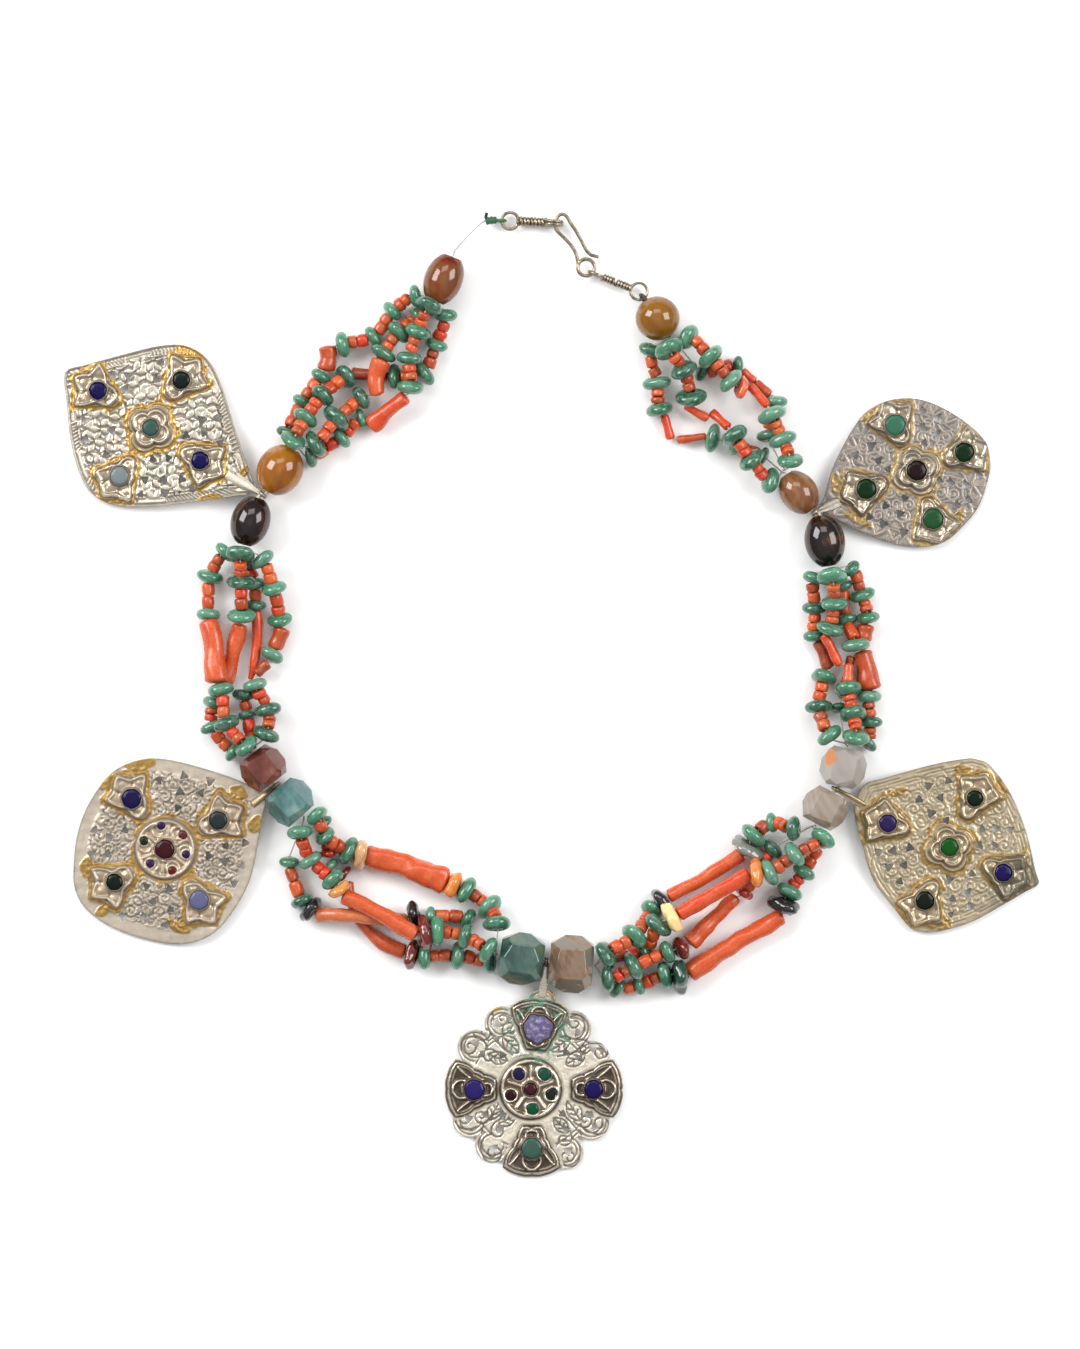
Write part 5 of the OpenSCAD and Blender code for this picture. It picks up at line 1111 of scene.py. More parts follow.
def smooth_stone(n, mat):
    """A ball, barrel or olive, turned."""
    direction, length, width, shape = AGATES[n - 1][2:]
    name = "agate_%d" % n
    body = Body(name + "_look")
    if shape == BALL:
        pole = math.asin(2 * BORE / width)
        turn = np.linspace(pole, math.pi - pole, 34)
        rows = [(-math.cos(t) * width / 2, math.sin(t) * width / 2) for t in turn]
    else:
        taper = 0.75 if shape == BARREL else 0.88
        rows = [(-length / 2 * 0.99, BORE), (-length / 2, 1.6)]
        for t in np.linspace(-math.pi / 2, math.pi / 2, 34):
            u = math.sin(t)
            rows.append((u * length / 2, width / 2 * math.sqrt(1 - taper * u * u)))
        rows += [(length / 2, 1.6), (length / 2 * 0.99, BORE)]
    rows = np.array(rows + [(0.0, BORE)])
    spin(body, agate_pos(n), plan(direction), rows, 64, 0, WHITE, 0.008, 9.0, 40 + n)
    body.build([mat], [name])


for n, row in enumerate(AGATES, 1):
    make = cut_stone if row[5] == CUT else smooth_stone
    make(n, agate_material(n))


# Pendants
STONE_TINTS = {
    1: [(22, 8, 83), (12, 32, 30), (22, 6, 89), (148, 161, 163), (70, 105, 94)],
    2: [(28, 14, 83), (46, 59, 56), (8, 28, 11), (120, 120, 163), (70, 20, 27)],
    3: [(116, 104, 148), (49, 35, 120), (27, 11, 94), (73, 112, 99), (76, 27, 36)],
    4: [(48, 35, 96), (6, 32, 12), (30, 11, 96), (11, 24, 11), (9, 96, 24)],
    5: [(68, 131, 102), (8, 48, 12), (6, 51, 12), (38, 94, 51), (36, 8, 14)]}
# Small stones of the two middle discs: x, y, radius, tint
DISC_STONES = {
    2: [(-124.8, -42.1, 1.3, (52, 20, 84)), (-117.8, -45, 1.45, (110, 44, 40)),
        (-116.8, -51.4, 1.3, (48, 16, 92)),
        (-121.3, -56.6, 1.4, (110, 18, 16)), (-128.4, -54.2, 1.35, (60, 28, 70)),
        (-130.4, -47, 1.4, (18, 48, 20))],
    3: [(-10.4, -121.6, 2.0, (30, 24, 70)), (-2.2, -121.6, 2.05, (30, 84, 62)),
        (0.2, -128, 2.0, (26, 38, 34)),
        (-6, -132.7, 1.9, (6, 84, 54)), (-13.1, -128.3, 1.9, (48, 10, 12))]}
SETTINGS = {1: SETTINGS_1, 2: SETTINGS_2, 3: SETTINGS_3, 4: SETTINGS_4, 5: SETTINGS_5}
HOLES = {1: HOLES_1, 2: HOLES_2, 3: HOLES_3, 4: HOLES_4, 5: HOLES_5}
OUTLINES = {1: OUTLINE_1, 2: OUTLINE_2, 4: OUTLINE_4, 5: OUTLINE_5}
# Gilt solder patches away from the bosses: x, y, half length, half width, angle
PATCHES = {
    1: [(-114.5, 109.6, 6.5, 1.6, -12), (-102.5, 101.5, 3.4, 1.7, -60), (-147.5, 103.8, 4.5, 1.3, 32),
        (-153.6, 92, 2.2, 1.0, 90), (-148, 62.5, 5.0, 1.6, -58), (-137.5, 58.8, 6.5, 1.2, -8),
        (-109, 62.3, 4.5, 1.6, 8), (-98.5, 71, 2.0, 1.2, 60)],
    2: [(-131.5, -22.5, 5.5, 2.0, 8), (-142.5, -28, 2.6, 1.8, 50), (-100, -31.5, 3.0, 2.2, -30),
        (-94.6, -41.5, 2.2, 3.0, -30), (-148.6, -55.6, 2.4, 3.4, 10), (-143.6, -69.6, 2.6, 1.8, 20),
        (-119.5, -74.5, 4.2, 2.0, -16), (-90.5, -36.5, 1.8, 1.4, 30)],
    3: [(-8.3, -96.6, 3.8, 1.1, 38), (1.3, -97.2, 3.8, 1.1, -42), (-17.4, -100.4, 2.0, 0.8, 30),
        (9.6, -101, 2.2, 0.8, -30)],
    4: [(110.5, -31.5, 3.6, 1.2, 20), (97.6, -45.6, 2.0, 1.2, -60), (131.5, -24.2, 3.0, 1.6, 0),
        (145.3, -29.5, 3.6, 1.6, -50), (151.8, -51.5, 1.0, 3.0, 10), (112.4, -72, 4.6, 1.2, -52),
        (126, -73.6, 2.6, 1.8, 30)],
    5: [(114.5, 95, 4.0, 1.2, 8), (101.5, 90.5, 3.4, 1.4, 52), (91.5, 66.5, 2.0, 4.0, 20),
        (97.6, 56, 5.2, 1.5, -26), (120.5, 47.5, 4.5, 1.4, -12), (130.5, 56.5, 3.0, 1.4, 60),
        (139.5, 79.5, 1.4, 3.5, 10), (134, 84.5, 3.2, 1.0, -40)]}
# Scrolls of the third plate: x, y, radius, start angle, turns (negative turns wind the other way)
SCROLLS = [
    (-26, -113, 2.7, 60, 1.4), (-15.7, -104, 1.9, 200, 1.2), (-13.1, -107.4, 2.1, 200, -1.3),
    (-20, -116, 1.9, 50, 1.2), (15.6, -114.7, 2.4, 120, -1.5), (7.5, -105.3, 2.4, 350, 1.3),
    (-28.2, -136.2, 2.4, 270, -1.5), (-22.6, -135.3, 1.9, 300, -1.2), (-17, -140, 2.0, 130, 1.2),
    (-18.7, -147.3, 2.7, 190, 1.5), (15.6, -137.9, 2.6, 250, 1.4), (10.9, -136.6, 1.9, 240, 1.2),
    (4, -142.6, 2.0, 20, -1.2), (5.7, -148.6, 2.6, 0, -1.5), (10.4, -113.4, 1.9, 80, -1.2),
    (-21.4, -108.6, 1.8, 240, 1.1)]
# Leaves of the third plate: x, y, length, direction
LEAVES = [(-13.1, -112.2, 7.0, 313), (-17.2, -116.6, 6.2, 340), (2.9, -112.2, 7.2, 213),
          (7.7, -116.9, 7.0, 211),
          (-18.3, -133.6, 6.5, 58), (-14.2, -136.4, 6.2, 28), (7.2, -133.6, 7.2, 123),
          (3.0, -138.2, 6.2, 135)]
# Stems of the third plate, from each notch of the edge to the disc
STEMS = [[(-20, -107.9), (-18.2, -110.4), (-15.6, -113.4), (-12.3, -115.6)],
         [(11.5, -110.4), (9.6, -112.8), (6.6, -115.2), (1.9, -116)],
         [(-22.5, -140.8), (-21.7, -137.8), (-19.4, -135.4), (-16.1, -133.4)],
         [(9.6, -141.2), (7.8, -139.2), (5.6, -136.5), (2.3, -133.6)]]
FAR = 9.0


def middle(n):
    return np.array(PENDANTS[n - 1][:2], float)


def plateau(x, low, high):
    """Smooth step from 0 at low to 1 at high."""
    t = np.clip((x - low) / (high - low), 0, 1)
    return t * t * (3 - 2 * t)


def hump(x, width):
    """Smooth bump, 1 where x is 0."""
    return np.exp(-(x / width) ** 2)


def own_frame(q, degrees):
    """Coordinates of points along and across a direction."""
    c, s = math.cos(math.radians(degrees)), math.sin(math.radians(degrees))
    return q[:, 0] * c + q[:, 1] * s, -q[:, 0] * s + q[:, 1] * c


def squared_distance(p, a, b):
    """Squared distance of each point from the stretch between a and b."""
    ab, ap = b - a, p - a
    t = np.clip(ap @ ab / max(1e-12, ab @ ab), 0, 1)
    return ((ap - t[:, None] * ab) ** 2).sum(1)


def smooth_outline(rows):
    p = np.array(rows, float)
    n = len(p)
    shares = (0, 0.25, 0.5, 0.75)
    return np.array([curve(p[i - 1], p[i], p[(i + 1) % n], p[(i + 2) % n],
                           t) for i in range(n) for t in shares])


def polygon_distance(xy, ring):
    """Signed distance to a closed ring, below zero inside."""
    best = np.full(len(xy), np.inf)
    inside = np.zeros(len(xy), bool)
    for a, b in zip(ring, np.roll(ring, -1, 0)):
        best = np.minimum(best, squared_distance(xy, a, b))
        cross = (a[1] > xy[:, 1]) != (b[1] > xy[:, 1])
        if cross.any():
            inside ^= cross & (xy[:, 0] < (b[0] - a[0]) * (xy[:, 1] - a[1]) / (b[1] - a[1]) + a[0])
    return np.where(inside, -1, 1) * np.sqrt(best)


def boss_radius(kind, degrees):
    """Outline radius of a boss at an angle from its outward direction."""
    a = np.abs((degrees + 180) % 360 - 180)
    if kind == QUATREFOIL:
        return 6.3 + 1.9 * np.abs(np.cos(np.radians(2 * degrees)))
    if kind == DISC:
        return np.full(np.shape(a), 10.3)
    table = np.array(TULIP_EDGE if kind == TULIP else TRAPEZE_EDGE)
    fine = np.linspace(0, 180, 181)
    values = np.interp(fine, table[:, 0], table[:, 1])
    if kind == TULIP:
        kernel = np.hanning(15)
        padded = np.concatenate([values[7:0:-1], values, values[-2:-9:-1]])
        values = np.convolve(padded, kernel / kernel.sum(), "valid")
    return np.interp(a, fine, values)


def outline_distance(n, xy):
    """Signed distance to the edge of a plate; the third is a disc with lobes, bosses and a tongue."""
    if n != 3:
        return polygon_distance(xy, smooth_outline(OUTLINES[n]))
    d = np.hypot(*xy.T) - 21.5
    for angle, reach in LOBES_3:
        d = np.minimum(d, np.hypot(*(xy - reach * plan(angle)[:2]).T) - LOBE_R)
    for x, y, _stone, turn, kind in SETTINGS_3[:4]:
        q = xy - ((x, y) - middle(3))
        angle = np.degrees(np.arctan2(q[:, 1], q[:, 0])) - turn
        d = np.minimum(d, (np.hypot(*q.T) - boss_radius(kind, angle)) * 0.95)
    return np.minimum(d, np.hypot(*(xy - (3.6, 28)).T) - 4.4)


def triangle_distance(xy, x, y, r, turn):
    """A piercing with three slightly rounded corners."""
    q = xy - (x, y)
    d = np.max([q @ plan(turn + 120 * k)[:2] for k in range(3)], axis=0)
    return np.maximum(d - 0.72 * r, np.hypot(*q.T) - 1.32 * r)


def stroke_distance(xy, best, line, reach=1.2):
    """Lowers best to the distance from a polyline, near it."""
    near = np.nonzero(((xy > line.min(0) - reach) & (xy < line.max(0) + reach)).all(1))[0]
    if len(near):
        d = np.min([squared_distance(xy[near], a, b) for a, b in zip(line[:-1], line[1:])], axis=0)
        best[near] = np.minimum(best[near], np.sqrt(d))


def scroll(x, y, r, start, turns):
    """Spiral that winds inward, with a short tail at its outer end."""
    t = np.linspace(0, 1, int(14 * abs(turns)) + 4)
    angle = np.radians(start) + 2 * math.pi * turns * t
    size = r * (1.12 - 0.92 * t)
    tail = np.radians(start) - np.sign(turns) * np.linspace(1.0, 0.0, 5)[:-1]
    outer = r * (1.12 + np.linspace(0.75, 0.0, 5)[:-1] ** 1.5)
    angle, size = np.concatenate([tail, angle]), np.concatenate([outer, size])
    return np.stack([x + size * np.cos(angle), y + size * np.sin(angle)], 1)


def boss_relief(kind, q, angle, stone_r, seed, rough):
    """Height over the plate and how far inside the boss each point lies, in the boss's own frame."""
    u, v = own_frame(q, angle)
    r = np.hypot(u, v)
    degrees = np.degrees(np.arctan2(v, u))
    pressed = kind in (TULIP, QUATREFOIL)
    inside = boss_radius(kind, degrees) * (1.05 if pressed else 1) - r
    deep = plateau(inside, 0.0, 1.5)

    def bump(cu, cv, size, tall):
        return tall * np.exp(-((u - cu) ** 2 + (v - cv) ** 2) / size ** 2)

    def ring(cu, cv, radius, width, tall):
        return tall * hump(np.hypot(u - cu, v - cv) - radius, width)

    def ridge(turn, start, stop, width, tall):
        along, across = own_frame(np.stack([u, v], 1), turn)
        ends = plateau(along, start, start + 1) * (1 - plateau(along, stop - 1, stop))
        return tall * hump(across, width) * ends

    soft = rough * waves(np.stack([u, v, 0 * u], 1), seed, 3.4)
    if kind == DISC:
        h = 1.2 * deep + ring(0, 0, 9.2, 0.55, 0.45) - 0.55 * plateau(inside, 1.7, 2.7)
        count, first = (6, 112) if stone_r > 2 else (5, 54)
        for k in range(count):
            at = first + 360 / count * k
            h += ring(*(6.4 * plan(at)[:2]), 1.9, 0.45, 0.45) + ridge(at + 180 / count, 2.6, 8.4, 0.6, 0.6)
        h += ring(0, 0, stone_r + 0.9, 0.5, 0.5) + 0.05 * soft
    elif kind == TRAPEZE:
        h = 1.2 * deep - 0.45 * plateau(inside, 1.1, 1.9) + 0.35 * hump(inside - 2.3, 0.35)
        h += ring(3.9, 0, 2.9, 0.45, 0.85) * (u > 2.0) + ring(-3.8, 0, 2.0, 0.45, 0.8) * (u < -1.6)
        for side in (-1, 1):
            line = np.abs(v - side * (2.7 + 0.36 * (u + 1) + 0.05 * (u + 1) ** 2))
            h += 0.7 * hump(line, 0.45) * plateau(u, -2.5, -1) * (1 - plateau(u, 4.4, 6.2))
        h += ring(0, 0, stone_r + 0.8, 0.5, 0.5) + 0.07 * soft
    else:
        # a flange, a wall that follows the outline, and a thin ridge on top of it
        if kind == QUATREFOIL:
            inner = 4.6 + 1.9 * np.abs(np.cos(np.radians(2 * degrees))) ** 0.8 - r
        else:
            inner = inside - 1.15 - 0.35 * np.sin(np.radians(5 * degrees + 40 * seed))
        h = 0.65 * plateau(inside, 0.0, 0.8) + 0.95 * plateau(inner, -0.5, 0.45)
        h += 0.4 * hump(inner - 0.6, 0.42) - 0.3 * plateau(inner, 1.0, 1.9)
        if kind == QUATREFOIL:
            for k in range(4):
                h += bump(*(4.0 * plan(90 * k)[:2]), 0.9, 0.3)
        else:
            for side in (-1, 1):
                h += bump(2.9, side * 4.9, 1.3, 0.45) - ridge(side * 33, 3.4, 7.6, 0.5, 0.35)
            h += bump(5.2, 0, 1.3, 0.4) + bump(-4.4, 0.2, 1.1, 0.6) - ring(-4.4, 0.2, 1.9, 0.4, 0.25)
        h += ring(0, 0, stone_r + 0.9, 0.55, 0.25) + 0.09 * soft
    return np.clip(h, 0, None) * (inside > 0), inside

# Work on each plate: size and height of the petals, plain rim, strength of the notches between petals,
# height of the ridges beside a chased line, its depth (below zero it stands up), where the dark tone lies
# beside the line, its width and strength, and how rough the bosses are
WORK = {
    1: dict(petal=4.3, dome=0.42, rim=2.6, notch=1.0, ridge=0.28, cut=0.3, beside=0, width=0.34, dark=0.75,
            rough=0.9),
    2: dict(petal=3.8, dome=0.24, rim=4.2, notch=0.55, ridge=0.2, cut=0.2, beside=0, width=0.34, dark=0.6,
            rough=0.7),
    3: dict(petal=3.4, dome=0.1, rim=2.4, notch=0, ridge=0.1, cut=0.34, beside=0, width=0.45, dark=1.0,
            rough=1.0),
    4: dict(petal=3.8, dome=0.1, rim=3.8, notch=0.2, ridge=0.1, cut=0.14, beside=0, width=0.34, dark=0.5,
            rough=1.2),
    5: dict(petal=2.6, dome=0.04, rim=4.4, notch=0, ridge=0, cut=-0.2, beside=0.55, width=0.22, dark=0.8,
            rough=1.9)}
PLATE_REACH = 37.0
# Spacing of the grid over a plate, and the height of its back over its own plane
PLATE_STEP = 0.28
BACK_Z = 0.12
# Mean radius of an edge, half width of the square that petals fill, and their row spacing over their size
EDGE_R, FIELD_HALF, PETAL_ROW = 27.0, 38, 0.87
# Scrolls of plates 2, 4 and 5: spacing, plain rim, and clear distance from the middle of a boss
SCROLL_FIELDS = {2: (4.6, 5.0), 4: (4.6, 5.0), 5: (4.1, 5.6)}
SCROLL_CLEAR = 7.2


def border(n, xy, inward, stroke):
    """Chased work along the edge of a plate: adds to the stroke distances."""
    along = np.arctan2(xy[:, 1], xy[:, 0]) * EDGE_R

    def add(line, where=True):
        return np.where(where, np.minimum(stroke, line), stroke)

    if n == 1:
        hatch = np.abs((along + 2.2 * inward * 0.25) % 1.25 - 0.62)
        stroke = add(hatch * 0.7, (inward > 0.9) & (inward < 3.0) & (np.sin(along * 0.21 + 1.0) > -0.55))
        stroke = add(np.abs(inward - 0.75))
        stroke = add(np.abs(inward - 3.5), np.sin(along * 0.35) > -0.2)
    if n == 3:
        for at in (1.0, 2.15):
            stroke = add(np.abs(inward - at) + 0.04)
    if n == 4:
        for k, at in enumerate((1.5, 2.5, 3.6)):
            stroke = add(np.abs(inward - at) + 0.05, np.sin(along * 0.42 + 2.1 * k) > -0.45)
    if n == 5:
        wave = np.abs((along / 3.4) % 2 - 1)
        tooth = np.abs(inward - 0.7 - 3.4 * wave) * 0.42
        ray = np.abs((along + 0.3 * inward) % 0.85 - 0.42)
        stroke = add(tooth, (inward > 0.6) & (inward < 4.2))
        stroke = add(ray * 0.9 + 0.06, (inward > 0.5) & (inward < 3.9) & ((along / 6.8) % 1 < 0.5))
        stroke = add(np.abs(inward - 4.4) + 0.05)
    return stroke


def leaf_lines(x, y, length, direction):
    d, s = plan(direction)[:2], plan(direction + 90)[:2]
    foot = np.array([x, y]) - d * length / 2
    t = np.linspace(0, 1, 12)
    width = 0.3 * length * np.sin(math.pi * t) ** 0.8
    lines = [foot + np.outer(t * length, d) + np.outer(side * width, s) for side in (-1, 1)]
    lines.append(np.array([foot, foot + d * length * 0.9]))
    for k in (0.3, 0.55):
        a = foot + d * length * k
        vein = 0.2 * length * math.sin(math.pi * (k + 0.1))
        lines += [np.array([a, a + d * length * 0.17 + s * side * vein]) for side in (-1, 1)]
    return lines


def hole_strokes(n):
    """Short curved cuts that leave each piercing and fill the field between the scrolls."""
    rng = np.random.default_rng(60 + n)
    lines = []
    for x, y, r in HOLES[n]:
        turn = rng.uniform(0, 360)
        for k in range(3):
            start = turn + 120 * k + rng.uniform(-15, 15)
            reach = 2.2 * r + rng.uniform(0.2, 1.2)
            lines.append(np.array([(x, y) + (1.7 * r + reach * t) * plan(start + 28 * t)[:2]
                                   for t in (0, 0.35, 0.7, 1.0)]))
    return lines


def petals(p, seed, size):
    """Chased field of lens petals that meet at jittered nodes: height, and the dark notches between them."""
    rng = np.random.default_rng(seed)
    row = size * PETAL_ROW
    rows, columns = int(2 * FIELD_HALF / row) + 1, int(2 * FIELD_HALF / size) + 1
    nodes = np.array([((i + 0.5 * (j % 2)) * size - FIELD_HALF, j * row - FIELD_HALF)
                      for j in range(rows) for i in range(columns)])
    nodes += rng.uniform(-0.2, 0.2, nodes.shape) * size
    lift = rng.uniform(-0.25, 0.25, len(nodes))
    height, notch = np.zeros(len(p)), np.zeros(len(p))
    at_once = 4000
    for lo in range(0, len(p), at_once):
        q = p[lo:lo + at_once]
        order = np.argpartition(np.hypot(*(q[:, None] - nodes[None]).transpose(2, 0, 1)), 2, axis=1)[:, :2]
        a, b = nodes[order[:, 0]], nodes[order[:, 1]]
        along = b - a
        length = np.hypot(*along.T)
        s = np.clip(((q - a) * along).sum(1) / length ** 2, 0.01, 0.99)
        t = np.abs((q[:, 0] - a[:, 0]) * along[:, 1] - (q[:, 1] - a[:, 1]) * along[:, 0]) / length
        half = 0.29 * size * np.sin(math.pi * s) ** 0.7
        height[lo:lo + at_once] = np.clip(1 - (t / half) ** 2, 0, 1) ** 0.6 + lift[order].sum(1)
        notch[lo:lo + at_once] = np.maximum(plateau(t - half, -0.12, 0.18) * 0.85, hump(t - half, 0.22))
    return height, notch


def hollows(shape, where, top, reach):
    """How far each point of a relief lies below its surroundings."""
    full = np.full(shape[0] * shape[1], PLATE_T)
    full[where] = top
    soft = full.reshape(shape)
    for axis in (0, 1):
        soft = sum(np.roll(soft, k, axis) for k in range(-reach, reach + 1)) / (2 * reach + 1)
    return soft.ravel()[where] - top


def scroll_rows(n):
    """Scrolls of a field: alternate hands on a jittered lattice between the bosses."""
    mid = middle(n)
    if n == 3:
        return [(x - mid[0], y - mid[1], 1.15 * r, start, turns) for x, y, r, start, turns in SCROLLS]
    rng = np.random.default_rng(500 + n)
    pitch, rim = SCROLL_FIELDS[n]
    cells = [(i, j) for j in range(-8, 9) for i in range(-8, 9)]
    spots = np.array([((i + 0.5 * (j % 2)) * pitch, 0.88 * j * pitch) for i, j in cells])
    spots += rng.uniform(-0.5, 0.5, (len(cells), 2))
    bosses = np.array([row[:2] for row in SETTINGS[n]]) - mid
    rows = []
    for (i, j), spot, out in zip(cells, spots, outline_distance(n, spots)):
        if out < -rim and np.hypot(*(bosses - spot).T).min() > SCROLL_CLEAR:
            rows.append((*spot, 0.46 * pitch, rng.uniform(0, 360), 1.5 if (i + j) % 2 else -1.5))
    return rows


def chased_lines(n, p, inward):
    """Distance from each point to the nearest chased line of a plate; the first plate has petals instead."""
    mid = middle(n)
    lines = [scroll(*row) for row in scroll_rows(n)] if n > 1 else []
    if n == 3:
        for x, y, length, direction in LEAVES:
            lines += leaf_lines(x - mid[0], y - mid[1], 1.05 * length, direction)
        lines += [np.array(line) - mid for line in STEMS]
    elif n > 1:
        lines += [line - mid for line in hole_strokes(n)]
    stroke = np.full(len(p), FAR)
    for line in lines:
        stroke_distance(p, stroke, line)
    if n == 2:
        stroke[inward < 4.6] = FAR
    return border(n, p, inward, stroke)


def pierced(n, p, edge):
    """Distance to the metal, with the piercings cut out."""
    solid = edge.copy()
    for k, (x, y, r) in enumerate(HOLES[n]):
        q = (x, y) - middle(n)
        close = np.nonzero(np.abs(p - q).max(1) < 4 * r)[0]
        turn = (37 * k + 11 * n) % 120 if n != 5 else math.degrees(math.atan2(q[1], q[0])) + 180
        solid[close] = np.maximum(solid[close], -triangle_distance(p[close], q[0], q[1], r * 1.32, turn))
    return solid


def sheet(n, p, flat, inward):
    """Height of the chased sheet without its bosses, and how dark its cuts are."""
    work = WORK[n]
    stroke = chased_lines(n, p, inward)
    height, notch = petals(p, 40 + n, work["petal"])
    field = plateau(inward, work["rim"] - 0.5, work["rim"] + 0.3)
    notch = notch * field * work["notch"]
    top = PLATE_T + (work["ridge"] * hump(stroke - 0.62, 0.34) - work["cut"] * hump(stroke, 0.26))
    top += work["dome"] * height * field - 0.22 * notch + 0.05 * waves(flat, 300 + n, 3.2)
    top += 0.16 * waves(flat, 330 + n, 22.0)
    dark = hump(stroke - work["beside"], work["width"]) * work["dark"]
    return top, np.maximum(dark, 0.8 * notch)


def solder_band(n, kind, inside, wobble):
    """Gilt solder round the foot of a boss."""
    wide = (0.5, 0.9, 0.4, 0.7)[kind] + 1.2 * wobble
    strength = (1.0, 1.0, 0.35, 0.9 if n != 3 else 0.3)[kind] * (0.75 if n > 3 else 1)
    pressed = kind in (TULIP, QUATREFOIL)
    in_low, in_high, out_low, out_high = (-1.0, -0.5, -0.2, 0.8) if pressed else (-0.35, 0.05, 0.0, 0.35)
    out = -inside
    return strength * plateau(out, in_low, in_high) * (1 - plateau(out, wide + out_low, wide + out_high))


def height_field(n):
    """Plate of one pendant: grid, plan points, distance to metal, top heights and marks."""
    mid = middle(n)
    axis = np.arange(-PLATE_REACH, PLATE_REACH + PLATE_STEP, PLATE_STEP)
    gx, gy = np.meshgrid(axis, axis, indexing="ij")
    xy = np.stack([gx.ravel(), gy.ravel()], 1)
    near = np.hypot(*xy.T) < PLATE_REACH + 0.5
    edge = np.full(len(xy), FAR)
    edge[near] = outline_distance(n, xy[near])
    where = np.nonzero(edge < 2 * PLATE_STEP)[0]
    p, inward = xy[where], -edge[where]
    flat = np.stack([p[:, 0], p[:, 1], np.zeros(len(p))], 1)
    top, groove_and_shade = sheet(n, p, flat, inward)
    gilt, boss, rise = np.zeros((3, len(p)))
    wobble = 0.5 * waves(flat, 350 + n, 4.0)
    for k, (x, y, stone_r, turn, kind) in enumerate(SETTINGS[n]):
        h, inside = boss_relief(kind, p - ((x, y) - mid), turn, stone_r, 70 * n + k, WORK[n]["rough"])
        rise = np.maximum(rise, h)
        boss = np.maximum(boss, plateau(inside, -0.1, 0.5))
        gilt = np.maximum(gilt, solder_band(n, kind, inside, wobble))
        foot = hump(np.abs(inside) - 0.1, 0.28)
        groove_and_shade = np.maximum(groove_and_shade * (1 - 0.9 * plateau(inside, -1.2, -0.5)), foot * 0.8)
        plain = plateau(inside, -1.3, -0.4)
        top = np.where(inside > -1.2, top * (1 - plain) + PLATE_T * plain, top)
    for x, y, long, wide, turn in PATCHES[n]:
        u, v = own_frame(p - ((x, y) - mid), turn)
        patch = 1 - plateau(np.hypot(u / long, v / wide) + 0.35 * wobble, 0.85, 1.1)
        gilt = np.maximum(gilt, patch * (boss < 0.3))
        groove_and_shade = groove_and_shade * (1 - 0.8 * patch)
    top += 0.22 * gilt * (1 + 0.5 * waves(flat, 380 + n, 1.8)) + rise
    groove_and_shade = np.maximum(groove_and_shade * (1 - 0.75 * gilt), 0.55 * hump(inward - 0.1, 0.4))
    for x, y, r, _tint in DISC_STONES.get(n, []):
        d = np.hypot(*(p - ((x, y) - mid)).T)
        top += 0.35 * hump(d - r - 0.25, 0.3)
        top = np.where(d < r + 0.05, top - 0.25 * (1 - plateau(d, r - 0.3, r + 0.05)), top)
    # painted shade, with some dark patina, in the hollows, and a painted highlight on what stands proud
    low = hollows(gx.shape, where, top, 2) / 0.2 + hollows(gx.shape, where, top, 5) / 0.7
    # the hollows add painted shade to the groove_and_shade mark, which already holds the dark chased lines
    # and patina
    groove_and_shade = np.maximum(groove_and_shade, 0.85 * plateau(low, 0.35, 1.7))
    # painted highlight: what stands proud keeps less of the boss tint and takes the plate tint, which is
    # lighter on most plates
    boss = boss * (1 - 0.75 * plateau(-low, 0.2, 1.4))
    if n == 3:
        from_disc = np.hypot(*(p - (SETTINGS_3[4][:2] - mid)).T)
        groove_and_shade = np.maximum(groove_and_shade, boss * np.where(from_disc < 9.5, 0.35, 0.85))
    marks = np.stack([np.clip(gilt, 0, 1), np.clip(groove_and_shade, 0, 1), boss], 1)
    return gx.shape, xy, where, pierced(n, p, edge[where]), top, marks


def laid(n, local):
    """From a plate's own plane to the table."""
    row = PENDANTS[n - 1]
    d, s, tilt = plan(row[2]), plan(row[2] + 90), math.radians(PLATE_TILT)
    along, across, up = local @ d, local @ s, local[:, 2]
    flat = along * math.cos(tilt) - up * math.sin(tilt)
    z = along * math.sin(tilt) + up * math.cos(tilt)
    base = 0.1 + row[3] * math.sin(tilt)
    return np.outer(flat, d) + np.outer(across, s) + np.outer(z, (0, 0, 1)) + np.array([row[0], row[1], base])


def corners(grid):
    """The four corners of each cell of a grid."""
    return np.stack([grid[:-1, :-1], grid[1:, :-1], grid[1:, 1:], grid[:-1, 1:]], -1)


def cut_sheet(grid, gx, gy, xy, step):
    """Cells of a grid that touch metal, and its points, those past the edge drawn back to it."""
    cells = corners(grid < 0).any(-1) & corners(grid < 5).all(-1)
    size = np.hypot(gx, gy) + 1e-9
    move = np.clip(grid, 0, 1.3 * step)
    return cells, xy - np.stack([(move * gx / size).ravel(), (move * gy / size).ravel()], 1)


def numbered(faces, total):
    """The points that the faces use, and the faces in the numbers of those."""
    used = np.unique(faces)
    index = np.full(total, -1)
    index[used] = np.arange(len(used))
    return used, index[faces]


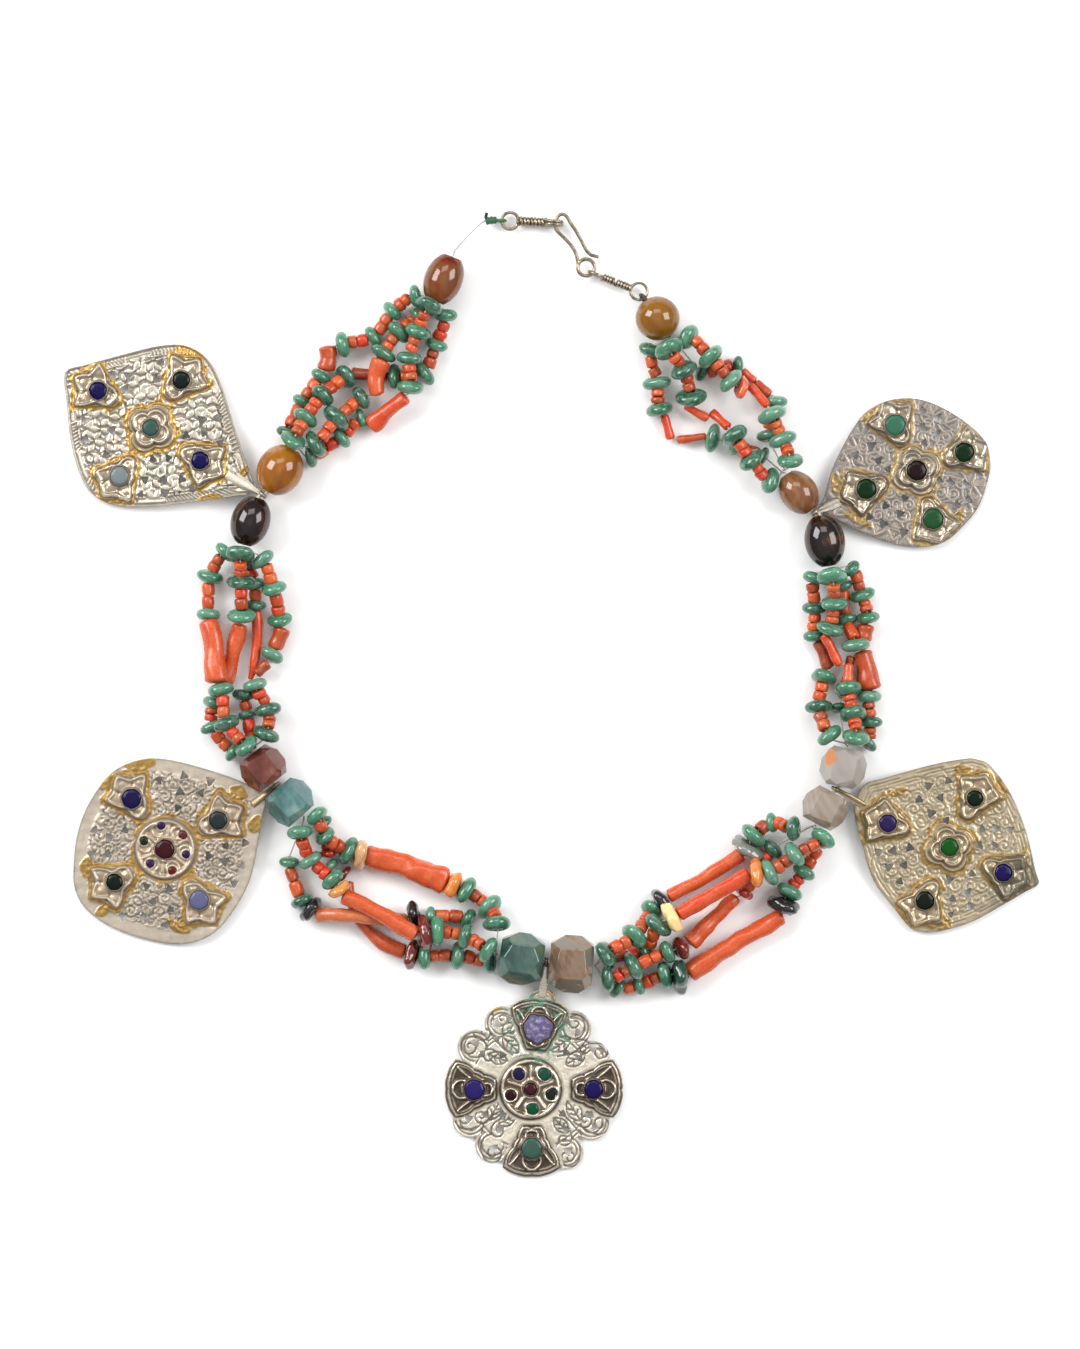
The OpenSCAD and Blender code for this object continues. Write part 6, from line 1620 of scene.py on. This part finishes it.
def plate_mesh(body, n):
    shape, xy, where, solid, top, marks = height_field(n)
    full = np.full(len(xy), FAR)
    full[where] = solid
    grid = full.reshape(shape)
    gx, gy = np.gradient(grid, PLATE_STEP)
    cells, place = cut_sheet(grid, gx, gy, xy, PLATE_STEP)
    used, quads = numbered(corners(np.arange(grid.size).reshape(shape))[cells], grid.size)
    height = np.full(len(xy), PLATE_T)
    height[where] = top
    tone = np.zeros((len(xy), 3))
    tone[where] = marks
    front = np.concatenate([place[used], height[used][:, None]], 1)
    # the wall round the edge and the piercings
    edges = np.concatenate([quads[:, [k, (k + 1) % 4]] for k in range(4)])
    count = len(used)
    rim = edges[~np.isin(edges[:, 0] * count + edges[:, 1], edges[:, 1] * count + edges[:, 0])]
    ids = np.unique(rim)
    foot = front[ids]
    foot[:, 2] = BACK_Z
    below = np.full(count, -1)
    below[ids] = np.arange(len(ids)) + count
    wall = np.stack([rim[:, 1], rim[:, 0], below[rim[:, 0]], below[rim[:, 1]]], 1)
    tone = np.concatenate([tone[used], np.tile((0.0, 0.5, 0.0), (len(ids), 1))])
    body.add(laid(n, np.concatenate([front, foot])), np.concatenate([quads, wall]), 0, WHITE, tone)
    # the back, on a coarser grid cut to the same edge
    rough = grid[::2, ::2]
    points = xy.reshape(*shape, 2)[::2, ::2].reshape(-1, 2)
    cells, place = cut_sheet(rough, gx[::2, ::2], gy[::2, ::2], points, 2 * PLATE_STEP)
    cells &= grid[1::2, 1::2][:cells.shape[0], :cells.shape[1]] < 0.1
    quads = corners(np.arange(rough.size).reshape(rough.shape))[cells][:, [0, 3, 2, 1]]
    used, quads = numbered(quads, rough.size)
    back = np.concatenate([place[used], np.full((len(used), 1), BACK_Z)], 1)
    body.add(laid(n, back), quads, 0, WHITE, np.tile((0.0, 0.25, 0.0), (len(used), 1)))


def turned(body, n, x, y, rows, slot, tint, around=28, shape=None, marks=None):
    """A small turned piece that stands on a plate at x, y."""
    mid = middle(n)
    angle = full_turn(around)
    ratio = np.ones(around) if shape is None else shape(angle)
    rings = []
    for r, z in rows:
        x_at, y_at = x - mid[0] + r * ratio * np.cos(angle), y - mid[1] + r * ratio * np.sin(angle)
        rings.append(np.stack([x_at, y_at, np.full(around, z)], 1))
    body.tube(laid(n, np.concatenate(rings)).reshape(len(rows), around, 3), slot, tint)
    if marks is not None:
        body.marks[-1][:] = marks


def raw_outline(a):
    knots = np.radians([e[0] for e in RAW_STONE] + [360 + RAW_STONE[0][0]])
    sizes = [e[1] for e in RAW_STONE] + [RAW_STONE[0][1]]
    ragged = 1 + 0.05 * np.sin(3 * a + 1) + 0.05 * np.sin(7 * a)
    return np.interp(a % (2 * math.pi), knots, sizes) / 4.6 * ragged


def stones_and_collars(body, n):
    for k, (x, y, r, _turn, kind) in enumerate(SETTINGS[n]):
        tint = tuple(0.5 * c for c in srgb(*STONE_TINTS[n][k]))
        seat = PLATE_T + (0.65 if kind == DISC else 1.0) * BOSS_H - 0.6
        rim = seat + 0.6 + COLLAR_H
        if r > RAW_FROM:
            collar = [(5.5, 1.6), (5.3, rim - 1.0), (5.0, rim - 0.5), (4.7, rim - 0.45), (4.6, seat)]
            stone = [(4.45, seat), (4.45, rim + 0.5), (4.1, rim + 0.95), (3.2, rim + 1.25), (1.6, rim + 1.35),
                     (0.3, rim + 1.4)]
            turned(body, n, x, y, collar, 0, WHITE, 40, raw_outline, (0.25, 0.5, 1))
            turned(body, n, x, y, stone, 2, tint, 40, raw_outline)
            continue
        r *= 1.1

        def ragged(a):
            return 1 + 0.02 * np.sin(3 * a + k) + 0.02 * np.sin(7 * a + 2 * k) + 0.015 * np.sin(11 * a)

        collar = [(r + COLLAR_T * 0.95, 1.4), (r + COLLAR_T * 0.7, rim - 0.8),
                  (r + COLLAR_T * 0.3, rim - 0.35),
                  (r + 0.08, rim - 0.15), (r + 0.02, rim - 0.25), (r, seat)]
        stone = [(r - 0.02, seat), (r - 0.1, rim - 0.45), (r * 0.88, rim - 0.15), (r * 0.6, rim + 0.06),
                 (r * 0.3, rim + 0.14), (0.1, rim + 0.16)]
        turned(body, n, x, y, collar, 0, WHITE, 32, ragged, (0, 0.45, 1))
        turned(body, n, x, y, stone, 1, tint, 32, ragged)
    base = PLATE_T + 0.9
    for x, y, r, tint in DISC_STONES.get(n, []):
        stone = [(r - 0.02, base - 0.4), (r - 0.02, base + 0.15), (r * 0.8, base + 0.4),
                 (r * 0.4, base + 0.52),
                 (0.12, base + 0.56)]
        turned(body, n, x, y, stone, 1, tuple(0.6 * c for c in srgb(*tint)), 20)


# Stones with a larger radius than this are raw
RAW_FROM = 4
# The agates on both sides of each bail
PAIRS = [(2, 3), (4, 5), (6, 7), (8, 9), (10, 11)]
# Half widths of each bail's strip from the plate to the thread, at these shares of its length
BAIL_AT = [0, 0.15, 0.45, 0.8, 1]
BAIL_WIDTHS = {1: [1.84, 2.3, 1.84, 0.95, 0.8], 2: [1.4, 1.4, 1.12, 0.8, 0.8],
               3: [1.25, 1.35, 1.15, 1.0, 0.95],
               4: [1.15, 1.15, 1.15, 0.8, 0.8], 5: [1.19, 1.785, 1.7, 1.0, 0.8]}
# Gilt of each bail's strip and of its loop, and how far the strip has the tone of a boss
BAIL_MARKS = {1: (0.15, 0.15, 0), 2: (0.4, 0.35, 1), 3: (0.0, 0.15, 0), 4: (0.4, 0.35, 1), 5: (0.15, 0.35, 0)}


def ring_pos(n):
    a, b = PAIRS[n - 1]
    return np.array([PENDANTS[n - 1][4], PENDANTS[n - 1][5], (agate_pos(a)[2] + agate_pos(b)[2]) / 2])


def bail(body, n):
    """Strip from the plate to the thread and the loop round the thread."""
    row, ring = PENDANTS[n - 1], ring_pos(n)
    foot = np.array(row[7:9], float)
    rise = math.sin(math.radians(PLATE_TILT))
    foot_z = 0.1 + row[3] * rise + PLATE_T + float((foot - middle(n)) @ plan(row[2])[:2]) * rise
    toward = unit([ring[0] - foot[0], ring[1] - foot[1], 0])
    side = np.array([-toward[1], toward[0], 0])
    start = np.array([foot[0], foot[1], foot_z - 0.2]) - toward * 1.2
    end = np.array([ring[0], ring[1], ring[2] - 1.3])
    t = np.linspace(0, 1, 24)
    path = start + np.outer(t, end - start)
    width = np.interp(t, BAIL_AT, BAIL_WIDTHS[n])
    angle = full_turn(20)
    fold = 0.2 * np.cos(3 * angle) * (np.sin(angle) > 0) * (n != 3)
    rise = np.outer(np.sign(np.sin(angle)) * np.abs(np.sin(angle)) ** 0.7 * (0.42 + fold), (0, 0, 1))
    rings = [p + np.outer(np.cos(angle) * w, side) + rise for p, w in zip(path, width)]
    body.tube(rings)
    gilt, loop_gilt, tone = BAIL_MARKS[n]
    body.marks[-1][:] = (gilt, 0.15, tone)
    profile = np.array([(-0.5, 1.0), (-0.55, 1.3), (-0.4, 1.55), (0, 1.62), (0.4, 1.55), (0.55, 1.3),
                        (0.5, 1.0),
                        (0, 0.95)])
    spin(body, ring, plan(row[6]), profile, 28, 0, WHITE, 0.02, 1.5, 5 * n)
    body.marks[-1][:] = (loop_gilt, 0.3, 1)


# Plate tint, boss tint, dark tint of dirt and of painted shade in hollows, gilt, roughness and share of metal
# of each pendant
SILVER = {
    1: ((210, 200, 184), (174, 158, 136), (54, 44, 34), (146, 118, 68), 0.3, 0.85),
    2: ((188, 176, 160), (170, 152, 130), (100, 86, 68), (138, 110, 62), 0.44, 0.7),
    3: ((248, 238, 220), (128, 108, 84), (44, 32, 22), (176, 152, 108), 0.2, 0.85),
    4: ((182, 168, 142), (172, 154, 128), (92, 76, 56), (132, 108, 66), 0.35, 0.85),
    5: ((156, 147, 138), (174, 160, 138), (76, 68, 60), (130, 110, 76), 0.34, 0.85)}
# Middles of the green bloom on the third pendant and of the dark spot on the fourth
BLOOM, DARK_SPOT = (-4.3, -106.8, 5), (154, -64, 2)


def scaled(colour, share):
    return srgb(*[min(255, int(c * share)) for c in colour])


def silver_material(n):
    """Worn plate with gilt solder and painted shade in its hollows: base tint, frost and warmth differ from
    pendant to pendant.
    """
    plate, boss_tint, deep, gold, rough, metal = SILVER[n]
    mat, g = material("silver_%d_look" % n)
    gilt, groove_and_shade, boss = (g.attribute(k).outputs["Fac"] for k in ("gilt", "groove_and_shade", "height"))
    cloud = g.noise(140, 4, 0.6, 0.8)
    fine = g.noise(1600, 4, 0.65)
    tone = g.mix(boss, srgb(*plate), srgb(*boss_tint))
    tone = g.mix(g.step(cloud, 0.4, 0.7, 0.0, 0.35), tone, scaled(plate, 0.8))
    tone = g.mix(g.step(fine, 0.45, 0.75, 0.0, 0.2), tone, srgb(*deep))
    # darker towards the dark tint along the groove_and_shade mark: dirt in chased lines, and painted shade in
    # the hollows of the relief
    worn = g.times(groove_and_shade, g.step(g.noise(500, 3), 0.2, 0.6, 0.75, 1.0))
    tone = g.mix(g.times(worn, 0.95), tone, scaled(deep, 0.7))
    gold_tone = g.mix(g.step(g.noise(520, 4, 0.6, 1.0), 0.35, 0.65), srgb(*gold), scaled(gold, 1.22))
    tone = g.mix(g.step(gilt, 0.2, 0.8), tone, gold_tone)
    if n == 3:
        away = g.distance(BLOOM)
        ring = g.times(g.step(away, 0.0055, 0.0075), g.step(away, 0.0095, 0.0135, 1.0, 0.0))
        spot = g.times(ring, g.step(g.noise(420, 4, 0.7, 1.0), 0.48, 0.62))
        tone = g.mix(g.times(spot, 0.8), tone, srgb(96, 150, 126))
    if n == 4:
        near = g.step(g.distance(DARK_SPOT), 0.008, 0.019, 1.0, 0.0)
        spot = g.times(near, g.step(g.noise(300, 4, 0.7), 0.25, 0.5))
        tone = g.mix(g.times(spot, 0.75), tone, srgb(84, 84, 74))
    roughness = g.math("ADD", g.step(fine, 0.3, 0.7, rough - 0.06, rough + 0.14), g.times(groove_and_shade, 0.2),
                       clamp=True)
    roughness = g.math("SUBTRACT", roughness, g.times(boss, 0.08))
    metallic = g.times(g.math("SUBTRACT", 1.0, g.times(worn, 0.5)), metal)
    grit = g.math("ADD", g.noise(2600 if n != 2 else 1500, 4, 0.7), g.times(g.noise(700, 3), 0.8))
    relief = g.times(grit, g.math("SUBTRACT", 1.0, g.times(boss, 0.75)))
    bump = g.bump(relief, 0.5 if n == 2 else 0.3, 0.00012)
    g.surface(Base_Color=tone, Metallic=metallic, Roughness=roughness, Normal=bump)
    return mat


def stone_materials():
    gem, g = material("stone_look")
    cloud = g.step(g.noise(900, 4, 0.6, 1.0), 0.35, 0.7)
    colour = g.mix(g.times(cloud, 0.25), g.tint(), (0.35, 0.4, 0.45), "OVERLAY")
    g.surface(Base_Color=colour, Roughness=g.step(g.noise(2000, 3), 0.3, 0.8, 0.12, 0.3),
              Specular_IOR_Level=0.2,
              Normal=g.bump(g.noise(1200, 3), 0.5, 0.0002))
    raw, g = material("raw_stone_look")
    crumb = g.noise(620, 8, 0.75)
    colour = g.mix(g.step(crumb, 0.45, 0.7, 0.0, 0.7), g.tint(), srgb(190, 182, 206))
    colour = g.mix(g.step(g.noise(600, 5, 0.7), 0.5, 0.62, 0.0, 0.75), colour, srgb(70, 58, 118))
    g.surface(Base_Color=colour, Roughness=0.75, Normal=g.bump(crumb, 0.8, 0.0005))
    return gem, raw


def pendants():
    gem, raw = stone_materials()
    for n in range(1, 6):
        body = Body("pendant_%d_look" % n)
        plate_mesh(body, n)
        stones_and_collars(body, n)
        bail(body, n)
        body.build([silver_material(n), gem, raw], ["pendant_%d" % n, "stones_%d" % n])


pendants()


# Clasp and main thread
def wire_material():
    mat, g = material("wire_look")
    fine = g.noise(2200, 4, 0.65)
    tone = g.mix(g.step(g.noise(500, 4, 0.6), 0.35, 0.7), srgb(166, 154, 134), srgb(118, 106, 88))
    tone = g.mix(g.step(fine, 0.5, 0.8, 0, 0.5), tone, srgb(66, 56, 44))
    g.surface(Base_Color=tone, Metallic=0.95, Roughness=g.step(fine, 0.3, 0.7, 0.2, 0.4),
              Normal=g.bump(fine, 0.35, 0.0001))
    return mat


def closed_ring(body, centre, radius, normal, thick):
    side, up = basis(normal)
    angle = full_turn(12)
    rings = []
    for a in full_turn(56):
        out = side * math.cos(a) + up * math.sin(a)
        ring = np.outer(np.cos(angle), out) + np.outer(np.sin(angle), unit(normal))
        rings.append(centre + radius * out + thick * ring)
    body.tube(rings, closed=True)


def coil(body, a, b, core, thick, seed):
    """Wire wrapped from a to b: a true helix over a straight wire."""
    axis = unit(b - a)
    side, up = basis(axis)
    length = np.linalg.norm(b - a)
    turns = length / (2 * thick * 1.03)
    t = np.linspace(0, 1, int(turns * 18))
    angle = 2 * math.pi * turns * t
    r = core + 0.05 * np.sin(angle * 0.31 + seed)
    around = np.outer(np.cos(angle) * r, side) + np.outer(np.sin(angle) * r, up)
    path = a + np.outer(t * length, axis) + around
    body.tube(sweep_rings(path, thick, 8))
    wire(body, [a, (a + b) / 2, b], thick)


def turn_z(v, degrees):
    d = plan(degrees)
    return np.array([v[0] * d[0] - v[1] * d[1], v[0] * d[1] + v[1] * d[0], v[2]])


# Places along the hook, the clear thread to the green knot, and the dark tail at agate 12
HOOK = [
    (15.1, 139.8), (13.9, 140.2), (12.6, 140.6), (11.2, 142), (9.4, 145.4), (7.6, 148.6), (6.2, 150.6),
    (5.3, 152.2), (4.4, 153.3), (3.2, 153.6), (2.2, 153), (1.6, 151.9), (1.3, 150.6), (1.3, 149.2),
    (2.2, 147.8),
    (4, 146), (5.9, 144), (7.4, 141.8), (8.2, 139.6), (8.5, 137.8)]
THREAD_END = [
    (-30.6, 142, 6.8), (-26.5, 146.8, 4.8), (-21.8, 151.2, 3.1), (-19.2, 151.6, 3.1), (-17.4, 151.6, 3.5),
    (-16.2, 151.6, 3.45), (-15.2, 151.6, 3), (-14.8, 151.6, 2.1), (-15.2, 151.6, 1.1), (-16.2, 151.6, 0.75),
    (-17.1, 151.6, 0.95)]
THREAD_TAIL = [
    (29.5, 127, 6.9), (28.8, 127.6, 5.6), (28.5, 127.7, 3.8), (28.6, 127.5, 2.4), (29.2, 126.5, 1.8),
    (29.8, 125.6, 2)]
KNOT = [(-1.6, 0.7), (-1.65, 1.0), (-1.2, 1.25), (-0.4, 1.1), (0, 1.35), (0.6, 1.1), (1.2, 1.2), (1.75, 0.9),
        (1.7, 0.7), (0, 0.65)]
KNOT_TAIL = [(-20.6, 151.9, 3.6), (-21.0, 152.6, 3.4), (-20.9, 153.3, 3.2), (-20.7, 154.0, 3.0)]
KNOT_GREEN = srgb(56, 104, 70)
WIRE_Z = WIRE_R + RING_R + 0.05


def eye_link(mat):
    """Coil with a doubled ring at one end and a flat one at the other, tipped 4 degrees."""
    base = np.array([0.6, 150.8, WIRE_Z])
    tip = plan(4)

    def link(x, y, z):
        return base + turn_z((x * tip[0] + z * tip[1], y, -x * tip[1] + z * tip[0]), 177)

    body = Body("eye_link_look")
    for y in (-0.42, 0.42):
        closed_ring(body, link(0, y * 1.15, 0), RING_R, link(0, 1.0, 0) - base, WIRE_R * 1.1)
    coil(body, link(2.5, 0, 0), link(11.3, 0, 0), 1.1, 0.55, 1)
    closed_ring(body, link(11.2 + RING_R, 0, 0), RING_R, link(0, 0, 1.0) - base, WIRE_R * 1.1)
    body.build([mat], ["eye_link"])


def hook(mat):
    body = Body("hook_look")
    wire(body, [(x, y, WIRE_Z) for x, y in HOOK], WIRE_R * 1.15, WHITE, 12, 0.35)
    closed_ring(body, np.array([11.1, 136.5, WIRE_Z]), RING_R, (0, 0, 1), WIRE_R * 1.15)
    body.build([mat], ["hook"])


def hook_link(mat):
    base, turn = np.array([14.3, 134.3, WIRE_Z]), -21.7

    def at(along):
        return base + turn_z((along, 0, 0), turn)

    body = Body("hook_link_look")
    closed_ring(body, base, 2.4, turn_z((0, 1, 0), turn), WIRE_R * 1.1)
    coil(body, at(2.3), at(6.4), 0.9, 0.48, 2)
    coil(body, at(7.0), at(12), 0.9, 0.48, 3)
    closed_ring(body, at(12 + RING_R), RING_R, (0, 0, 1), WIRE_R * 0.96)
    body.build([mat], ["hook_link"])


def knot():
    mat = thread_material("knot_look", (3500, 4), 0.7, (20, 44, 30), "MIX", 0.75, (0.8, 0.0002))
    body = Body("knot_look")
    place, axis = np.array([-19.3, 151.6, 3.15]), unit([1, 0.06, 0.06])
    spin(body, place, axis, np.array(KNOT), 24, 0, KNOT_GREEN, 0.08, 1.4, 8)
    wire(body, KNOT_TAIL, 0.55, srgb(26, 26, 28), 10, 0.3)
    body.build([mat], ["knot"])


def main_thread():
    body = Body("main_thread_look")
    mat = thread_material("main_thread_material", (2400, 3), 0.4, (150, 140, 128), "MULTIPLY", 0.6,
                          (0.4, 0.0001))
    for n, (a, b) in enumerate(PAIRS, 1):
        path = [agate_end(a, -1, 0.1), agate_end(a, 1, -0.3), ring_pos(n), agate_end(b, -1, -0.3),
                agate_end(b, 1, 0.1)]
        wire(body, path, 0.6, srgb(206, 198, 186), 10, 1.0)
    start = [agate_end(1, 1, 0.1), agate_end(1, -1, 0.1)]
    end = [np.array(p) for p in THREAD_END]
    # two clear threads that meet where the knot begins
    for side in (-1, 1):
        shift = np.array([0.42 * side, 0.34 * side, 0.1 * side])
        path = start + [p + shift * max(0, 1 - k / 3) for k, p in enumerate(end)]
        wire(body, path, 0.24 if side < 0 else 0.23, srgb(176, 176, 180), 8, 0.8)
    wire(body, end[3:], 0.52, KNOT_GREEN, 10, 0.3)
    path = [agate_end(12, -1, 0.1), agate_end(12, 1, 0), *THREAD_TAIL]
    wire(body, path, 0.55, srgb(60, 50, 42), 10, 0.5)
    body.build([mat], ["main_thread"])


WIRE = wire_material()
eye_link(WIRE)
hook(WIRE)
hook_link(WIRE)
knot()
main_thread()
